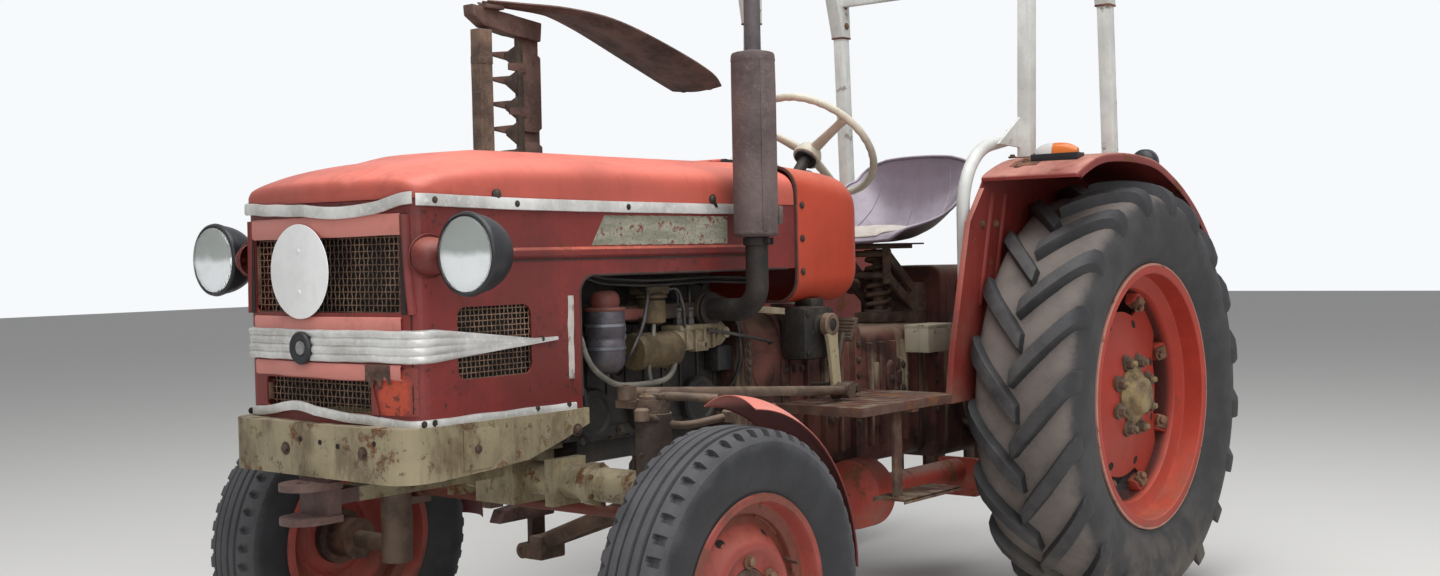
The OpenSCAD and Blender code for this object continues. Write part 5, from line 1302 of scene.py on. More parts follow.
def rubber(name, hub_y, hub_z, tread_r, dusty, dark=(0.022, 0.022, 0.024)):
    """Tyre rubber around an axle: dark walls, a paler and dustier tread, and fine cracks."""
    f = Finish(name)
    across = f.y - (engine_front + hub_y)
    high = f.z - hub_z
    radius = (across * across + high * high).math("SQRT")
    cloud = f.noise(11, 5, 0.62)
    fine = f.noise(120, 4, 0.65)
    tread = f.mask(radius, tread_r - 0.075, tread_r - 0.012)
    tone = f.mix(f.mask(cloud, 0.35, 0.7), dark, shade(dark, 1.8))
    dust = f.mask(tread * 0.8 + cloud * 0.9 + fine * 0.25, 0.80, 1.55)
    tone = f.mix(dust, tone, dusty)
    mud = f.mask(f.z, 0.35, 0.02) * f.mask(cloud, 0.35, 0.7) * 0.5
    tone = f.mix(mud, tone, dirt_brown)
    f.set(Base_Color=tone, Roughness=dust * 0.25 + 0.62)
    f.set(Normal=f.bump(fine * 0.6 + cloud * 1.4, 0.0018))
    return f


front_rubber = rubber("front_rubber", axle_y, front_r, front_r, (0.080, 0.080, 0.085),
                      (0.0120, 0.0125, 0.0150))


def on_wheel(hub, s, x, r, a):
    """A point of a wheel at x outwards from its hub, r from its axle and a round it from the top."""
    return hub + Vector((s * x, r * math.sin(a), r * math.cos(a)))


def round_wheel(bm, s, hub, rows_of, columns):
    """A skin round a wheel: rows_of(a) gives the profile of (radius, x) for each angle a in columns."""
    rows = []
    for a in columns:
        rows.append([on_wheel(hub, s, x, r, -a) for r, x in rows_of(a)])
    skin(bm, rows, closed=True)


def front_profile(phase, phase_far):
    wall = [(0.2065, 0.0595), (0.214, 0.0612), (0.2185, 0.0635), (0.2215, 0.0625), (0.226, 0.0655),
            (0.238, 0.0722), (0.255, 0.0780), (0.275, 0.0812), (0.295, 0.0824), (0.312, 0.0815),
            (0.322, 0.0792), (0.325, 0.0793), (0.3265, 0.0778), (0.334, 0.0738)]

    def shoulder(p):
        p %= 1.0
        if p < 0.10:
            deep, edge = 0.0, 0.060
        elif p < 0.34:
            deep, edge = 0.0125, 0.0445
        elif p < 0.55:
            deep, edge = 0.0125, 0.0545
        else:
            deep, edge = 0.0, 0.0600
        return [(0.3385 - deep * 0.35, 0.0712 - deep * 0.40), (0.3445 - deep * 0.8, 0.0672 - deep * 0.45),
                (0.3478 - deep, 0.0625 - deep * 0.2), (0.3488 - deep, max(edge, 0.0480) + 0.0012),
                (0.3492, max(edge, 0.0480) - 0.0004), (0.3497, 0.0450)]

    def tread(p):
        return wall + shoulder(p) + [(0.3500, 0.0425), (0.3415, 0.0412), (0.3405, 0.0378),
                                     (0.3415, 0.0352), (0.3522, 0.0340), (0.3530, 0.0260),
                                     (0.3530, 0.0190), (0.3522, 0.0172), (0.3425, 0.0160),
                                     (0.3420, 0.0136), (0.3430, 0.0112), (0.3538, 0.0098),
                                     (0.3548, 0.0040)]
    near, far = tread(phase), tread(phase_far)
    return [(r, -x) for r, x in far] + near[::-1]


notches = 50
for side, s in (("left", 1), ("right", -1)):
    bm = bmesh.new()
    columns = [math.tau * (k + p) / notches for k in range(notches)
               for p in (0.0, 0.095, 0.105, 0.20, 0.335, 0.345, 0.45, 0.545, 0.555, 0.78)]
    round_wheel(bm, s, at(s * front_x, axle_y, front_r),
                lambda a: front_profile(a * notches / math.tau, a * notches / math.tau + 0.5), columns)
    made(f"tyre_front_{side}", bm, front_rubber, f"front_wheel_{side}",
         replaces=[f"front_tyre_{side}"], sharp=38)

# Front rims: pressed steel in faded pinkish red, with a rusty lip, a raised ring and a greasy hub.
# The disc is dished and held by six bolts on the hub's flange.
rim_paint = enamel("rim_paint", (0.44, 0.048, 0.028), lit_faded_top=(0.60, 0.13, 0.08), rust=0.18, chips=0.5,
                   dust=0.42, size=0.8, gloss=0.45, dust_top=0.75)
front_rim_paint = enamel("front_rim_paint", (0.34, 0.062, 0.047), lit_faded_top=(0.50, 0.14, 0.10), rust=0.42,
                         chips=0.75, dust=0.6, size=0.5, gloss=0.5, dust_top=0.55)
across, high = front_rim_paint.y - (engine_front + axle_y), front_rim_paint.z - front_r
ring = (across * across + high * high).math("SQRT")
channel = front_rim_paint.mask(ring, 0.146, 0.158) * front_rim_paint.mask(ring, 0.200, 0.192)
lip = front_rim_paint.mask(ring, 0.198, 0.206)
lip = lip * front_rim_paint.mask(front_rim_paint.noise(9, 5, 0.6, shift=(4, 4, 4)), 0.42, 0.58)
painted = front_rim_paint.colour()
rusted = front_rim_paint.mix(front_rim_paint.noise(60, 4, 0.6), (0.060, 0.022, 0.014), (0.190, 0.070, 0.036))
front_rim_paint.set(Base_Color=front_rim_paint.mix((channel * 0.75 + lip * 0.7).math("MINIMUM", 1.0),
                                                   painted, rusted))
# painted shade: the rim's inside behind the disc and the inner face of the barrel are darkened where they lie
# in shadow
radial = (rim_paint.y - (engine_front + rear_y)) ** 2 + (rim_paint.z - rear_z) ** 2
shade_behind_disc = rim_paint.mask(abs(rim_paint.x), rear_x + 0.008, rear_x - 0.010)
barrel = rim_paint.mask(radial, 0.305 ** 2, 0.309 ** 2)
barrel = barrel * rim_paint.mask(abs(rim_paint.x), rear_x + 0.052, rear_x + 0.022)
inner = (shade_behind_disc + barrel).math("MINIMUM", 1.0)
painted = rim_paint.colour()
rim_paint.set(Base_Color=rim_paint.mix(inner * 0.92, painted, (0.045, 0.015, 0.012)))
hub_grease = bare("hub_grease", (0.035, 0.018, 0.014), (0.16, 0.08, 0.05), grime=0.35, rough=0.6,
                  metal=0.2, size=0.5)
for side, s in (("left", 1), ("right", -1)):
    hub = at(s * front_x, axle_y, front_r)
    bm = bmesh.new()
    barrel = [(0.2000, -0.0692), (0.2105, -0.0700), (0.2175, -0.0685), (0.2200, -0.0650),
              (0.2180, -0.0628), (0.2060, -0.0620), (0.2055, -0.0300), (0.1800, -0.0190),
              (0.1800, 0.0200), (0.2055, 0.0310), (0.2060, 0.0620), (0.2180, 0.0628), (0.2200, 0.0652),
              (0.2178, 0.0688), (0.2105, 0.0702), (0.2035, 0.0690), (0.2000, 0.0640), (0.1995, 0.0360),
              (0.1970, 0.0320), (0.1755, 0.0255), (0.1735, 0.0225), (0.1735, -0.0225), (0.1985, -0.0340),
              (0.1990, -0.0640)]
    turned(bm, hub, (s, 0, 0), barrel, 96, closed=True)
    disc = [(0.1740, 0.0100), (0.1700, 0.0120), (0.1580, 0.0150), (0.1500, 0.0185), (0.1400, 0.0300),
            (0.1290, 0.0425), (0.1235, 0.0482), (0.1165, 0.0520), (0.1080, 0.0530), (0.1020, 0.0505),
            (0.0965, 0.0455), (0.0890, 0.0405), (0.0800, 0.0375), (0.0660, 0.0368), (0.0655, 0.0322),
            (0.0800, 0.0325), (0.0900, 0.0355), (0.0980, 0.0405), (0.1060, 0.0472), (0.1140, 0.0470),
            (0.1240, 0.0400), (0.1350, 0.0270), (0.1460, 0.0140), (0.1560, 0.0095), (0.1700, 0.0060),
            (0.1740, 0.0050)]
    turned(bm, hub, (s, 0, 0), disc, 96, closed=True)
    # weld beads between disc and barrel, and the valve
    for k in range(6):
        a0 = math.tau * (k + 0.2) / 6
        spots = [on_wheel(hub, s, 0.012, 0.1722, -(a0 + t * 0.5)) for t in (i / 10 for i in range(11))]
        pipe(bm, spots, 0.0032, 8)
    made(f"rim_front_{side}", bm, front_rim_paint, f"front_wheel_{side}",
         replaces=[f"front_rim_{side}"], sharp=40)
    bm = bmesh.new()
    turned(bm, hub, (s, 0, 0),
           [(0.0221, -0.0620), (0.0515, -0.0620), (0.0520, -0.0600), (0.0520, 0.0080), (0.0560, 0.0090),
            (0.0690, 0.0100), (0.0700, 0.0120), (0.0700, 0.0300), (0.0640, 0.0318), (0.0640, 0.0372),
            (0.0560, 0.0400), (0.0450, 0.0415), (0.0400, 0.0440), (0.0380, 0.0560), (0.0350, 0.0625),
            (0.0300, 0.0650), (0.0180, 0.0660), (0, 0.0662), (0, 0.0402), (0.0221, 0.0400)], 64,
           closed=True)
    valve = hub + Vector((s * 0.020, 0.150, 0.060))
    pipe(bm,
         [valve, valve + Vector((s * 0.022, -0.008, -0.003)),
          valve + Vector((s * 0.040, -0.010, -0.004))], 0.0035, 12)
    made(f"hub_front_{side}", bm, hub_grease, f"front_wheel_{side}", sharp=40)
    bolts.grow(f"hub_bolts_front_{side}", [on_wheel(hub, s, 0.0405, 0.079, a) for a in angles(6)],
               rusty_bolt, f"front_wheel_{side}", slot="rim_red", facing=[(s, 0, 0)] * 6, Radius=0.0105,
               Height=0.011)
    # dark discs of painted shade in the disc's six holes
    holes_bm = bmesh.new()
    for a in angles(6, 0.5):
        spot = on_wheel(hub, s, 0.0255, 0.1435, a)
        way = Vector((s * 0.72, 0.69 * math.sin(a), 0.69 * math.cos(a)))
        turned(holes_bm, spot, way, [(0, 0.0006), (0.0085, 0.0006), (0.0100, 0.0012), (0.0105, -0.001)], 20)
    made(f"rim_holes_front_{side}", holes_bm, painted_shade_fill, f"front_wheel_{side}")

# Rear tyres: an open-centre farm tread, worn and dusty, with long curved lugs in two rows that meet in a V.
# The carcass is one smooth ring and each lug a bar swept from the middle over the shoulder down the wall.
rear_rubber = rubber("rear_rubber", rear_y, rear_z, 0.600, (0.175, 0.148, 0.132), (0.026, 0.025, 0.026))
lug_faces = rubber("lug_rubber", rear_y, rear_z, 0.660, (0.085, 0.078, 0.076), (0.020, 0.020, 0.022))


def rear_wall():
    side = [(0.3610, 0.1165), (0.3700, 0.1185), (0.3790, 0.1192), (0.3845, 0.1205), (0.3890, 0.1235),
            (0.3925, 0.1225), (0.3975, 0.1262), (0.4060, 0.1335), (0.4200, 0.1412), (0.4400, 0.1480),
            (0.4650, 0.1530), (0.4900, 0.1552), (0.5120, 0.1550), (0.5320, 0.1522), (0.5500, 0.1465),
            (0.5640, 0.1385), (0.5740, 0.1280), (0.5810, 0.1130), (0.5865, 0.0920), (0.5900, 0.0640),
            (0.5918, 0.0320)]
    return [(r, -x) for r, x in side] + [(0.5925, 0.0)] + side[::-1]


# along a lug: x, radius of its top, radius of its foot, x of its foot, half width at the top, turn in
# degrees
lug_path = [(-0.012, 0.6215, 0.586, -0.010, 0.0215, 9.4), (-0.004, 0.6242, 0.586, -0.002, 0.0240, 8.6),
            (0.016, 0.6245, 0.586, 0.016, 0.0250, 6.6), (0.046, 0.6235, 0.585, 0.046, 0.0258, 3.4),
            (0.076, 0.6205, 0.582, 0.074, 0.0265, 0.4), (0.104, 0.6150, 0.575, 0.098, 0.0275, -2.6),
            (0.128, 0.6070, 0.562, 0.118, 0.0285, -5.4), (0.1440, 0.5950, 0.545, 0.131, 0.0285, -7.5),
            (0.1530, 0.5760, 0.528, 0.139, 0.0275, -8.6), (0.1562, 0.5550, 0.515, 0.146, 0.0255, -9.0),
            (0.1560, 0.5340, 0.505, 0.150, 0.0225, -9.1)]


def lug(bm, s, side, hub, turn):
    rows = []
    for x, top, foot, foot_x, half, degrees in lug_path:
        middle = math.radians(turn + degrees)
        row = []
        for share, spread in ((0.0, -1.32), (0.84, -1.03), (0.985, -0.90), (1.0, -0.5), (1.0, 0.5),
                              (0.985, 0.90), (0.84, 1.03), (0.0, 1.32)):
            r = foot + (top - foot) * share
            px = foot_x + (x - foot_x) * share
            a = middle + spread * half / max(r, 0.4)
            row.append(hub + Vector((s * side * px, -r * math.sin(a), r * math.cos(a))))
        rows.append(row)
    loft(bm, rows)


lugs = 20
for name, s in (("left", 1), ("right", -1)):
    hub = at(s * rear_x, rear_y, rear_z)
    bm = bmesh.new()
    round_wheel(bm, s, hub, lambda a: rear_wall(), [math.tau * k / 144 for k in range(144)])
    made(f"tyre_rear_{name}", bm, rear_rubber, f"rear_wheel_{name}",
         replaces=[f"rear_tyre_{name}"], sharp=50)
    bm = bmesh.new()
    for k in range(lugs):
        lug(bm, s, 1, hub, 360 * k / lugs)
        lug(bm, s, -1, hub, 360 * (k + 0.5) / lugs)
    made(f"lugs_rear_{name}", bm, lug_faces, f"rear_wheel_{name}", sharp=30)

# Rear rims: a deep rolled rim in orange-red, its worn edge bare and pale, and a dished disc with four
# cut-outs. The disc is clamped to lugs in the rim and bolted to the half-shaft's flange under a yellow-
# brown cap.
clamp_degrees = (22, 68, 112, 158, 202, 248, 292, 338)
bare_edge = enamel("bare_edge", (0.46, 0.22, 0.17), rust=0.5, chips=0.9, dust=0.4, gloss=0.6, size=0.4)
half_shaft = bare("half_shaft", (0.09, 0.06, 0.035), (0.34, 0.25, 0.12), grime=0.3, rough=0.6, metal=0.3,
                  size=0.5)
rr = 0.359
for name, s in (("left", 1), ("right", -1)):
    hub = at(s * rear_x, rear_y, rear_z)
    body = f"rear_wheel_{name}"
    bm = bmesh.new()
    turned(bm, hub, (s, 0, 0),
           [(rr, -0.1195), (rr + 0.014, -0.1200), (rr + 0.0215, -0.1215), (rr + 0.0220, -0.1250),
            (rr + 0.0180, -0.1275), (rr - 0.004, -0.1270), (rr - 0.0070, -0.1240), (rr - 0.0070, -0.0640),
            (rr - 0.0120, -0.0600), (rr - 0.0460, -0.0500), (rr - 0.0495, -0.0450), (rr - 0.0495, 0.0480),
            (rr - 0.0460, 0.0540), (rr - 0.0120, 0.0640), (rr - 0.0072, 0.0690), (rr - 0.0070, 0.1235),
            (rr - 0.0040, 0.1270), (rr + 0.0170, 0.1275), (rr + 0.0215, 0.1262), (rr + 0.0222, 0.1225),
            (rr + 0.0205, 0.1198), (rr, 0.1190), (rr, 0.0620), (rr - 0.0400, 0.0480),
            (rr - 0.0430, 0.0440), (rr - 0.0430, -0.0400), (rr - 0.0400, -0.0440), (rr, -0.0560)], 128,
           closed=True)
    # lugs welded in the rim, two by each arm of the disc, with their clamps
    for degrees in clamp_degrees:
        a = math.radians(degrees)
        radial, round_way = Vector((0, math.sin(a), math.cos(a))), Vector((0, math.cos(a), -math.sin(a)))
        foot = hub + radial * 0.312
        outline = [foot + Vector((s * x, 0, 0)) + radial * r
                   for x, r in ((0.000, 0.0), (0.040, 0.001), (0.036, -0.010), (0.030, -0.030),
                                (0.018, -0.038), (0.000, -0.038))]
        plate(bm, [p - round_way * 0.024 for p in outline], round_way, 0.048, 0.003)
    made(f"rim_rear_{name}", bm, rim_paint, body, replaces=[f"rear_rim_{name}"], sharp=40)
    bm = bmesh.new()
    turned(bm, hub, (s, 0, 0),
           [(rr + 0.0165, 0.12755), (rr + 0.0212, 0.12655), (rr + 0.0226, 0.1232), (rr + 0.0214, 0.1202),
            (rr + 0.0222, 0.1200), (rr + 0.0238, 0.1232), (rr + 0.0222, 0.1276), (rr + 0.0166, 0.12835)],
           128, closed=True)
    made(f"rim_edge_{name}", bm, bare_edge, body, sharp=60)
    # the disc, drawn as a grid of rings whose outer edge runs in at the four cut-outs
    bm = bmesh.new()
    rings = [(0.0415, 0.0580), (0.072, 0.0585), (0.108, 0.0575), (0.118, 0.0545), (0.135, 0.0470),
             (0.155, 0.0405), (0.185, 0.0335), (0.215, 0.0265), (0.240, 0.0205)]
    steps = 160
    rows = [[on_wheel(hub, s, x, r, a) for a in angles(steps)] for r, x in rings]
    for share in (0.35, 0.7, 1.0):
        row = []
        for a in angles(steps):
            arm = abs(math.cos(2 * a))
            reach = 0.241 + (0.308 - 0.241) * (1 - max(0.0, min(1.0, (arm - 0.42) / 0.30)))
            r = 0.240 + (reach - 0.240) * share
            row.append(hub + Vector((s * (0.0205 - 0.008 * (r - 0.240) / 0.068), r * math.sin(a),
                                     r * math.cos(a))))
        rows.append(row)
    skin(bm, rows, around=True)
    made(f"disc_rear_{name}", bm, rim_paint, body, wall=0.008, sharp=40)
    # dark discs of painted shade in the disc's eight holes
    bm = bmesh.new()
    for a in angles(8, 0.5):
        way = Vector((s * 0.96, 0.28 * math.sin(a), 0.28 * math.cos(a)))
        spot = on_wheel(hub, s, 0.0262, 0.218, a)
        turned(bm, spot, way, [(0, 0.0008), (0.0105, 0.0008), (0.0118, 0.0014), (0.0124, -0.001)], 24)
    made(f"disc_holes_{name}", bm, painted_shade_fill, body)
    # flange nuts on studs, hub cap, clamps
    ring = [on_wheel(hub, s, 0.0590, 0.102, a) for a in angles(8, 0.5)]
    bolts.grow(f"wheel_nuts_{name}", ring, brown_forging, body, slot="rim_red", facing=[(s, 0, 0)] * 8,
               Radius=0.0165, Height=0.019)
    bm = bmesh.new()
    for p in ring:
        turned(bm, p, (s, 0, 0), [(0.0085, 0.0), (0.0085, 0.030), (0.0070, 0.0325), (0, 0.033)], 16)
    turned(bm, hub, (s, 0, 0),
           [(0.0840, 0.0590), (0.0840, 0.0640), (0.0790, 0.0685), (0.0700, 0.0720), (0.0600, 0.0760),
            (0.0560, 0.0850), (0.0500, 0.0980), (0.0440, 0.1030), (0.0300, 0.1060), (0.0120, 0.1072),
            (0, 0.1074)], 56)
    turned(bm, hub, (s, 0, 0), [(0.0385, -0.240), (0.0400, -0.238), (0.0400, 0.0570), (0, 0.0570)], 40)
    made(f"hub_cap_{name}", bm, half_shaft, body, sharp=40)
    clamps = bmesh.new()
    nuts, ways = [], []
    for degrees in clamp_degrees:
        a = math.radians(degrees)
        radial, round_way = Vector((0, math.sin(a), math.cos(a))), Vector((0, math.cos(a), -math.sin(a)))
        foot = hub + radial * 0.286 + Vector((s * 0.022, 0, 0))
        outline = [foot + Vector((s * x, 0, 0)) + radial * r
                   for x, r in ((-0.001, -0.020), (0.007, -0.022), (0.020, -0.010), (0.024, 0.010),
                                (0.016, 0.012), (0.012, 0.000), (-0.001, -0.004))]
        plate(clamps, [p - round_way * 0.019 for p in outline], round_way, 0.038, 0.002)
        nuts.append(foot + Vector((s * 0.012, 0, 0)) - radial * 0.014)
        ways.append(Vector((s, 0, 0)) - radial * 0.55)
    made(f"rim_clamps_{name}", clamps, rusty_bolt, body)
    bolts.grow(f"clamp_nuts_{name}", nuts, rusty_bolt, body, slot="rim_red", facing=ways, Radius=0.0115,
               Height=0.013)

# The engine: a greasy three-cylinder block, coloured near black as painted shade for the dark bay, with its
# head, rocker cover, sump and timing cover.
# Flanges, core plugs, cooling ribs and rows of bolts give the castings their relief.
def blocks(bm, rows):
    """Boxes in the tractor's frame: rows of x, y and z from and to, and the bevel."""
    for x0, x1, y0, y1, z0, z1, bevel in rows:
        block(bm, at(x0, y0, z0), at(x1, y1, z1), bevel)


black_iron_and_shade = bare("black_iron_and_shade", (0.007, 0.006, 0.006), (0.022, 0.018, 0.015), grime=0.22, rough=0.55,
                   metal=0.1, depth=0.0022)
oily_brown = bare("oily_brown", (0.028, 0.018, 0.013), (0.078, 0.050, 0.034), grime=0.35, rough=0.6,
                  metal=0.15, depth=0.002)
bm = bmesh.new()
blocks(bm, [
    (-0.150, 0.150, 0.094, 0.688, 0.660, 0.900, 0.014),
    (-0.152, 0.152, 0.096, 0.686, 0.870, 0.899, 0.004),
    (-0.153, 0.153, 0.092, 0.689, 0.642, 0.668, 0.006),
    (-0.124, 0.124, 0.188, 0.662, 0.630, 0.650, 0.005),
    (-0.116, 0.116, 0.196, 0.654, 0.577, 0.640, 0.024),
    (-0.134, 0.134, 0.064, 0.096, 0.652, 0.912, 0.012),
    (-0.128, 0.128, 0.102, 0.678, 0.900, 1.028, 0.010),
    (-0.084, 0.084, 0.132, 0.648, 1.028, 1.098, 0.026),
    (-0.092, 0.092, 0.126, 0.654, 1.024, 1.036, 0.004)])
for i in range(9):
    y = 0.130 + 0.065 * i
    blocks(bm, [
        (0.146, 0.1545, y, y + 0.010, 0.700, 0.890, 0.002),
        (0.124, 0.1295, y, y + 0.008, 0.915, 1.020, 0.002)])
for i in range(3):
    y = 0.200 + 0.190 * i
    turned(bm, at(0, y, 0.700), (1, 0, 0),
           [(0.060, 0.150), (0.060, 0.168), (0.056, 0.174), (0.046, 0.1755), (0.040, 0.170), (0, 0.1695)],
           48)
    turned(bm, at(0, y + 0.095, 0.800), (1, 0, 0),
           [(0.024, 0.150), (0.024, 0.156), (0.020, 0.158), (0.017, 0.153), (0, 0.1525)], 32)
    turned(bm, at(0, y + 0.02, 1.096), (0, 0, 1),
           [(0.018, -0.004), (0.017, 0.003), (0.010, 0.0075), (0, 0.008)], 24)
turned(bm, at(0, 0.038, 0.720), (0, 1, 0),
       [(0.078, 0.0), (0.080, 0.003), (0.070, 0.011), (0.080, 0.021), (0.078, 0.025), (0.060, 0.026),
        (0.060, 0.004), (0.034, 0.003), (0.034, -0.004), (0, -0.005)], 56)
made("engine_block", bm, black_iron_and_shade, replaces=["engine"], sharp=30)
spots, ways = [], []
for i in range(10):
    y = 0.122 + 0.060 * i
    for x, z, way in ((0.1545, 0.882, (1, 0, 0)), (0.155, 0.655, (1, 0, 0)), (-0.1545, 0.882, (-1, 0, 0)),
                      (0.108, 1.029, (0, 0, 1)), (0.1245, 0.640, (1, 0, 0))):
        if z < 0.65 and not 0.20 < y < 0.65:
            continue
        spots.append(at(x, y, z))
        ways.append(way)
for i in range(6):
    spots += [at(0.135, 0.080, 0.680 + 0.042 * i), at(-0.135, 0.080, 0.680 + 0.042 * i)]
    ways += [(1, 0, 0), (-1, 0, 0)]
bolts.grow("engine_bolts", spots, oily_brown, slot="engine_grey", facing=ways, Radius=0.0075, Height=0.006)

# Air cleaner, oil filter and dynamo, one behind the other at the front of the engine's left side.
# The cleaner has a red cap, and the dynamo and the filter above it are dusty olive.
cap_red = enamel("cap_red", (0.150, 0.042, 0.032), lit_faded_top=(0.23, 0.100, 0.080), rust=0.25, chips=0.6,
                 dust=0.8, gloss=0.5, size=0.5)
bowl_purple = bare("bowl_purple", (0.040, 0.036, 0.046), (0.105, 0.095, 0.110), grime=0.45, rough=0.45,
                   metal=0.4, size=0.7)
dynamo_olive = bare("dynamo_olive", (0.042, 0.029, 0.015), (0.145, 0.100, 0.044), grime=0.35, rough=0.7,
                    metal=0.1, size=0.7)
alloy_tan = bare("alloy_tan", (0.150, 0.115, 0.070), (0.360, 0.300, 0.200), grime=0.5, rough=0.6,
                 metal=0.25, size=0.5)
pipe_dark = bare("pipe_dark", (0.035, 0.034, 0.036), (0.105, 0.100, 0.098), grime=0.3, rough=0.45,
                 metal=0.6, size=0.4)
bright_oil = bare("bright_oil", (0.15, 0.16, 0.18), (0.28, 0.30, 0.33), grime=0.15, rough=0.35, metal=0.7,
                  size=0.4)
hose_pale = bare("hose_pale", (0.100, 0.095, 0.080), (0.230, 0.215, 0.180), grime=0.3, rough=0.6,
                 metal=0.0, size=0.4)
bm = bmesh.new()
turned(bm, at(0.205, 0.205, 0.795), (0, 0, 1),
       [(0, 0.0), (0.024, 0.001), (0.038, 0.010), (0.0445, 0.026), (0.0455, 0.060), (0.0455, 0.072),
        (0.0432, 0.075), (0.0432, 0.082), (0.0455, 0.085), (0.0455, 0.140), (0.043, 0.145), (0, 0.1455)],
       64)
turned(bm, at(0.205, 0.205, 0.790), (0, 0, 1),
       [(0, -0.004), (0.008, -0.004), (0.009, 0.004), (0, 0.0045)], 16)
block(bm, at(0.154, 0.186, 0.846), at(0.178, 0.224, 0.874), 0.003)
made("air_cleaner", bm, bowl_purple, replaces=["engine_fittings"], sharp=40)
bm = bmesh.new()
turned(bm, at(0.205, 0.205, 0.940), (0, 0, 1),
       [(0.0435, -0.004), (0.0465, -0.003), (0.0475, 0.001), (0.0455, 0.004), (0.0330, 0.0055),
        (0.0325, 0.008), (0.0345, 0.012), (0.0345, 0.024), (0.0320, 0.033), (0.0260, 0.039),
        (0.0180, 0.0425), (0.0100, 0.0437), (0, 0.0438)], 64)
block(bm, at(0.195, 0.238, 0.912), at(0.226, 0.300, 0.940), 0.010)
turned(bm, at(0.210, 0.298, 0.926), (0, 1, 0),
       [(0.011, 0), (0.012, 0.002), (0.012, 0.030), (0.009, 0.033), (0, 0.034)], 24)
made("cleaner_cap", bm, cap_red, sharp=40)
bm = bmesh.new()
turned(bm, at(0.2290, 0.222, 0.902), (0.8, 0.1, 0.35),
       [(0.018, -0.004), (0.021, 0.000), (0.021, 0.006), (0.016, 0.010), (0.008, 0.012), (0, 0.012)], 28)
turned(bm, at(0.2240, 0.236, 0.876), (0.8, 0.1, -0.2),
       [(0.010, -0.004), (0.012, 0.000), (0.012, 0.007), (0, 0.009)], 24)
for k in range(2):
    turned(bm, at(0.205, 0.205, 0.851 + 0.052 * k), (0, 0, 1),
           [(0.0450, -0.002), (0.0470, -0.0015), (0.0470, 0.0045), (0.0450, 0.005)], 64, closed=True)
made("cleaner_bright", bm, bright_oil, sharp=40)
bm = bmesh.new()
turned(bm, at(0.212, 0.285, 0.838), (0, 1, 0),
       [(0, 0.002), (0.014, 0.002), (0.020, 0.000), (0.040, 0.001), (0.0435, 0.006), (0.0435, 0.022),
        (0.0420, 0.024), (0.0420, 0.108), (0.0435, 0.110), (0.0435, 0.136), (0.040, 0.143),
        (0.018, 0.145), (0, 0.145)], 56)
for k in range(4):
    turned(bm, at(0.212, 0.285, 0.838), (0, 1, 0),
           [(0.0418, 0.040 + 0.016 * k), (0.0432, 0.042 + 0.016 * k), (0.0418, 0.044 + 0.016 * k)], 56,
           closed=True)
block(bm, at(0.154, 0.330, 0.806), at(0.180, 0.390, 0.828), 0.004)
made("dynamo", bm, dynamo_olive, sharp=40)
bm = bmesh.new()
for y, r, low, high in ((0.366, 0.034, 0.897, 0.960), (0.366, 0.038, 0.955, 0.972)):
    turned(bm, at(0.202, y, low), (0, 0, 1),
           [(r * 0.6, 0), (r, 0.006), (r, high - low - 0.006), (r * 0.7, high - low), (0, high - low)],
           40)
block(bm, at(0.165, 0.330, 0.968), at(0.222, 0.412, 0.988), 0.006)
turned(bm, at(0.200, 0.344, 0.986), (0, 0, 1), [(0.010, 0), (0.010, 0.010), (0.007, 0.014), (0, 0.0145)], 6)
turned(bm, at(0.200, 0.392, 0.986), (0, 0, 1), [(0.008, 0), (0.008, 0.008), (0.005, 0.012), (0, 0.0125)], 6)
made("fuel_filter", bm, dynamo_olive, sharp=40)

# The injection pump is a dusty light-alloy casting with ribs, three pump heads, its governor and steel
# lines. The manifold, the right-hand bowls and the starter fill the sides of the block.
bm = bmesh.new()
blocks(bm, [
    (0.156, 0.218, 0.453, 0.589, 0.830, 0.890, 0.008),
    (0.158, 0.222, 0.448, 0.594, 0.878, 0.891, 0.004)])
for k in range(4):
    block(bm, at(0.214, 0.466 + 0.033 * k, 0.834), at(0.2255, 0.474 + 0.033 * k, 0.880), 0.0015)
block(bm, at(0.196, 0.500, 0.826), at(0.2255, 0.548, 0.850), 0.004)
turned(bm, at(0.190, 0.589, 0.866), (0, 1, 0),
       [(0.030, 0), (0.0335, 0.004), (0.0335, 0.028), (0.029, 0.036), (0.021, 0.044), (0.018, 0.050),
        (0, 0.0505)], 44)
turned(bm, at(0.216, 0.616, 0.866), (1, 0, 0.2),
       [(0.014, 0), (0.014, 0.010), (0.010, 0.013), (0, 0.0132)], 24)
turned(bm, at(0.206, 0.440, 0.858), (0, 1, 0),
       [(0, -0.012), (0.016, -0.012), (0.022, -0.006), (0.022, 0.014)], 32)
made("injection_pump", bm, alloy_tan, sharp=35)
bm = bmesh.new()
for i in range(3):
    y = 0.476 + 0.044 * i
    turned(bm, at(0.190, y, 0.889), (0, 0, 1),
           [(0.0125, 0), (0.0125, 0.016), (0.0100, 0.018), (0.0100, 0.034), (0.0125, 0.036),
            (0.0125, 0.044), (0.006, 0.047), (0, 0.047)], 6)
    port = 0.470 + 0.060 * i
    hose(bm, [(0.190, y, 0.930), (0.190, y, 0.968), (0.178, port, 0.985), (0.128, port, 0.992)], 0.016, 6,
         0.0036, 10)
    turned(bm, at(0.128, port, 0.992), (1, 0, -0.1),
           [(0.010, 0), (0.010, 0.010), (0.006, 0.014), (0, 0.0142)], 6)
hose(bm,
     [(0.228, 0.541, 0.876), (0.232, 0.600, 0.868), (0.232, 0.682, 0.854), (0.228, 0.801, 0.832),
      (0.208, 0.812, 0.828)], 0.02, 5, 0.0042, 10)
hose(bm, [(0.206, 0.404, 0.978), (0.232, 0.430, 0.982), (0.230, 0.452, 0.930), (0.222, 0.462, 0.886)],
     0.016, 6, 0.0040, 10)
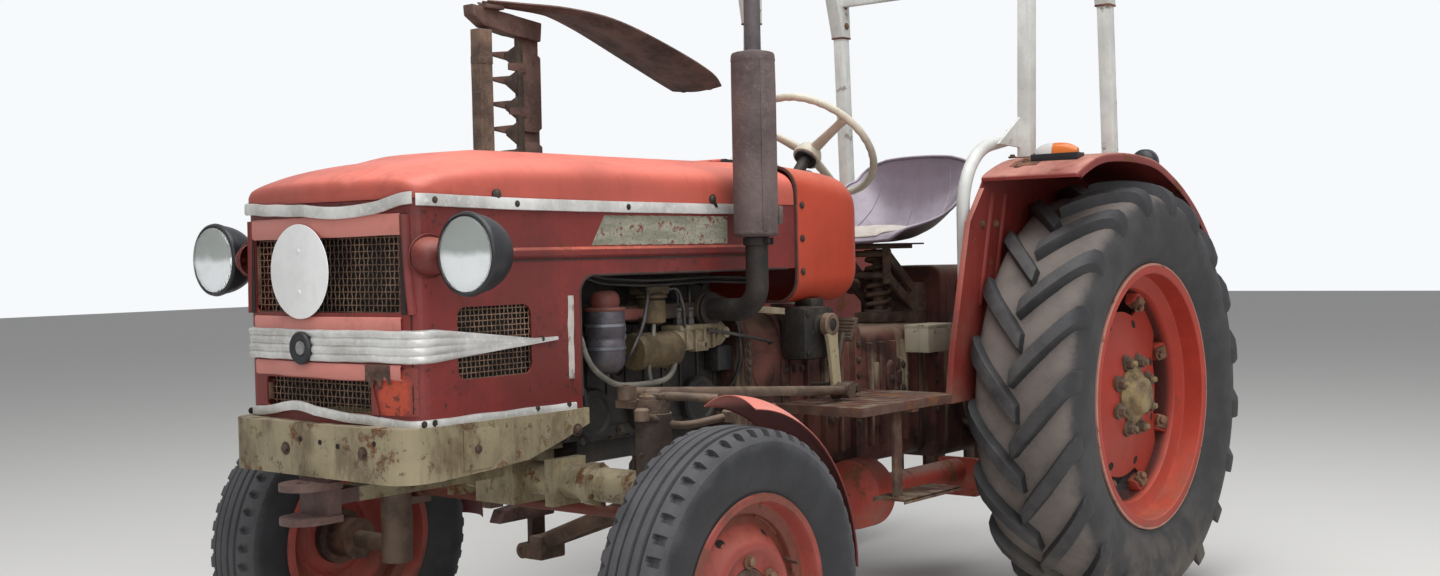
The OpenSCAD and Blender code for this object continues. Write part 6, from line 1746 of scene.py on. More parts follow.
hose(bm,
     [(0.205, 0.330, 0.982), (0.238, 0.318, 0.976), (0.240, 0.296, 0.900), (0.222, 0.262, 0.822),
      (0.160, 0.260, 0.800)], 0.024, 6, 0.0045, 10)
made("fuel_lines", bm, pipe_dark, sharp=40)
bm = bmesh.new()
hose(bm,
     [(0.160, 0.098, 0.905), (0.230, 0.098, 0.890), (0.236, 0.104, 0.850), (0.236, 0.131, 0.809),
      (0.236, 0.201, 0.768), (0.236, 0.302, 0.764), (0.236, 0.380, 0.768), (0.236, 0.409, 0.796),
      (0.234, 0.408, 0.850), (0.216, 0.432, 0.862)], 0.035, 7, 0.0065, 12)
hose(bm, [(0.236, 0.322, 0.768), (0.238, 0.312, 0.800), (0.238, 0.330, 0.850), (0.222, 0.352, 0.900)],
     0.03, 6, 0.0048, 10)
made("pale_hose", bm, hose_pale, sharp=50)
bm = bmesh.new()
block(bm, at(0.150, 0.184, 0.906), at(0.196, 0.636, 0.946), 0.014)
for i in range(3):
    y = 0.205 + 0.190 * i
    blocks(bm, [
        (0.130, 0.172, y - 0.024, y + 0.024, 0.904, 0.949, 0.008),
        (0.128, 0.137, y - 0.034, y + 0.034, 0.900, 0.953, 0.003)])
turned(bm, at(0.196, 0.575, 0.925), (1, 0, 0),
       [(0.040, -0.006), (0.044, -0.002), (0.044, 0.008), (0.036, 0.010), (0, 0.0105)], 40)
for y in (0.300, 0.400):
    turned(bm, at(-0.200, y, 0.800), (0, 0, 1),
           [(0, 0), (0.020, 0.001), (0.034, 0.010), (0.0375, 0.024), (0.0375, 0.104), (0.035, 0.110),
            (0.0375, 0.114), (0.0375, 0.128), (0, 0.130)], 48)
    block(bm, at(-0.180, y - 0.014, 0.846), at(-0.153, y + 0.014, 0.871), 0.003)
turned(bm, at(-0.205, 0.480, 0.720), (0, 1, 0),
       [(0, 0), (0.030, 0.001), (0.048, 0.006), (0.0495, 0.014), (0.0495, 0.120), (0.046, 0.126),
        (0.0495, 0.132), (0.0495, 0.190), (0.042, 0.208), (0, 0.209)], 56)
turned(bm, at(-0.186, 0.500, 0.775), (0, 1, 0),
       [(0, 0), (0.019, 0.002), (0.020, 0.006), (0.020, 0.090), (0, 0.092)], 36)
made("manifold", bm, oily_brown, sharp=35)

# Behind the grille: the radiator core with its tank, fan and hoses, and wires and a bracket in the dark
# of the bay. The radiator stands free in the nose on the beam's casting.
def join(bm, part):
    """Adds another bmesh to this one."""
    copy = bpy.data.meshes.new("part")
    part.to_mesh(copy)
    part.free()
    bm.from_mesh(copy)
    bpy.data.meshes.remove(copy)


core_black = bare("core_black", (0.010, 0.010, 0.011), (0.030, 0.028, 0.026), grime=0.2, rough=0.6, metal=0.1)
bm = bmesh.new()
blocks(bm, [
    (-0.224, 0.224, -0.088, -0.012, 0.700, 0.745, 0.008),
    (-0.224, -0.204, -0.086, -0.014, 0.740, 1.095, 0.003),
    (0.204, 0.224, -0.086, -0.014, 0.740, 1.095, 0.003),
    (-0.206, 0.206, -0.074, -0.026, 0.742, 1.092, 0.0),
    (-0.234, 0.234, -0.095, -0.005, 1.090, 1.139, 0.014)])
for k in range(40):
    block(bm, at(-0.204, -0.0765, 0.750 + 0.0085 * k), at(0.204, -0.0235, 0.7515 + 0.0085 * k), 0.0)
turned(bm, at(0, 0.008, 0.900), (0, 1, 0),
       [(0, 0), (0.030, 0.001), (0.033, 0.005), (0.033, 0.034), (0, 0.036)], 32)
turned(bm, at(0, 0.040, 0.900), (0, 1, 0), [(0.013, 0), (0.013, 0.020), (0, 0.0202)], 20)
for a in angles(4, 0.5):
    way, across = Vector((math.cos(a), 0, math.sin(a))), Vector((-math.sin(a), 0, math.cos(a)))
    centre = at(0, 0.026, 0.900)
    rows = []
    for r, half in ((0.028, 0.018), (0.060, 0.024), (0.120, 0.028), (0.188, 0.028)):
        rows.append([centre + way * r + across * half * t + Vector((0, -0.005 * t + 0.002 * t * t, 0))
                     for t in (-1, -0.5, 0, 0.5, 1)])
    blade = bmesh.new()
    skin(blade, rows)
    bmesh.ops.solidify(blade, geom=list(blade.faces), thickness=0.002)
    join(bm, blade)
made("radiator", bm, core_black, sharp=30)
bm = bmesh.new()
hose(bm, [(0.060, 0.104, 0.990), (0.060, 0.060, 1.005), (0.060, 0.010, 1.060), (0.060, -0.012, 1.112)],
     0.03, 6, 0.021, 20)
hose(bm, [(0.120, 0.070, 0.760), (0.150, 0.030, 0.750), (0.160, -0.020, 0.725)], 0.03, 6, 0.020, 20)
for dx, drop in ((0.0, 0.0), (0.010, 0.012), (0.022, 0.004)):
    hose(bm,
         [(0.232 - dx, 0.072, 1.040), (0.240 - dx, 0.150, 1.012 - drop),
          (0.236 - dx, 0.330, 1.002 - drop), (0.226 - dx, 0.560, 1.006 - drop),
          (0.214 - dx, 0.760, 0.998 - drop), (0.20 - dx, 0.820, 0.985)], 0.05, 6, 0.0036, 8)
hose(bm,
     [(0.170, 0.640, 0.930), (0.220, 0.668, 0.900), (0.224, 0.676, 0.800), (0.190, 0.682, 0.730),
      (0.150, 0.660, 0.700)], 0.03, 6, 0.0048, 10)
hose(bm, [(0.158, 0.150, 0.780), (0.190, 0.150, 0.760), (0.196, 0.150, 0.700), (0.150, 0.160, 0.668)],
     0.02, 6, 0.006, 10)
block(bm, at(0.150, 0.618, 0.770), at(0.196, 0.676, 0.832), 0.008)
made("bay_wires", bm, core_black, sharp=50)
bm = bmesh.new()
side_plate(bm, 0.246, ((0.700, 0.912), (0.826, 0.902), (0.826, 0.918), (0.700, 0.930)), 0.004, 0.001)
pipe(bm, [at(0.200, 0.700, 0.918), at(0.248, 0.706, 0.921)], 0.006, 10)
pipe(bm, [at(0.196, 0.822, 0.906), at(0.248, 0.820, 0.910)], 0.006, 10)
made("pale_bar", bm, alloy_tan, sharp=40)

# Clutch housing, gearbox and rear axle: castings in old dark red under oily dust, with pale streaks of
# dried dirt. Each casting is a run of rounded sections with flanges, ribs, cover plates and bolts.
def streaky(name, dark, light, streak, size=1.0):
    f = Finish(name)
    broad = f.noise(4.5 / size, 5, 0.62)
    fine = f.noise(60 / size, 5, 0.68)
    runs = f.noise(13 / size, 4, 0.6, stretch=(1, 1, 0.10), shift=(2, 5, 1))
    tone = f.mix(f.mask(broad, 0.36, 0.66), dark, light)
    tone = f.mix(f.mask(fine, 0.48, 0.8) * 0.55, tone, shade(light, 1.4))
    pale = f.mask(runs, 0.52, 0.62) * f.mask(f.noise(3.1, 3, 0.5, shift=(7, 1, 3)), 0.40, 0.62)
    tone = f.mix(pale * 0.75, tone, streak)
    oil = f.mask(f.noise(7, 4, 0.6, shift=(3, 8, 2)), 0.52, 0.66)
    tone = f.mix(oil * 0.7, tone, (0.014, 0.011, 0.010))
    dust = f.mask(f.up, 0.3, 1.0) * 0.5
    tone = f.mix(dust, tone, dirt_brown)
    f.set(Base_Color=tone, Roughness=oil * -0.35 + 0.85)
    f.set(Normal=f.bump(fine * 0.8 + broad * 2 + pale * 0.4, 0.002))
    return f


def round_ring(y, half, low, high, r, steps=6, x=0.0):
    corners = ((x + half - r, high - r, 0), (x - half + r, high - r, 90), (x - half + r, low + r, 180),
               (x + half - r, low + r, 270))
    return [at(cx + r * math.cos(math.radians(a0 + 90 * i / steps)), y,
               cz + r * math.sin(math.radians(a0 + 90 * i / steps))) for cx, cz, a0 in corners
            for i in range(steps + 1)]


def casting(bm, sections):
    """A closed run of rounded sections (y, half width, low z, high z, corner radius)."""
    loft(bm, [round_ring(*s) for s in sections])


casting_red = streaky("casting_red", (0.040, 0.014, 0.011), (0.125, 0.040, 0.028), (0.30, 0.255, 0.165))
bm = bmesh.new()
casting(bm,
        [(0.691, 0.222, 0.523, 0.965, 0.148), (0.693, 0.2245, 0.5205, 0.9675, 0.150),
         (0.714, 0.2245, 0.5205, 0.9675, 0.150), (0.716, 0.221, 0.524, 0.964, 0.147)])
casting(bm,
        [(0.714, 0.208, 0.540, 0.925, 0.122), (0.760, 0.203, 0.546, 0.918, 0.120),
         (0.820, 0.202, 0.547, 0.917, 0.118), (0.858, 0.207, 0.542, 0.922, 0.116)])
casting(bm,
        [(0.858, 0.213, 0.542, 0.927, 0.108), (0.862, 0.2145, 0.5405, 0.9285, 0.110),
         (0.882, 0.2145, 0.5405, 0.9285, 0.110), (0.886, 0.212, 0.543, 0.926, 0.108)])
casting(bm,
        [(0.882, 0.172, 0.492, 0.870, 0.060), (0.906, 0.162, 0.474, 0.852, 0.042),
         (1.090, 0.160, 0.472, 0.846, 0.040), (1.240, 0.163, 0.471, 0.849, 0.040)])
casting(bm,
        [(1.238, 0.183, 0.457, 0.866, 0.038), (1.242, 0.1845, 0.4555, 0.8675, 0.040),
         (1.262, 0.1845, 0.4555, 0.8675, 0.040), (1.266, 0.183, 0.457, 0.866, 0.038)])
casting(bm,
        [(1.262, 0.164, 0.460, 0.846, 0.040), (1.300, 0.158, 0.452, 0.838, 0.036),
         (1.640, 0.158, 0.451, 0.839, 0.036)])
casting(bm,
        [(1.638, 0.193, 0.442, 0.836, 0.042), (1.642, 0.1945, 0.4405, 0.8375, 0.044),
         (1.662, 0.1945, 0.4405, 0.8375, 0.044), (1.666, 0.193, 0.442, 0.836, 0.042)])
casting(bm,
        [(1.662, 0.186, 0.436, 0.786, 0.044), (1.700, 0.188, 0.431, 0.789, 0.040),
         (2.040, 0.188, 0.431, 0.789, 0.040), (2.059, 0.180, 0.438, 0.782, 0.036)])
for y in (0.940, 1.020, 1.100, 1.180, 1.330, 1.390, 1.450, 1.510, 1.570):
    for s in (1, -1):
        side_block(bm, s, 0.150, 0.1775, (y, 0.505), (y + 0.011, 0.798), 0.003)
for s in (1, -1):
    for y0, y1, z0, z1 in ((0.960, 1.010, 0.560, 0.760), (1.118, 1.168, 0.590, 0.770),
                           (1.345, 1.382, 0.560, 0.740)):
        side_block(bm, s, 0.156, 0.170, (y0, z0), (y1, z1), 0.004)
    turned(bm, at(s * 0.150, 1.480, 0.690), (s, 0, 0),
           [(0.060, 0), (0.060, 0.018), (0.055, 0.022), (0.022, 0.024), (0.018, 0.0275), (0, 0.0275)], 40)
    turned(bm, at(s * 0.196, 0.790, 0.760), (s, 0, 0),
           [(0.046, 0), (0.046, 0.010), (0.040, 0.014), (0, 0.0145)], 36)
turned(bm, at(0, 1.180, 0.846), (0, 0, 1),
       [(0.105, -0.004), (0.105, 0.006), (0.080, 0.012), (0.070, 0.030), (0.058, 0.052), (0.052, 0.070),
        (0.044, 0.0735), (0, 0.074)], 48)
made("gearbox", bm, casting_red, replaces=["transmission"], sharp=35)
spots, ways = [], []
for i in range(9):
    for s in (1, -1):
        spots.append(at(s * 0.2245, 0.7035, 0.655 + 0.022 * i))
        ways.append((s, 0, 0))
for y in (0.872, 1.252, 1.652):
    for k in range(6):
        z = 0.58 + 0.044 * k
        reach = {0.872: 0.2145, 1.252: 0.1845, 1.652: 0.1945}[y]
        spots += [at(reach, y, z), at(-reach, y, z)]
        ways += [(1, 0, 0), (-1, 0, 0)]
for s in (1, -1):
    for y0, y1, z0, z1 in ((0.960, 1.010, 0.560, 0.760), (1.118, 1.168, 0.590, 0.770)):
        for y, z in ((y0 + 0.009, z0 + 0.010), (y1 - 0.009, z0 + 0.010), (y0 + 0.009, z1 - 0.010),
                     (y1 - 0.009, z1 - 0.010)):
            spots.append(at(s * 0.170, y, z))
            ways.append((s, 0, 0))
    for a in angles(6):
        spots.append(at(s * 0.173, 1.480 + 0.040 * math.cos(a), 0.690 + 0.040 * math.sin(a)))
        ways.append((s, 0, 0))
bolts.grow("gearbox_bolts", spots, oily_brown, slot="casting_red", facing=ways, Radius=0.0078, Height=0.0055)

# The rear axle's trumpets, the lift's casing with its shaft, the power take-off and the top link's ears.
# Brackets under the trumpets carry the lower links' pins.
lift_y, lift_up, link_x, shaft_z = 1.960, 0.960, 0.310, 0.600
bm = bmesh.new()
for s in (1, -1):
    turned(bm, at(s * 0.186, rear_y, rear_z), (s, 0, 0),
           [(0.128, 0), (0.130, 0.004), (0.128, 0.040), (0.150, 0.0505), (0.150, 0.088), (0.144, 0.092),
            (0.100, 0.100), (0.084, 0.130), (0.077, 0.160), (0.077, 0.262), (0.090, 0.272),
            (0.1165, 0.277), (0.1175, 0.279), (0.1175, 0.2885), (0.060, 0.2895), (0, 0.2895)], 56)
casting(bm,
        [(1.761, 0.146, 0.796, 1.006, 0.040), (1.765, 0.1495, 0.7925, 1.0095, 0.040),
         (2.034, 0.1495, 0.7925, 1.0095, 0.040), (2.039, 0.146, 0.796, 1.006, 0.040)])
for k in range(5):
    block(bm, at(-0.152, 1.790 + 0.055 * k, 0.812), at(0.152, 1.800 + 0.055 * k, 0.960), 0.003)
for s in (1, -1):
    turned(bm, at(s * 0.148, lift_y, lift_up), (s, 0, 0),
           [(0.046, 0), (0.046, 0.012), (0.036, 0.018), (0.0295, 0.022), (0.0295, 0.140), (0.0235, 0.145),
            (0.0235, 0.165), (0, 0.1655)], 40)
    side_block(bm, s, 0.027, 0.039, (2.036, 0.802), (2.121, 0.899), 0.006)
    side_block(bm, s, 0.191, 0.269, (lift_y - 0.029, 0.407), (lift_y + 0.033, 0.473), 0.010)
    side_block(bm, s, 0.201, 0.261, (rear_y - 0.039, 0.407), (lift_y + 0.033, 0.544), 0.010)
    pipe(bm, [at(s * 0.266, lift_y, 0.440), at(s * 0.343, lift_y, 0.440)], 0.0118, 24)
block(bm, at(-0.039, 2.036, 0.801), at(0.039, 2.055, 0.899), 0.004)
turned(bm, at(0, 2.058, shaft_z), (0, 1, 0),
       [(0.077, 0), (0.0775, 0.003), (0.0775, 0.021), (0.050, 0.0235), (0.024, 0.0238), (0.0235, 0.018),
        (0, 0.018)], 48)
made("axle_trumpets", bm, casting_red, replaces=["rear_axle"], sharp=35)
bm = bmesh.new()
rows = []
for y, groove, crest in ((2.070, 0.0150, 0.0172), (2.160, 0.0150, 0.0172), (2.163, 0.0145, 0.0145),
                         (2.1755, 0.0165, 0.0165)):
    rows.append([at(r * math.cos(a), y, shaft_z + r * math.sin(a))
                 for a, r in zip(angles(24), 12 * (groove, crest))])
loft(bm, rows)
made("take_off_shaft", bm, bright_oil, sharp=25)
spots, ways = [], []
for s in (1, -1):
    for a in angles(10):
        spots.append(at(s * 0.2745, rear_y + 0.138 * math.cos(a), rear_z + 0.138 * math.sin(a)))
        ways.append((s, 0, 0))
    for a in angles(8, 0.5):
        spots.append(at(s * 0.4615, rear_y + 0.103 * math.cos(a), rear_z + 0.103 * math.sin(a)))
        ways.append((-s, 0, 0))
for a in angles(6):
    spots.append(at(0.064 * math.cos(a), 2.0805, shaft_z + 0.064 * math.sin(a)))
    ways.append((0, 1, 0))
bolts.grow("axle_bolts", spots, oily_brown, slot="casting_red", facing=ways, Radius=0.0085, Height=0.007)

# Steering gear under the cowl: a rounded iron box with a bolted cover, its column and the cream steering
# arm. The arm's boss is rusty and its lower part keeps its cream paint.
bm = bmesh.new()
block(bm, at(0.2155, 0.845, 0.782), at(0.298, 0.976, 0.920), 0.020)
turned(bm, at(0.292, 0.918, 0.872), (1, 0, 0),
       [(0.040, -0.004), (0.038, 0.003), (0.0265, 0.008), (0.0255, 0.0155), (0.0158, 0.0165),
        (0.0158, 0.041), (0.010, 0.043), (0, 0.043)], 40)
for y, z in ((0.862, 0.802), (0.862, 0.902), (0.960, 0.802), (0.960, 0.904), (0.880, 0.850)):
    turned(bm, at(0.296, y, z), (1, 0, 0),
           [(0.009, -0.002), (0.009, 0.0035), (0.007, 0.0045), (0, 0.0046)], 6)
block(bm, at(0.225, 0.900, 0.916), at(0.280, 0.956, 0.940), 0.006)
hub_end = at(0, 1.271, 1.324)
column_tilt = math.radians(45)
down = Vector((0, -math.sin(column_tilt), -math.cos(column_tilt)))
pipe(bm, [hub_end + down * 0.329, hub_end + down * 0.152], 0.0335, 32)
pipe(bm, [hub_end + down * 0.300, hub_end - down * 0.012], 0.0168, 24)
turned(bm, hub_end + down * 0.150, -down,
       [(0.0338, -0.004), (0.0338, 0.002), (0.026, 0.010), (0.017, 0.014)], 32)
made("steering_gear", bm, black_iron_and_shade, replaces=["steering_column"], sharp=35)

arm_top, arm_low = at(0, 0.918, 0.872), at(0, 0.940, 0.702)
bm = bmesh.new()
along = (arm_low - arm_top).normalized()
across = Vector((0, along.z, -along.y))
x0, x1 = 0.3170, 0.3340
rows = []
for share, half in ((0.020, 0.024), (0.050, 0.0185), (0.090, 0.0165), (0.150, 0.0165), (0.165, 0.020)):
    p = arm_top + along * share
    rows.append([p + across * half * u + Vector((x, 0, 0))
                 for u, x in ((-1, x0 + 0.004), (-0.8, x0), (0.8, x0), (1, x0 + 0.004), (1, x1 - 0.004),
                              (0.8, x1), (-0.8, x1), (-1, x1 - 0.004))])
loft(bm, rows)
made("steering_arm", bm, cream_paint, "pitman_arm", replaces=["pitman_arm"], sharp=35)
bm = bmesh.new()
turned(bm, arm_top + Vector((0.3112, 0, 0)), (1, 0, 0),
       [(0.0165, 0), (0.027, 0), (0.0305, 0.003), (0.0305, 0.020), (0.027, 0.0232), (0.0165, 0.0234)], 44,
       closed=True)
turned(bm, arm_low + Vector((0.3168, 0, 0)), (1, 0, 0),
       [(0.0005, 0), (0.020, 0), (0.0235, 0.002), (0.0235, 0.0155), (0.020, 0.0178), (0.0005, 0.0178)],
       40, closed=True)
made("steering_arm_bosses", bm, brown_forging, "pitman_arm", sharp=35)

# Footplates of thin dark plate with a turned-down edge, a hanging step and three pedals with ribbed pads.
# The levers of the gears stand on the gearbox's turret with worn black knobs.
foot_dark = enamel("foot_dark", (0.085, 0.036, 0.028), rust=0.75, chips=0.8, dust=1.0, size=0.5,
                   gloss=0.6, dust_top=1.0)
bm = bmesh.new()
foot_blocks = [  # x, y and z from and to, and the bevel: plate, treads, brackets and hanging step
    (0.2355, 0.4995, 0.797, 1.2255, 0.6702, 0.6748, 0.0015),
    (0.4958, 0.5005, 0.800, 1.2255, 0.652, 0.675, 0.0015),
    (0.236, 0.499, 0.7965, 0.8010, 0.652, 0.675, 0.0015)]
foot_blocks += [(0.262, 0.470, 0.838 + 0.042 * k, 0.844 + 0.042 * k, 0.6735, 0.6760, 0.001) for k in range(9)]
foot_blocks += [
    (0.168, 0.497, 1.032, 1.064, 0.643, 0.6705, 0.003), (0.163, 0.475, 1.274, 1.298, 0.643, 0.670, 0.003),
    (0.422, 0.473, 1.182, 1.288, 0.644, 0.670, 0.003), (0.4462, 0.4578, 1.007, 1.042, 0.424, 0.645, 0.002),
    (0.401, 0.499, 0.986, 1.264, 0.4185, 0.4245, 0.0015), (0.401, 0.405, 0.986, 1.264, 0.4125, 0.4245, 0.001),
    (0.495, 0.499, 0.986, 1.264, 0.4125, 0.4245, 0.001)]
foot_blocks += [(0.410, 0.490, 1.006 + 0.036 * k, 1.012 + 0.036 * k, 0.4235, 0.4252, 0.0006)
                for k in range(7)]
for s in (1, -1):
    for x0, x1, y0, y1, z0, z1, bevel in foot_blocks:
        side_block(bm, s, x0, x1, (y0, z0), (y1, z1), bevel)
made("footplates", bm, foot_dark, replaces=["footplates"], sharp=35)
bm = bmesh.new()
for x in (0.300, -0.290, -0.355):
    pipe(bm, [at(x, 0.956, 0.716), at(x, 0.985, 0.772), at(x, 1.006, 0.830), at(x, 1.012, 0.846)], 0.0088, 16)
    hose(bm, [(x, 0.956, 0.717), (x, 0.972, 0.707), (x, 1.040, 0.699)], 0.012, 4, 0.0078, 16)
    turned(bm, at(x - 0.016, 1.040, 0.699), (1, 0, 0),
           [(0.012, 0), (0.017, 0.001), (0.017, 0.031), (0.012, 0.032)], 28, closed=True)
    pad = bmesh.new()
    block(pad, (-0.030, -0.034, -0.0045), (0.030, 0.034, 0.0030), 0.003)
    for k in range(6):
        block(pad, (-0.026, -0.028 + 0.010 * k, 0.0025), (0.026, -0.023 + 0.010 * k, 0.0048), 0.001)
    place = Matrix.Translation(at(x, 1.022, 0.855)) @ Matrix.Rotation(math.radians(62), 4, "X")
    bmesh.ops.transform(pad, matrix=place, verts=pad.verts)
    join(bm, pad)
pipe(bm, [at(0.1655, 1.040, 0.699), at(0.329, 1.040, 0.699)], 0.0118, 20)
pipe(bm, [at(-0.384, 1.040, 0.699), at(-0.1655, 1.040, 0.699)], 0.0118, 20)
made("pedals", bm, oily_brown, sharp=35)
knob_black = bare("knob_black", (0.012, 0.012, 0.012), (0.035, 0.034, 0.032), grime=0.2, rough=0.35,
                  metal=0.0, size=0.4)
bm = bmesh.new()
hose(bm, [(0, 1.180, 0.918), (0.012, 1.205, 1.010), (0.030, 1.250, 1.130)], 0.03, 6, 0.0078, 16)
hose(bm, [(-0.028, 1.196, 0.918), (-0.050, 1.220, 0.985), (-0.090, 1.270, 1.060)], 0.03, 6, 0.0068, 16)
for centre, r in (((0.030, 1.250, 1.138), 0.0175), ((-0.090, 1.270, 1.066), 0.0146)):
    turned(bm, at(*centre), (0.1, 0.3, 1),
           [(r * math.sin(a), -r * math.cos(a)) for a in (math.pi * k / 14 for k in range(15))], 28)
turned(bm, at(0, 1.180, 0.916), (0, 0, 1),
       [(0.050, 0), (0.046, 0.006), (0.034, 0.011), (0.036, 0.016), (0.022, 0.022), (0.012, 0.030),
        (0, 0.031)], 32)
made("gear_levers", bm, knob_black, sharp=35)

# Belt drive of the mower beside the gearbox: a domed belt guard in faded red, its tube and a square flange.
# The drag arms, the hinge's fork and the drive's pulley hang under the gearbox in rusty steel.
guard_red = enamel("guard_red", (0.36, 0.050, 0.034), lit_faded_top=(0.23, 0.140, 0.115), rust=0.75, chips=1.0,
                   dust=0.9, size=0.5, gloss=0.45, dust_top=0.6)
guard_x, guard_z = 0.272, 0.408
bm = bmesh.new()
turned(bm, at(guard_x, 1.150, guard_z), (0, -1, 0),
       [(0.060, 0.001), (0.093, 0.001), (0.0945, 0.003), (0.0945, 0.070), (0.092, 0.078), (0.080, 0.086),
        (0.062, 0.094), (0.050, 0.098), (0, 0.0985)], 56)
pipe(bm, [at(guard_x, 1.148, guard_z), at(guard_x, 1.628, guard_z)], 0.0352, 32)
casting(bm,
        [(1.621, 0.067, 0.333, 0.445, 0.012, 4, guard_x + 0.008),
         (1.639, 0.067, 0.333, 0.445, 0.012, 4, guard_x + 0.008)])
turned(bm, at(guard_x, 1.240, guard_z), (0, 1, 0),
       [(0.0352, 0), (0.0358, 0.002), (0.0358, 0.018), (0.0352, 0.020)], 40, closed=True)
made("belt_guard", bm, guard_red, replaces=["mower_carrier"], sharp=35)
bolts.grow("belt_guard_bolts",
           [at(guard_x + 0.070 * math.cos(a), 1.0690, guard_z + 0.070 * math.sin(a))
            for a in (0.4, 1.9, 3.4, 4.9)], rusty_bolt, slot="mower_red", facing=[(0, -1, 0)] * 4,
           Radius=0.008, Height=0.005)
carrier_rust = bare("carrier_rust", (0.060, 0.032, 0.022), (0.165, 0.092, 0.060), grime=0.45, rough=0.7,
                    metal=0.2, size=0.7, depth=0.0018)
bm = bmesh.new()
hinge_x, hinge_z = -0.745, 0.190
pipe(bm, [at(-0.131, 0.880, 0.440), at(hinge_x + 0.061, 0.860, hinge_z + 0.030)], 0.0235, 28)
pipe(bm, [at(-0.131, 1.180, 0.440), at(hinge_x + 0.063, 0.900, hinge_z + 0.026)], 0.0195, 28)
block(bm, at(hinge_x + 0.031, 0.827, hinge_z - 0.023), at(hinge_x + 0.083, 0.929, hinge_z + 0.049), 0.008)
for y in (0.8265, 0.9125):
    block(bm, at(hinge_x + 0.004, y, hinge_z - 0.022), at(hinge_x + 0.050, y + 0.017, hinge_z + 0.022), 0.004)
    turned(bm, at(hinge_x, y, hinge_z), (0, 1, 0),
           [(0.0123, 0), (0.022, 0), (0.0237, 0.002), (0.0237, 0.015), (0.022, 0.017), (0.0123, 0.017)],
           36, closed=True)
for y in (0.850, 1.150):
    block(bm, at(-0.149, y, 0.425), at(0.149, y + 0.060, 0.469), 0.006)
blocks(bm, [
    (0.141, 0.249, 1.151, 1.209, 0.401, 0.439, 0.006),
    (-0.029, 0.029, 0.908, 1.152, 0.425, 0.445, 0.004)])
turned(bm, at(-0.110, 0.976, 0.380), (0, 1, 0),
       [(0, 0.002), (0.024, 0.002), (0.030, 0.008), (0.060, 0.008), (0.0695, 0.000), (0.0695, 0.004),
        (0.060, 0.013), (0.0695, 0.022), (0.0695, 0.034), (0.058, 0.033), (0.050, 0.012), (0, 0.012)], 56)
pipe(bm, [at(-0.110, 0.988, 0.380), at(-0.110, 1.180, 0.380)], 0.0195, 24)
block(bm, at(-0.134, 1.151, 0.361), at(-0.086, 1.199, 0.426), 0.006)
made("mower_carrier", bm, carrier_rust, sharp=35)

# Exhaust: a rusty brown silencer with rolled ends, a lapped seam and a clamp, a thin stack and a black
# elbow. Scale and soot make the pipe's colour uneven, and the stack's mouth is cut at a slant.
exhaust_rust = bare("exhaust_rust", (0.075, 0.055, 0.054), (0.165, 0.122, 0.115), grime=0.18, rough=0.72,
                    metal=0.2, size=1.1, depth=0.0025)
stack_blue = bare("stack_blue", (0.060, 0.052, 0.060), (0.125, 0.105, 0.112), grime=0.12, rough=0.6,
                  metal=0.3, size=0.6)
elbow_black = bare("elbow_black", (0.007, 0.006, 0.006), (0.026, 0.019, 0.016), grime=0.2, rough=0.7,
                   metal=0.1, size=0.6, depth=0.002)
pipe_x, pipe_y = 0.357, 0.575
bm = bmesh.new()
rows = []
for z, r in ((1.0985, 0.0285), (1.0990, 0.0440), (1.1030, 0.0505), (1.1060, 0.0532), (1.1090, 0.0536),
             (1.1130, 0.0524), (1.1170, 0.0528), (1.1600, 0.0532), (1.2100, 0.0534), (1.2600, 0.0531),
             (1.3100, 0.0534), (1.3600, 0.0532), (1.4100, 0.0534), (1.4600, 0.0532), (1.5090, 0.0530),
             (1.5130, 0.0526), (1.5165, 0.0537), (1.5200, 0.0534), (1.5250, 0.0530), (1.5310, 0.0522),
             (1.5350, 0.0500), (1.5372, 0.0440), (1.5378, 0.0205)):
    row = []
    for a in angles(72):
        dent = 0.0022 * max(0.0, noise.noise(Vector((math.cos(a) * 1.3, math.sin(a) * 1.3, z * 7))))
        dent += 0.0030 * math.exp(-((a - 5.3) / 0.35) ** 2 - ((z - 1.30) / 0.04) ** 2)
        row.append(at(pipe_x + (r - dent) * math.cos(a), pipe_y + (r - dent) * math.sin(a), z))
    rows.append(row)
loft(bm, rows)
seam = math.radians(-28)
out = Vector((math.cos(seam), math.sin(seam), 0))
plate(bm,
      [at(pipe_x, pipe_y, z) + out * 0.0522 + Vector((-out.y, out.x, 0)) * t
       for z, t in ((1.112, -0.006), (1.112, 0.006), (1.514, 0.006), (1.514, -0.006))], out, 0.0018,
      0.0006)
block(bm, at(pipe_x + 0.030, pipe_y + 0.028, 1.128), at(pipe_x + 0.049, pipe_y + 0.044, 1.172), 0.004)
made("silencer", bm, exhaust_rust, replaces=["exhaust"], sharp=35)
bm = bmesh.new()
rows = [[at(pipe_x + r * math.cos(a), pipe_y + r * math.sin(a),
            z + (0.012 * math.cos(a) - 0.012 if i in (2, 3) else 0.0)) for a in angles(40)]
        for i, (r, z) in enumerate(((0.0198, 1.534), (0.0196, 1.900), (0.0198, 1.9595), (0.0175, 1.9595),
                                    (0.0172, 1.850), (0.0001, 1.8495)))]
loft(bm, rows)
turned(bm, at(pipe_x, pipe_y, 1.536), (0, 0, 1),
       [(0.0199, 0), (0.0245, 0.001), (0.0245, 0.004), (0.0225, 0.006), (0.0199, 0.0065)], 44,
       closed=True)
made("stack", bm, stack_blue, sharp=40)
bm = bmesh.new()
curve = [at(pipe_x, pipe_y, 1.100), at(pipe_x, pipe_y, 1.040), at(pipe_x, pipe_y, 0.985)]
curve += [at(pipe_x - 0.060 + 0.060 * math.cos(a), pipe_y, 0.985 - 0.060 * math.sin(a))
          for a in (math.radians(9 * k) for k in range(1, 11))]
curve += [at(0.250, pipe_y, 0.925), at(0.2055, pipe_y, 0.925)]
pipe(bm, curve, 0.0272, 32)
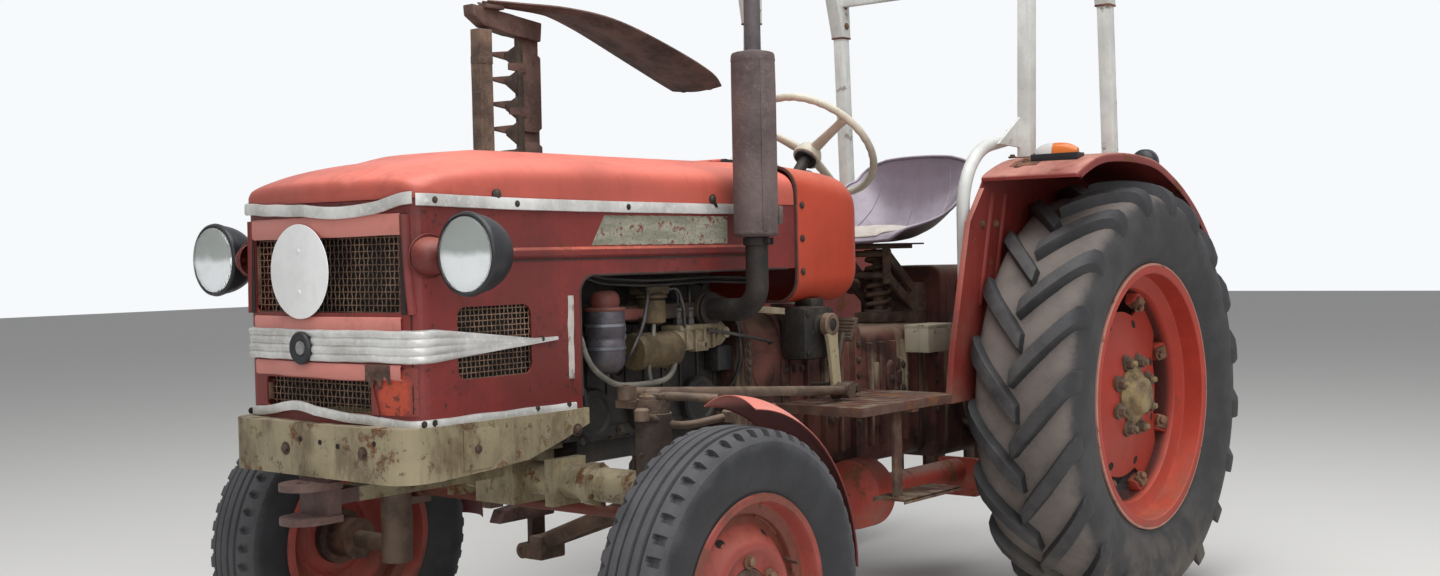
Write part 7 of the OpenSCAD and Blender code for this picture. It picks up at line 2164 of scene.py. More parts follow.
turned(bm, at(pipe_x, pipe_y, 1.078), (0, 0, 1),
       [(0.0268, 0), (0.0320, 0.001), (0.0320, 0.019), (0.0268, 0.020)], 40, closed=True)
turned(bm, at(pipe_x + 0.036, pipe_y - 0.014, 1.088), (0, 1, 0),
       [(0.0045, 0), (0.0045, 0.028), (0, 0.0285)], 6)
blocks(bm, [
    (pipe_x + 0.026, pipe_x + 0.045, pipe_y - 0.010, pipe_y - 0.005, 1.080, 1.096, 0.001),
    (pipe_x + 0.026, pipe_x + 0.045, pipe_y + 0.005, pipe_y + 0.010, 1.080, 1.096, 0.001)])
turned(bm, at(0.206, pipe_y, 0.925), (1, 0, 0),
       [(0.026, 0.001), (0.041, 0.001), (0.042, 0.003), (0.042, 0.009), (0.040, 0.011), (0.026, 0.011)],
       40, closed=True)
made("elbow", bm, elbow_black, sharp=40)

# The dash cowl: a bright repainted orange-red hood behind the bonnet with soft pillowed edges.
# A joint runs round its front in dark brown, a painted shadow line, and the driver's side carries a black
# panel with plain gauges.
cowl_paint = enamel("cowl_paint", (0.47, 0.058, 0.026), lit_faded_top=(0.62, 0.15, 0.085), rust=0.10, chips=0.35,
                    dust=0.25, gloss=0.42, size=1.2, dust_top=1.1)
cowl_rows = [(0.8345, 0.2838, 0.9312, 1.2818, 0.062), (0.8365, 0.2850, 0.9302, 1.2828, 0.066),
             (0.920, 0.2890, 0.9300, 1.2760, 0.068), (1.004, 0.2932, 0.9302, 1.2688, 0.070),
             (1.050, 0.2938, 0.9302, 1.2620, 0.071), (1.074, 0.2925, 0.9315, 1.2565, 0.073),
             (1.092, 0.2880, 0.9360, 1.2490, 0.074), (1.104, 0.2810, 0.9430, 1.2400, 0.073),
             (1.1125, 0.2700, 0.9540, 1.2275, 0.070), (1.1155, 0.2580, 0.9660, 1.2150, 0.062),
             (1.1158, 0.2400, 0.9860, 1.1950, 0.052), (1.1158, 0.0400, 1.0900, 1.1000, 0.004)]
bm = bmesh.new()
skin(bm, [round_ring(y, half, low, high, r, 9) for y, half, low, high, r in cowl_rows], around=True)
made("cowl", bm, cowl_paint, replaces=["dash_cowl"], wall=0.0025, sharp=40)
bm = bmesh.new()
skin(bm,
     [round_ring(y, half, low, high, r, 9)
      for y, half, low, high, r in ((0.8340, 0.2785, 0.9365, 1.2765, 0.060),
                                    (0.8340, 0.2852, 0.9300, 1.2830, 0.066),
                                    (0.8395, 0.2862, 0.9297, 1.2825, 0.066),
                                    (0.8400, 0.2790, 0.9370, 1.2760, 0.060))], around=True)
joint_shadow_brown = bare("joint_shadow_brown", (0.030, 0.014, 0.012), (0.110, 0.040, 0.030), grime=0.3, rough=0.8,
                   metal=0.0, size=0.4)
made("cowl_joint", bm, joint_shadow_brown, sharp=40)
bm = bmesh.new()
for s in (1, -1):
    low, high = sorted((s * 0.0503, s * 0.0617))
    blocks(bm, [
        (low, high, 0.8392, 0.8635, 1.2790, 1.3085, 0.002),
        (low, high, 0.8302, 0.8435, 1.2965, 1.3095, 0.003)])
    turned(bm, at(low - 0.001, 0.830, 1.303), (1, 0, 0), [(0.0069, 0), (0.0069, high - low + 0.002)], 24)
made("hinge_ears", bm, lamp_black, sharp=40)
bolts.grow("cowl_screws",
           [at(s * x, y, z) for s in (1, -1)
            for x, y, z in ((0.2868, 0.858, 1.010), (0.2868, 0.858, 1.180), (0.2868, 0.858, 1.095))],
           trim_screw, slot="body_red", facing=[(s, 0, 0) for s in (1, -1) for _ in range(3)],
           Radius=0.0065, Height=0.0035)
dial_face = bare("dial_face", (0.16, 0.16, 0.15), (0.30, 0.30, 0.28), grime=0.3, rough=0.35, metal=0.0,
                 size=0.4)
bm = bmesh.new()
casting(bm,
        [(1.1150, 0.150, 1.045, 1.190, 0.030, 5), (1.1180, 0.150, 1.045, 1.190, 0.030, 5),
         (1.1190, 0.146, 1.049, 1.186, 0.028, 5)])
gauges = [(-0.080, 1.125, 0.038), (0.080, 1.125, 0.038), (0.0, 1.155, 0.022)]
knobs = [(-0.128, 1.070, 0.011), (0.128, 1.070, 0.011), (0.045, 1.068, 0.010), (-0.045, 1.068, 0.010)]
for x, z, r in gauges + knobs:
    turned(bm, at(x, 1.118, z), (0, 1, 0),
           [(r * 0.86, 0.0005), (r * 0.90, 0.0035), (r, 0.0035), (r, -0.001)], 36)
made("dash_panel", bm, lamp_black, sharp=35)
bm = bmesh.new()
for x, z, r in gauges:
    turned(bm, at(x, 1.1192, z), (0, 1, 0), [(r * 0.84, 0), (r * 0.84, 0.0012), (0, 0.0014)], 36)
made("dash_dials", bm, dial_face, sharp=35)

# Steering wheel: a thick cream rim with finger grips, three stout spokes and a cone hub with a dark collar.
# The cream plastic is yellowed and cracked, and dust sits on the spokes.
wheel_ivory = enamel("wheel_ivory", (0.58, 0.53, 0.42), lit_faded_top=(0.66, 0.63, 0.54), rust=0.0, chips=0.45,
                     dust=0.35, gloss=0.42, size=0.35, under=(0.10, 0.08, 0.06))
tilt = -down
wheel_out, wheel_side = Vector((0, math.cos(column_tilt), -math.sin(column_tilt))), Vector((1, 0, 0))
bm = bmesh.new()
rows = []
for k in range(144):
    a = math.tau * k / 144
    spoke_dir = wheel_side * math.cos(a) + wheel_out * math.sin(a)
    row = []
    for j in range(14):
        b = math.tau * j / 14
        r = 0.0112 - (0.0016 * (0.5 + 0.5 * math.cos(math.tau * k / 4)) if math.sin(b) < -0.2 else 0.0)
        row.append(hub_end + tilt * 0.058 + spoke_dir * (0.188 + r * math.cos(b)) + tilt * r * math.sin(b))
    rows.append(row)
skin(bm, rows, around=True, closed=True)
for k in range(3):
    a = math.radians(90 + 120 * k)
    way = wheel_side * math.cos(a) + wheel_out * math.sin(a)
    side = wheel_side * -math.sin(a) + wheel_out * math.cos(a)
    rows = []
    for r, h, half, thick in ((0.012, 0.028, 0.0190, 0.0130), (0.040, 0.035, 0.0160, 0.0120),
                              (0.090, 0.045, 0.0140, 0.0105), (0.140, 0.054, 0.0128, 0.0098),
                              (0.172, 0.0578, 0.0135, 0.0098), (0.184, 0.058, 0.0150, 0.0100)):
        centre = hub_end + way * r + tilt * h
        rows.append([centre + side * half * math.cos(b) + tilt * thick * math.sin(b) for b in angles(16)])
    loft(bm, rows)
turned(bm, hub_end, tilt,
       [(0.0300, 0.004), (0.0400, 0.006), (0.0415, 0.012), (0.0400, 0.026), (0.0340, 0.040),
        (0.0280, 0.0455), (0.0200, 0.0470), (0, 0.0470)], 40)
made("wheel", bm, wheel_ivory, "steering_wheel", replaces=["steering_wheel"], sharp=40)
bm = bmesh.new()
turned(bm, hub_end, tilt,
       [(0.0176, 0.0), (0.0320, 0.0), (0.0335, 0.002), (0.0338, 0.0065), (0.0310, 0.0075),
        (0.0176, 0.0075)], 40, closed=True)
turned(bm, hub_end, tilt,
       [(0.0195, 0.0460), (0.0195, 0.0480), (0.0165, 0.0495), (0.0060, 0.0500), (0, 0.0500)], 36)
made("wheel_cap", bm, lamp_black, "steering_wheel", sharp=40)

# Rear fenders: a folded cover with a rolled edge over the tyre and an inner wall with pressed ribs. The
# cover's front is nearly flat and kinks into the arch; its paint is lighter on top, sun-bleached with a
# painted top light, and dark underneath and inside.
fender_paint = enamel("fender_paint", (0.24, 0.034, 0.027), lit_faded_top=(0.66, 0.33, 0.255), rust=0.45,
                      chips=0.95, dust=0.65, size=0.9, gloss=0.45, dust_top=1.3)


def smooth_table(table, steps):
    """Rows between those of a table, on one smooth curve through all of them."""
    fine = []
    for i in range(len(table) - 1):
        rows = table[max(i - 1, 0)], table[i], table[i + 1], table[min(i + 2, len(table) - 1)]
        for k in range(steps):
            t = k / steps
            fine.append(tuple(0.5 * (2 * b + (c - a) * t + (2 * a - 5 * b + 4 * c - d) * t * t
                                     + (3 * b - a - 3 * c + d) * t ** 3) for a, b, c, d in zip(*rows)))
    return fine + [table[-1]]


cover_fine = smooth_table(cover_line, 6)


def cover_normal(i):
    a, b = cover_fine[max(i - 1, 0)], cover_fine[min(i + 1, len(cover_fine) - 1)]
    way = Vector((b[0] - a[0], b[1] - a[1])).normalized()
    return Vector((-way.y, way.x))


bm = bmesh.new()
for s in (1, -1):
    rows = []
    for i, (y, z) in enumerate(cover_fine):
        n = cover_normal(i)
        row = []
        for x, down in ((0.4770, 0.0200), (0.4768, 0.0060), (0.4785, 0.0022), (0.4830, 0.0006),
                        (0.560, 0.0004), (0.640, 0.0003), (0.720, 0.0004), (0.7590, 0.0006),
                        (0.7642, 0.0022), (0.7672, 0.0060), (0.7678, 0.0120), (0.7678, 0.0240),
                        (0.7660, 0.0256), (0.7635, 0.0240)):
            sag = 0.0012 * noise.noise(Vector((x * 9, y * 7, s)))
            row.append(at(s * x, rear_y + y - n.x * (down + 0.0006 + sag), z - n.y * (down + 0.0006 + sag)))
        rows.append(row)
    skin(bm, rows)
made("fender_covers", bm, fender_paint, replaces=["rear_fenders"], wall=0.0026, sharp=45)
bm = bmesh.new()
for s in (1, -1):
    top = [(rear_y + y - cover_normal(i).x * 0.002, z - cover_normal(i).y * 0.002)
           for i, (y, z) in enumerate(cover_fine)]
    outline = [(rear_y - 0.662, 0.646), (rear_y - 0.642, 0.775), (rear_y - 0.545, 1.130),
               (rear_y - 0.466, 1.224)] + top + [(rear_y + 0.498, 0.962), (rear_y + 0.420, 0.760),
                                                 (rear_y + 0.300, 0.586), (rear_y + 0.092, 0.567)]
    outline += [(rear_y + 0.092 * math.cos(a), rear_z + 0.092 * math.sin(a))
                for a in (math.radians(-20 + 220 * k / 16) for k in range(17))]
    outline += [(rear_y - 0.150, 0.567), (rear_y - 0.330, 0.646)]
    low = min(s * 0.4775, s * 0.4805)
    side_plate(bm, low, outline, 0.003)
    for y in (1.330, 1.400):
        rows = []
        for t in (0.0, 0.04, 0.5, 0.96, 1.0):
            deep = 0.0005 if t in (0.0, 1.0) else 0.0055
            base_y, base_z = y + 0.046 * t, 0.760 + 0.370 * t
            rows.append([at(s * (0.4785 - d * deep), base_y + w, base_z)
                         for w, d in ((-0.003, 0), (0.001, 0.8), (0.007, 1), (0.013, 0.8), (0.017, 0))])
        skin(bm, rows)
    for y in (1.493, 1.567):
        rows = []
        for t in (0.0, 0.03, 0.3, 0.6, 0.97, 1.0):
            deep = 0.0004 if t in (0.0, 1.0) else 0.0060
            rows.append([at(s * (0.4803 + d * deep), y + 0.006 - 0.082 * t + w, 1.215 - 0.315 * t)
                         for w, d in ((-0.011, 0), (-0.006, 0.85), (0.0, 1), (0.006, 0.85), (0.011, 0))])
        skin(bm, rows)
    # welded angle along the wall's front edge
    edge = [(rear_y - 0.660, 0.650), (rear_y - 0.640, 0.778), (rear_y - 0.543, 1.132),
            (rear_y - 0.464, 1.226)]
    rows = []
    for y, z in edge:
        rows.append([at(s * x, y + d, z)
                     for x, d in ((0.4790, 0.0), (0.4815, -0.0005), (0.4930, 0.001), (0.4930, 0.004),
                                  (0.4815, 0.0035))])
    skin(bm, rows, around=True)
made("fender_walls", bm, fender_paint, sharp=40)
spots, ways = [], []
for s in (1, -1):
    for y, z in ((1.352, 1.020), (1.372, 1.020), (1.290, 0.700), (1.400, 0.700), (1.470, 0.700),
                 (1.700, 0.640), (2.080, 0.640), (1.800, 0.640), (1.980, 0.640)):
        spots.append(at(s * 0.4770, y, z))
        ways.append((-s, 0, 0))
    for y in (1.435, 1.513):
        spots.append(at(s * 0.4808, y, 1.127))
        ways.append((s, 0, 0))
    for y in (1.500, 1.545):
        spots.append(at(s * 0.560, y, cover_z(y) + 0.0006))
        ways.append((0, 0, 1))
bolts.grow("fender_bolts", spots, rusty_bolt, slot="body_red", facing=ways, Radius=0.0085, Height=0.006)
# rusty bare patch with a doubling plate in front of the post's foot
rust_patch_bare = bare("rust_patch_bare", (0.085, 0.030, 0.018), (0.235, 0.090, 0.050), grime=0.25,
                       rough=0.8, metal=0.1, size=0.5, depth=0.002)
bm = bmesh.new()
for s in (1, -1):
    skin(bm,
         [[at(s * x, y, cover_z(y) + 0.0018) for x in (0.530, 0.571, 0.612)]
          for y in (1.502, 1.551, 1.600)])
made("fender_patches", bm, rust_patch_bare, wall=0.0018)

# Safety frame: painted square tubes with flared sockets under the roof rails, foot plates and gussets.
# The white paint is stained, with rust round the joints and bolts.
frame_white = enamel("frame_white", (0.66, 0.67, 0.64), lit_faded_top=(0.72, 0.73, 0.71), rust=0.30, chips=0.75,
                     dust=0.25, size=0.45, gloss=0.42, dust_top=0.5, under=(0.20, 0.11, 0.07))
post_x, post_w, frame_top = 0.500, 0.042, 2.120
joint_z = frame_top - 0.310
feet, heads = (rear_y - 0.228, rear_y + 0.328), (rear_y - 0.200, rear_y + 0.290)
bm = bmesh.new()
rusty_ends = bmesh.new()
for s in (1, -1):
    for foot, head in zip(feet, heads):
        z0 = cover_z(foot)
        low_x = s * post_x - post_w / 2
        outline = [(foot - post_w / 2, cover_z(foot - post_w / 2) + 0.0004),
                   (foot + post_w / 2, cover_z(foot + post_w / 2) + 0.0004),
                   (head + post_w / 2, frame_top - 0.001), (head - post_w / 2, frame_top - 0.001)]
        side_plate(bm, low_x + 0.0003, outline, post_w - 0.0006, 0.006)
        y0 = foot + (head - foot) * (joint_z - z0) / (frame_top - z0)
        outline = [(y0 - post_w / 2 - 0.0035, joint_z), (y0 + post_w / 2 + 0.0035, joint_z),
                   (head + post_w / 2 + 0.0035, frame_top - 0.0005),
                   (head - post_w / 2 - 0.0735, frame_top - 0.0005)]
        side_plate(bm, low_x - 0.0035, outline, post_w + 0.007, 0.004)
        low, high = sorted((s * (post_x - 0.036), s * (post_x + 0.060)))
        skin(rusty_ends,
             [[at(x, y, cover_z(y) + 0.0035) for x in (low, high)]
              for y in (foot - 0.040, foot - 0.013, foot + 0.013, foot + 0.040)])
        block(rusty_ends, at(low_x - 0.0038, y0 - post_w / 2 - 0.0038, joint_z - 0.004),
              at(low_x + post_w + 0.0038, y0 + post_w / 2 + 0.0038, joint_z + 0.002), 0.001)
    low_x = s * post_x - post_w / 2
    block(bm, at(low_x, heads[0] - 0.0895, frame_top - post_w),
          at(low_x + post_w, heads[1] + post_w / 2, frame_top), 0.006)
for y in heads:
    block(bm, at(-post_x, y - post_w / 2 + 0.0006, frame_top - post_w + 0.0006),
          at(post_x, y + post_w / 2 - 0.0006, frame_top - 0.0006), 0.006)
block(bm, at(-post_x, heads[1] - 0.0155, frame_top - 0.2045),
      at(post_x, heads[1] + 0.0155, frame_top - 0.1705), 0.005)
made("safety_frame", bm, frame_white, replaces=["safety_frame"], sharp=40)
made("frame_feet", rusty_ends, rust_patch_bare, wall=0.0025, sharp=35)
spots, ways = [], []
for s in (1, -1):
    for foot, head in zip(feet, heads):
        for x, y in ((post_x - 0.028, foot - 0.032), (post_x + 0.045, foot - 0.032),
                     (post_x - 0.028, foot + 0.032), (post_x + 0.045, foot + 0.032)):
            spots.append(at(s * x, y, cover_z(y) + 0.0045))
            ways.append((0, 0, 1))
        z0 = cover_z(foot)
        for z in (joint_z + 0.040, joint_z + 0.110):
            y0 = foot + (head - foot) * (z - z0) / (frame_top - z0)
            for side in (1, -1):
                spots.append(at(s * post_x + side * (post_w / 2 + 0.0035), y0, z))
                ways.append((side, 0, 0))
bolts.grow("frame_bolts", spots, rusty_bolt, slot="frame_white", facing=ways, Radius=0.0085, Height=0.006)

# Grab rails: bent white tubes from the footplate up and back to the front posts, with a welded gusset.
# A small clip holds each to the fender's wall.
bm = bmesh.new()
for s in (1, -1):
    x, y = s * 0.450, 1.385
    route = [at(x, y, 0.706), at(x, y, 0.900), at(x, y, 1.090), at(x, y, 1.165)]
    route += [at(x, y + 0.190 - 0.190 * math.cos(a), 1.165 + 0.190 * math.sin(a))
              for a in (math.radians(8 * k) for k in range(1, 11))]
    route += [at(x, 1.620, 1.3665), at(x, 1.6715, 1.3770)]
    pipe(bm, route, 0.0182, 24)
    side_block(bm, s, 0.4445, 0.4825, (1.6425, 1.3605), (1.6715, 1.3995), 0.003)
    low, high = sorted((s * 0.4812, s * 0.4905))
    side_plate(bm, low, ((rear_y - 0.370, 1.352), (rear_y - 0.235, 1.4395), (rear_y - 0.235, 1.3455)),
               high - low, 0.002)
    side_block(bm, s, 0.443, 0.4765, (y - 0.0075, 0.736), (y + 0.0075, 0.7505), 0.002)
    turned(bm, at(x, y, 0.700), (0, 0, 1),
           [(0.0182, 0.001), (0.030, 0.001), (0.030, 0.007), (0.0182, 0.008)], 32, closed=True)
made("grab_rails", bm, frame_white, sharp=40)

# Driver's seat: a deep pressed bucket covered in purple-brown vinyl with a rolled rim, scuffed and dusty
# inside. Its sections run from the front lip to the top of the back, with raised sides.
seat_vinyl = enamel("seat_vinyl", (0.155, 0.118, 0.145), lit_faded_top=(0.47, 0.425, 0.49), rust=0.0, chips=0.35,
                    dust=0.2, gloss=0.42, size=0.8, dust_top=0.3, under=(0.05, 0.035, 0.03))
seat_table = [(1.448, 1.082, 0.170, 0.006), (1.475, 1.098, 0.205, 0.018), (1.540, 1.092, 0.228, 0.040),
              (1.640, 1.084, 0.236, 0.074), (1.730, 1.092, 0.234, 0.108), (1.800, 1.124, 0.226, 0.140),
              (1.846, 1.190, 0.216, 0.092), (1.872, 1.268, 0.204, 0.040), (1.883, 1.322, 0.178, 0.006),
              (1.886, 1.3505, 0.124, -0.006)]
seat_fine = smooth_table(seat_table, 5)


def seat_point(row, u, lift=0.0):
    y, z, half, rise = row
    return at(u * (half - 0.004), y, z + 0.003 + lift + rise * abs(u) ** 2.4)


bm = bmesh.new()
rows = []
for i, row in enumerate(seat_fine):
    rows.append([seat_point(row, u / 14, 0.0018 * noise.noise(Vector((u * 0.35, i * 0.3, 2.0))))
                 for u in range(-14, 15)])
skin(bm, rows)
made("seat_shell", bm, seat_vinyl, replaces=["seat_pan"], wall=0.005, offset=0.0, sharp=60)


def loop_pipe(bm, points, r, sides):
    """A round cord along a closed loop of points."""
    rows = []
    for i, p in enumerate(points):
        way = (points[(i + 1) % len(points)] - points[i - 1]).normalized()
        out = way.cross(Vector((0, 0, 1))).normalized()
        up = out.cross(way)
        rows.append([p + r * (out * math.cos(a) + up * math.sin(a)) for a in angles(sides)])
    skin(bm, rows, around=True, closed=True)


bm = bmesh.new()
rim = [seat_point(row, 1.0) for row in seat_fine]
rim += [seat_point(seat_fine[-1], u / 6) for u in range(5, -6, -1)]
rim += [seat_point(row, -1.0) for row in seat_fine[::-1]]
rim += [seat_point(seat_fine[0], u / 6) for u in range(-5, 6)]
loop_pipe(bm, rim, 0.0058, 10)
made("seat_rim", bm, seat_vinyl, sharp=70)
bm = bmesh.new()
seam = [seat_point(seat_fine[k], 0.0, 0.0045) for k in range(24, len(seat_fine) - 3)]
pipe(bm, seam, 0.0022, 8)
for s in (1, -1):
    pipe(bm, [seat_point(seat_fine[k], s * 0.62, 0.0045) for k in range(20, len(seat_fine) - 6)], 0.0020, 8)
made("seat_seams", bm, seat_vinyl, sharp=70)

# The pad: a worn, rumpled off-white cloth cushion that lies on the front of the seat.
# It is inflated and settled as cloth, then its stitched hem runs round the edge.
pad_cloth = enamel("pad_cloth", (0.66, 0.60, 0.55), rust=0.0, chips=0.2, dust=0.35, gloss=0.85, size=0.35,
                   under=(0.30, 0.25, 0.21), dust_top=0.5)
pad_cloth.set(Normal=pad_cloth.bump(pad_cloth.noise(420, 3, 0.6) + pad_cloth.noise(30, 4, 0.6) * 2.0, 0.0014))
pad_tops = [(1.456, 0.010), (1.475, 0.0130), (1.540, 0.036), (1.640, 0.038), (1.662, 0.026)]
pad_fine = smooth_table(seat_table[:5], 6)


def pad_row(y):
    low = max(r for r in pad_fine if r[0] <= y + 1e-6)
    high = min((r for r in pad_fine if r[0] > y), default=low)
    t = 0 if high is low else (y - low[0]) / (high[0] - low[0])
    return tuple(a + (b - a) * t for a, b in zip(low, high))


bm = bmesh.new()
layers = []
for lift in (0, 1):
    rows = []
    for k in range(17):
        y = 1.458 + 0.200 * k / 16
        row = pad_row(y)
        thick = 0.010
        for (ya, ta), (yb, tb) in zip(pad_tops, pad_tops[1:]):
            if ya <= y <= yb:
                thick = ta + (tb - ta) * (y - ya) / (yb - ya)
        line = []
        for j in range(-12, 13):
            edge = 1 - abs(j / 12) ** 4 * 0.65
            end = min(1.0, 0.45 + 3.5 * min(k, 16 - k) / 16)
            rise = max(0.006, thick * edge * end * 0.82) if lift else 0.0
            line.append(seat_point(row, j / 12 * 0.63, 0.0045) + Vector((0, 0, rise)))
        rows.append(line)
    layers.append(rows)
low_grid, high_grid = skin(bm, layers[0]), skin(bm, layers[1])


def border(grid):
    """The outer items of a grid, once round."""
    return grid[0] + [row[-1] for row in grid[1:]] + grid[-1][-2::-1] + [row[0] for row in grid[-2:0:-1]]


ring_low, ring_high = border(low_grid), border(high_grid)
for k in range(len(ring_low)):
    j = (k + 1) % len(ring_low)
    bm.faces.new((ring_low[k], ring_low[j], ring_high[j], ring_high[k]))
pad = made("seat_pad_cloth", bm, pad_cloth, sharp=80)
remesh = pad.modifiers.new("even", "REMESH")
remesh.mode = "VOXEL"
remesh.voxel_size = 0.006
bake(pad)
rest = [v.co.copy() for v in pad.data.vertices]
cloth = pad.modifiers.new("cloth", "CLOTH")
cloth.settings.quality = 5
cloth.settings.use_pressure = True
cloth.settings.uniform_pressure_force = 4
cloth.settings.effector_weights.gravity = 0
for step in range(1, 21):
    bpy.context.scene.frame_set(step)
bake(pad)
bpy.context.scene.frame_set(1)
for v, before in zip(pad.data.vertices, rest):
    move = v.co - before
    if move.length > 0.006:
        v.co = before + move.normalized() * 0.006
    crease = 0.0022 * noise.noise(v.co * 34) + 0.0012 * noise.noise(v.co * 80)
    v.co.z += crease
smooth = pad.modifiers.new("smooth", "SUBSURF")
smooth.levels = 1
bake(pad)
pad.data.shade_smooth()
bm = bmesh.new()
loop_pipe(bm, [p - Vector((0, 0, 0.0035)) for p in border(layers[1])], 0.0026, 8)
made("pad_hem", bm, pad_cloth, sharp=80)
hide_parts("seat_pad")

# Seat mount: a plate on sprung arms with a coil spring, rubber stops and levers, all brown with dry grease.
# A beige tool box hangs beside the post on the left.
mount_brown = bare("mount_brown", (0.045, 0.026, 0.019), (0.135, 0.082, 0.056), grime=0.45, rough=0.7,
                   metal=0.15, size=0.6, depth=0.002)
bm = bmesh.new()
blocks(bm, [
    (-0.089, 0.089, 1.561, 1.699, 1.0645, 1.0785, 0.003),
    (-0.140, 0.140, 1.575, 1.590, 1.0760, 1.0810, 0.001),
    (-0.140, 0.140, 1.668, 1.683, 1.0760, 1.0810, 0.001)])


def link(bm, x0, x1, a, b, width):
    """A flat bar with round ends between two points (y, z)."""
    (ya, za), (yb, zb) = a, b
    turn = math.atan2(zb - za, yb - ya)
    outline = []
    for y, z, first in ((yb, zb, -90), (ya, za, 90)):
        for a in (turn + math.radians(first + 15 * k) for k in range(13)):
            outline.append((y + width / 2 * math.cos(a), z + width / 2 * math.sin(a)))
    side_plate(bm, x0, outline, x1 - x0, 0.0012)


for s in (1, -1):
    for a, b, w in (((1.570, 1.052), (1.725, 0.932), 0.026), ((1.570, 0.985), (1.725, 0.876), 0.025)):
        low, high = sorted((s * 0.0715, s * 0.0825))
        link(bm, low, high, a, b, w)
        for y, z in (a, b):
            turned(bm, at(s * 0.0825, y, z), (s, 0, 0),
                   [(0.010, -0.001), (0.010, 0.004), (0.007, 0.005), (0.007, 0.008), (0, 0.0082)], 6)
    side_block(bm, s, 0.0705, 0.0835, (1.557, 0.961), (1.583, 1.066), 0.002)
block(bm, at(-0.099, 1.703, 0.7905), at(0.099, 1.759, 0.959), 0.008)
for z in (0.82, 0.87, 0.92):
    block(bm, at(-0.1005, 1.708, z), at(0.1005, 1.752, z + 0.010), 0.002)
pipe(bm, [at(-0.077, 1.570, 1.050), at(0.077, 1.570, 1.050)], 0.0095, 20)
pipe(bm, [at(-0.076, 1.570, 0.985), at(0.076, 1.570, 0.985)], 0.0095, 20)
block(bm, at(-0.059, 1.591, 0.8405), at(0.059, 1.709, 0.8715), 0.006)
pipe(bm, [at(0, 1.640, 0.870), at(0, 1.640, 1.064)], 0.017, 20)
coil_r, coil_end = 0.0345, math.tau * 6.5
coil = [at(coil_r * math.cos(a), 1.640 + coil_r * math.sin(a), 0.878 + 0.178 * a / coil_end)
        for a in (coil_end * k / 150 for k in range(151))]
pipe(bm, coil, 0.0068, 10)
for z in (0.8720, 1.0560):
    turned(bm, at(0, 1.640, z), (0, 0, 1), [(0.018, 0), (0.0415, 0), (0.0415, 0.006), (0.018, 0.007)], 36,
           closed=True)
made("seat_mount", bm, mount_brown, replaces=["seat_mount"], sharp=35)
box_beige = enamel("box_beige", (0.40, 0.36, 0.27), rust=0.45, chips=0.8, dust=0.7, size=0.5, gloss=0.6)
bm = bmesh.new()
blocks(bm, [
    (0.1790, 0.2610, 1.5005, 1.6355, 0.7605, 0.8345, 0.004),
    (0.1785, 0.2618, 1.5002, 1.6358, 0.8300, 0.8418, 0.003)])
for y in (1.530, 1.606):
    block(bm, at(0.2585, y, 0.815), at(0.2620, y + 0.014, 0.840), 0.0008)
made("tool_box", bm, box_beige, sharp=35)

# Three-point hitch: forged lift arms, lower links with ball eyes, screwed lift rods, and the towing
# drawbar. All are in brown rust with bright wear round the balls and pins.
hitch_rust = bare("hitch_rust", (0.070, 0.038, 0.026), (0.200, 0.115, 0.075), grime=0.40, rough=0.65,
                  metal=0.3, size=0.6, depth=0.0016)
link_z, link_end, rod_y = 0.440, lift_y + 0.700, lift_y + 0.360
bm = bmesh.new()
for s in (1, -1):
    low, high = sorted((s * (link_x - 0.0105), s * (link_x + 0.0105)))
    rows = []
    for share, half, thick in ((0.10, 0.030, 1.0), (0.2, 0.0225, 0.8), (0.5, 0.0205, 0.75),
                               (0.8, 0.0195, 0.8), (0.92, 0.021, 1.0)):
        y = lift_y + 0.360 * share
        rows.append([at(s * link_x + x * thick, y, lift_up + z)
                     for x, z in ((-0.0105, -half * 0.8), (-0.0105, half * 0.8), (-0.007, half),
                                  (0.007, half), (0.0105, half * 0.8), (0.0105, -half * 0.8),
                                  (0.007, -half), (-0.007, -half))])
    loft(bm, rows)
    turned(bm, at(s * link_x - 0.0148, lift_y, lift_up), (1, 0, 0),
           [(0.0242, 0.0), (0.0435, 0.0), (0.0458, 0.002), (0.0458, 0.0276), (0.0435, 0.0296),
            (0.0242, 0.0296)], 44, closed=True)
    turned(bm, at(s * link_x - 0.0108, rod_y, lift_up), (1, 0, 0),
           [(0.0112, 0.0), (0.0220, 0.0), (0.0238, 0.002), (0.0238, 0.0196), (0.0220, 0.0216),
            (0.0112, 0.0216)], 36, closed=True)
made("lift_arms", bm, hitch_rust, "lift_arms", replaces=["lift_arms"], sharp=35)
bm = bmesh.new()
for s in (1, -1):
    rows = []
    for share, half, thick in ((0.030, 0.027, 1.0), (0.10, 0.0275, 0.92), (0.30, 0.0270, 0.9),
                               (0.515, 0.0278, 0.9), (0.75, 0.0265, 0.9), (0.90, 0.0270, 0.92),
                               (0.970, 0.027, 1.0)):
        y = lift_y + 0.700 * share
        rows.append([at(s * link_x + x * thick, y, link_z + z)
                     for x, z in ((-0.0098, -half + 0.003), (-0.0098, half - 0.003), (-0.007, half),
                                  (0.007, half), (0.0098, half - 0.003), (0.0098, -half + 0.003),
                                  (0.007, -half), (-0.007, -half))])
    loft(bm, rows)
    turned(bm, at(s * link_x - 0.0158, lift_y, link_z), (1, 0, 0),
           [(0.0122, 0.0), (0.0290, 0.0), (0.0318, 0.003), (0.0318, 0.0286), (0.0290, 0.0316),
            (0.0122, 0.0316)], 40, closed=True)
    turned(bm, at(s * link_x - 0.0158, link_end, link_z), (1, 0, 0),
           [(0.0215, 0.0), (0.0290, 0.0), (0.0318, 0.003), (0.0318, 0.0286), (0.0290, 0.0316),
            (0.0215, 0.0316)], 40, closed=True)
made("lower_links", bm, hitch_rust, "lower_links", replaces=["lower_links"], sharp=35)
bm = bmesh.new()
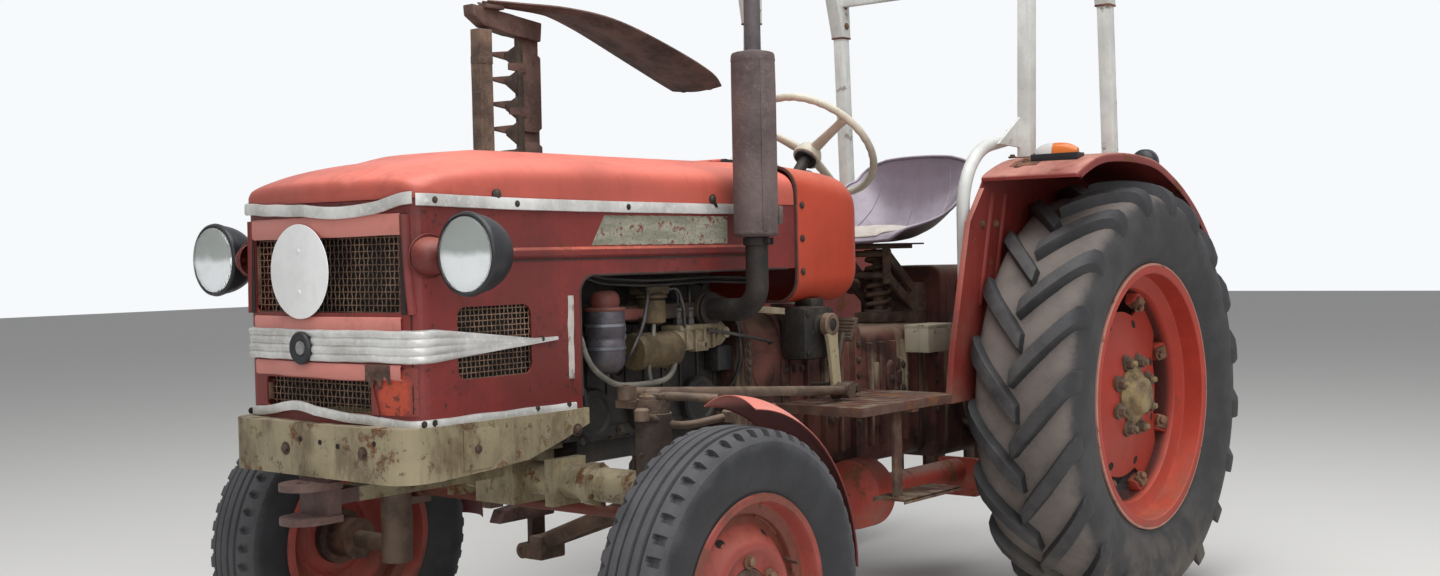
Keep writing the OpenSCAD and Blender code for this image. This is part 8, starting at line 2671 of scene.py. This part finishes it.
for s in (1, -1):
    ball = [(math.sqrt(max(0.0, 0.0213 ** 2 - (h - 0.0152) ** 2)), h)
            for h in (0.003, 0.007, 0.011, 0.0152, 0.019, 0.023, 0.027)]
    turned(bm, at(s * link_x - 0.0152, link_end, link_z), (1, 0, 0),
           [(0.0116, 0.0), (0.0160, 0.0)] + ball + [(0.0160, 0.0304), (0.0116, 0.0304)], 40, closed=True)
made("link_balls", bm, bright_oil, "lower_links", sharp=40)
bm = bmesh.new()
for s in (1, -1):
    x = s * (link_x + 0.0193)
    for z in (link_z, lift_up):
        turned(bm, at(s * (link_x + 0.0114), rod_y, z), (s, 0, 0),
               [(0.0095, 0), (0.0215, 0), (0.0237, 0.002), (0.0237, 0.0138), (0.0215, 0.0158),
                (0, 0.0158)], 36)
        pipe(bm, [at(s * (link_x - 0.0108), rod_y, z), at(s * (link_x + 0.0130), rod_y, z)], 0.0098, 24)
    rows = []
    for k in range(60):
        z = link_z + 0.020 + 0.480 * k / 59
        r = 0.0118 + (0.0010 if k % 2 else 0.0)
        rows.append([at(x + r * math.cos(a), rod_y + r * math.sin(a), z) for a in angles(16)])
    loft(bm, rows)
    turned(bm, at(x, rod_y, link_z + 0.150), (0, 0, 1),
           [(0.0120, 0), (0.0155, 0.001), (0.0168, 0.004), (0.0168, 0.030), (0.0145, 0.036),
            (0.0145, 0.164), (0.0168, 0.170), (0.0168, 0.196), (0.0155, 0.199), (0.0120, 0.200)], 28)
made("lift_rods", bm, hitch_rust, "lift_rods", replaces=["lift_rods"], sharp=35)
bm = bmesh.new()
for s in (1, -1):
    for y0, y1 in ((rear_y + 0.1205, rear_y + 0.1995), (rear_y - 0.0595, rear_y - 0.0105)):
        side_block(bm, s, 0.0705, 0.0835, (y0, 0.329), (y1, 0.4295), 0.003)
block(bm, at(-0.0838, rear_y - 0.0598, 0.3165), at(0.0838, rear_y + 0.1998, 0.3295), 0.003)
hole = at(0, rear_y + 0.285, 0.317)
eye_turns = [math.radians(180 - 9 * k) for k in range(21)]
hole_turns = [math.radians(250 - 320 * k / 22) for k in range(23)]
outer = [hole + Vector((0.0448 * math.cos(a), 0.0448 * math.sin(a), 0)) for a in eye_turns]
outer = [at(-0.045, rear_y + 0.190, 0.317)] + outer + [at(0.045, rear_y + 0.190, 0.317)]
inner = [hole + Vector((0.0142 * math.cos(a), 0.0142 * math.sin(a), 0)) for a in hole_turns]
up = Vector((0, 0, 0.0185))
rows = [outer, inner, [p + up for p in inner], [p + up for p in outer]]
skin(bm, rows, closed=True)
block(bm, at(-0.0448, rear_y + 0.150, 0.3170), at(0.0448, rear_y + 0.262, 0.3350), 0.002)
for s in (1, -1):
    for y in (rear_y + 0.140, rear_y + 0.180, rear_y - 0.045):
        turned(bm, at(s * 0.050, y, 0.3290), (0, 0, 1),
               [(0.011, 0), (0.011, 0.008), (0.008, 0.009), (0, 0.0092)], 6)
made("drawbar", bm, hitch_rust, replaces=["drawbar"], sharp=35)

# Side mower stowed upright on the right: a rusty back bar with pointed fingers, knife sections and clips.
# A weathered board guards the finger tips, and the swath board hangs from the top as a thin bent sheet.
mower_rust = bare("mower_rust", (0.062, 0.034, 0.028), (0.175, 0.098, 0.078), grime=0.25, rough=0.75,
                  metal=0.2, size=0.8, depth=0.002, dust_top=0.4)
bar_x, bar_top, bar_low = -0.739, 1.760, 0.190
bm = bmesh.new()
turned(bm, at(hinge_x, 0.8445, bar_low), (0, 1, 0),
       [(0.0125, 0), (0.022, 0), (0.0237, 0.002), (0.0237, 0.0655), (0.022, 0.0672), (0.0125, 0.0672)],
       36, closed=True)
pipe(bm, [at(hinge_x, 0.8275, bar_low), at(hinge_x, 0.9285, bar_low)], 0.0118, 24)
blocks(bm, [
    (bar_x - 0.0055, bar_x + 0.0175, 0.851, 0.905, bar_low + 0.011, bar_low + 0.129, 0.004),
    (bar_x + 0.0005, bar_x + 0.0135, 0.8385, 0.9245, bar_low + 0.111, bar_top - 0.0005, 0.003)])
for i in range(19):
    z = bar_low + 0.150 + 0.072 * i
    outline = [(0.850, z + 0.001), (0.850, z + 0.035), (0.812, z + 0.031), (0.790, z + 0.0285),
               (0.752, z + 0.0235), (0.7190, z + 0.0195), (0.7183, z + 0.0165), (0.752, z + 0.0110),
               (0.790, z + 0.0060), (0.812, z + 0.003)]
    side_plate(bm, bar_x + 0.003, outline, 0.018, 0.0035)
    turned(bm, at(bar_x + 0.0195, 0.842, z + 0.018), (1, 0, 0),
           [(0.0085, -0.001), (0.0085, 0.0025), (0.006, 0.0036), (0, 0.0038)], 6)
side_plate(bm, bar_x - 0.0095,
           ((0.701, bar_low + 0.101), (0.924, bar_low + 0.101), (0.924, bar_low + 0.149),
            (0.800, bar_low + 0.146), (0.721, bar_low + 0.139)), 0.049, 0.006)
side_plate(bm, bar_x - 0.0095,
           ((0.653, bar_top - 0.004), (0.700, bar_top - 0.033), (0.800, bar_top - 0.047),
            (0.919, bar_top - 0.059), (0.9245, bar_top - 0.001), (0.800, bar_top + 0.012),
            (0.700, bar_top + 0.021), (0.650, bar_top + 0.028)), 0.043, 0.006)
for i in range(5):
    z = bar_low + 0.180 + 0.265 * i
    side_plate(bm, bar_x + 0.0130,
               ((0.851, z + 0.004), (0.851, z + 0.236), (0.905, z + 0.239), (0.9245, z + 0.225),
                (0.9245, z + 0.015), (0.905, z + 0.001)), 0.0105, 0.002)
    for k in range(4):
        turned(bm, at(bar_x + 0.0232, 0.890, z + 0.030 + 0.060 * k), (1, 0, 0),
               [(0.0095, -0.001), (0.0095, 0.0002), (0.0088, 0.0006), (0, 0.0007)], 6)
    for k in range(2):
        side_plate(bm, bar_x + 0.0210,
                   ((0.792, z + 0.050 + 0.130 * k), (0.860, z + 0.045 + 0.130 * k),
                    (0.860, z + 0.075 + 0.130 * k), (0.792, z + 0.070 + 0.130 * k)), 0.0065, 0.002)
made("bar", bm, mower_rust, "cutter_bar", replaces=["cutter_bar"], sharp=35)
bm = bmesh.new()
for i in range(18):
    z = bar_low + 0.156 + 0.0745 * i
    side_plate(bm, bar_x + 0.0225,
               ((0.849, z), (0.849, z + 0.073), (0.826, z + 0.073), (0.778, z + 0.044),
                (0.778, z + 0.029), (0.826, z)), 0.003, 0.0006)
block(bm, at(bar_x + 0.0222, 0.826, bar_low + 0.152), at(bar_x + 0.0272, 0.849, bar_top - 0.062), 0.001)
made("knife", bm, oily_brown, "cutter_bar", sharp=35)
old_board = bare("old_board", (0.080, 0.052, 0.038), (0.235, 0.155, 0.110), grime=0.3, rough=0.85,
                 metal=0.0, size=0.7, depth=0.003)
bm = bmesh.new()
rows = []
for k in range(36):
    z = bar_low + 0.1505 + (bar_top - 0.0405 - bar_low - 0.1505) * k / 35
    wave = 0.0012 * noise.noise(Vector((0, 0, z * 9)))
    rows.append([at(x + wave, y, z)
                 for x, y in ((bar_x - 0.0050, 0.6740), (bar_x + 0.0325, 0.6735),
                              (bar_x + 0.0330, 0.6850), (bar_x + 0.0310, 0.6880),
                              (bar_x + 0.0330, 0.6910), (bar_x + 0.0330, 0.7222),
                              (bar_x - 0.0050, 0.7228))])
loft(bm, rows)
for k in range(5):
    z = bar_low + 0.230 + 0.300 * k
    block(bm, at(bar_x - 0.0056, 0.6725, z), at(bar_x + 0.0336, 0.7238, z + 0.022), 0.001)
made("finger_board", bm, old_board, "cutter_bar", sharp=35)

swath_table = [(0.700, 1.7924, 0.0215, -0.717), (0.800, 1.7930, 0.0335, -0.701),
               (0.930, 1.7860, 0.0615, -0.667), (1.060, 1.7600, 0.0955, -0.637),
               (1.250, 1.7000, 0.1175, -0.621), (1.450, 1.6300, 0.1235, -0.615),
               (1.540, 1.5940, 0.1035, -0.623)]
bm = bmesh.new()
rows = []
for y, z, half, x in smooth_table(swath_table, 6):
    rows.append([at(x + half * u, y,
                    z - 0.0010 + 0.0095 * u * u - (0.0022 if abs(abs(u) - 0.52) < 0.09 else 0.0)
                    + 0.002 * noise.noise(Vector((u * 2, y * 5, 1.0))))
                 for u in (k / 12 - 1 for k in range(25))])
skin(bm, rows)
made("swath_board", bm, mower_rust, "cutter_bar", replaces=["swath_board"],
     wall=0.0045, sharp=50)
bm = bmesh.new()
spine = [at(x, y, z + 0.0045) for y, z, half, x in smooth_table(swath_table, 4)[:-2]]
pipe(bm, spine, 0.0045, 10)
block(bm, at(-0.742, 0.690, 1.778), at(-0.690, 0.760, 1.7900), 0.003)
for x, y in ((-0.728, 0.705), (-0.704, 0.705), (-0.728, 0.745), (-0.704, 0.745)):
    turned(bm, at(x, y, 1.7895), (0, 0, 1), [(0.008, 0), (0.008, 0.0035), (0, 0.0037)], 6)
made("swath_stay", bm, mower_rust, "cutter_bar", sharp=35)
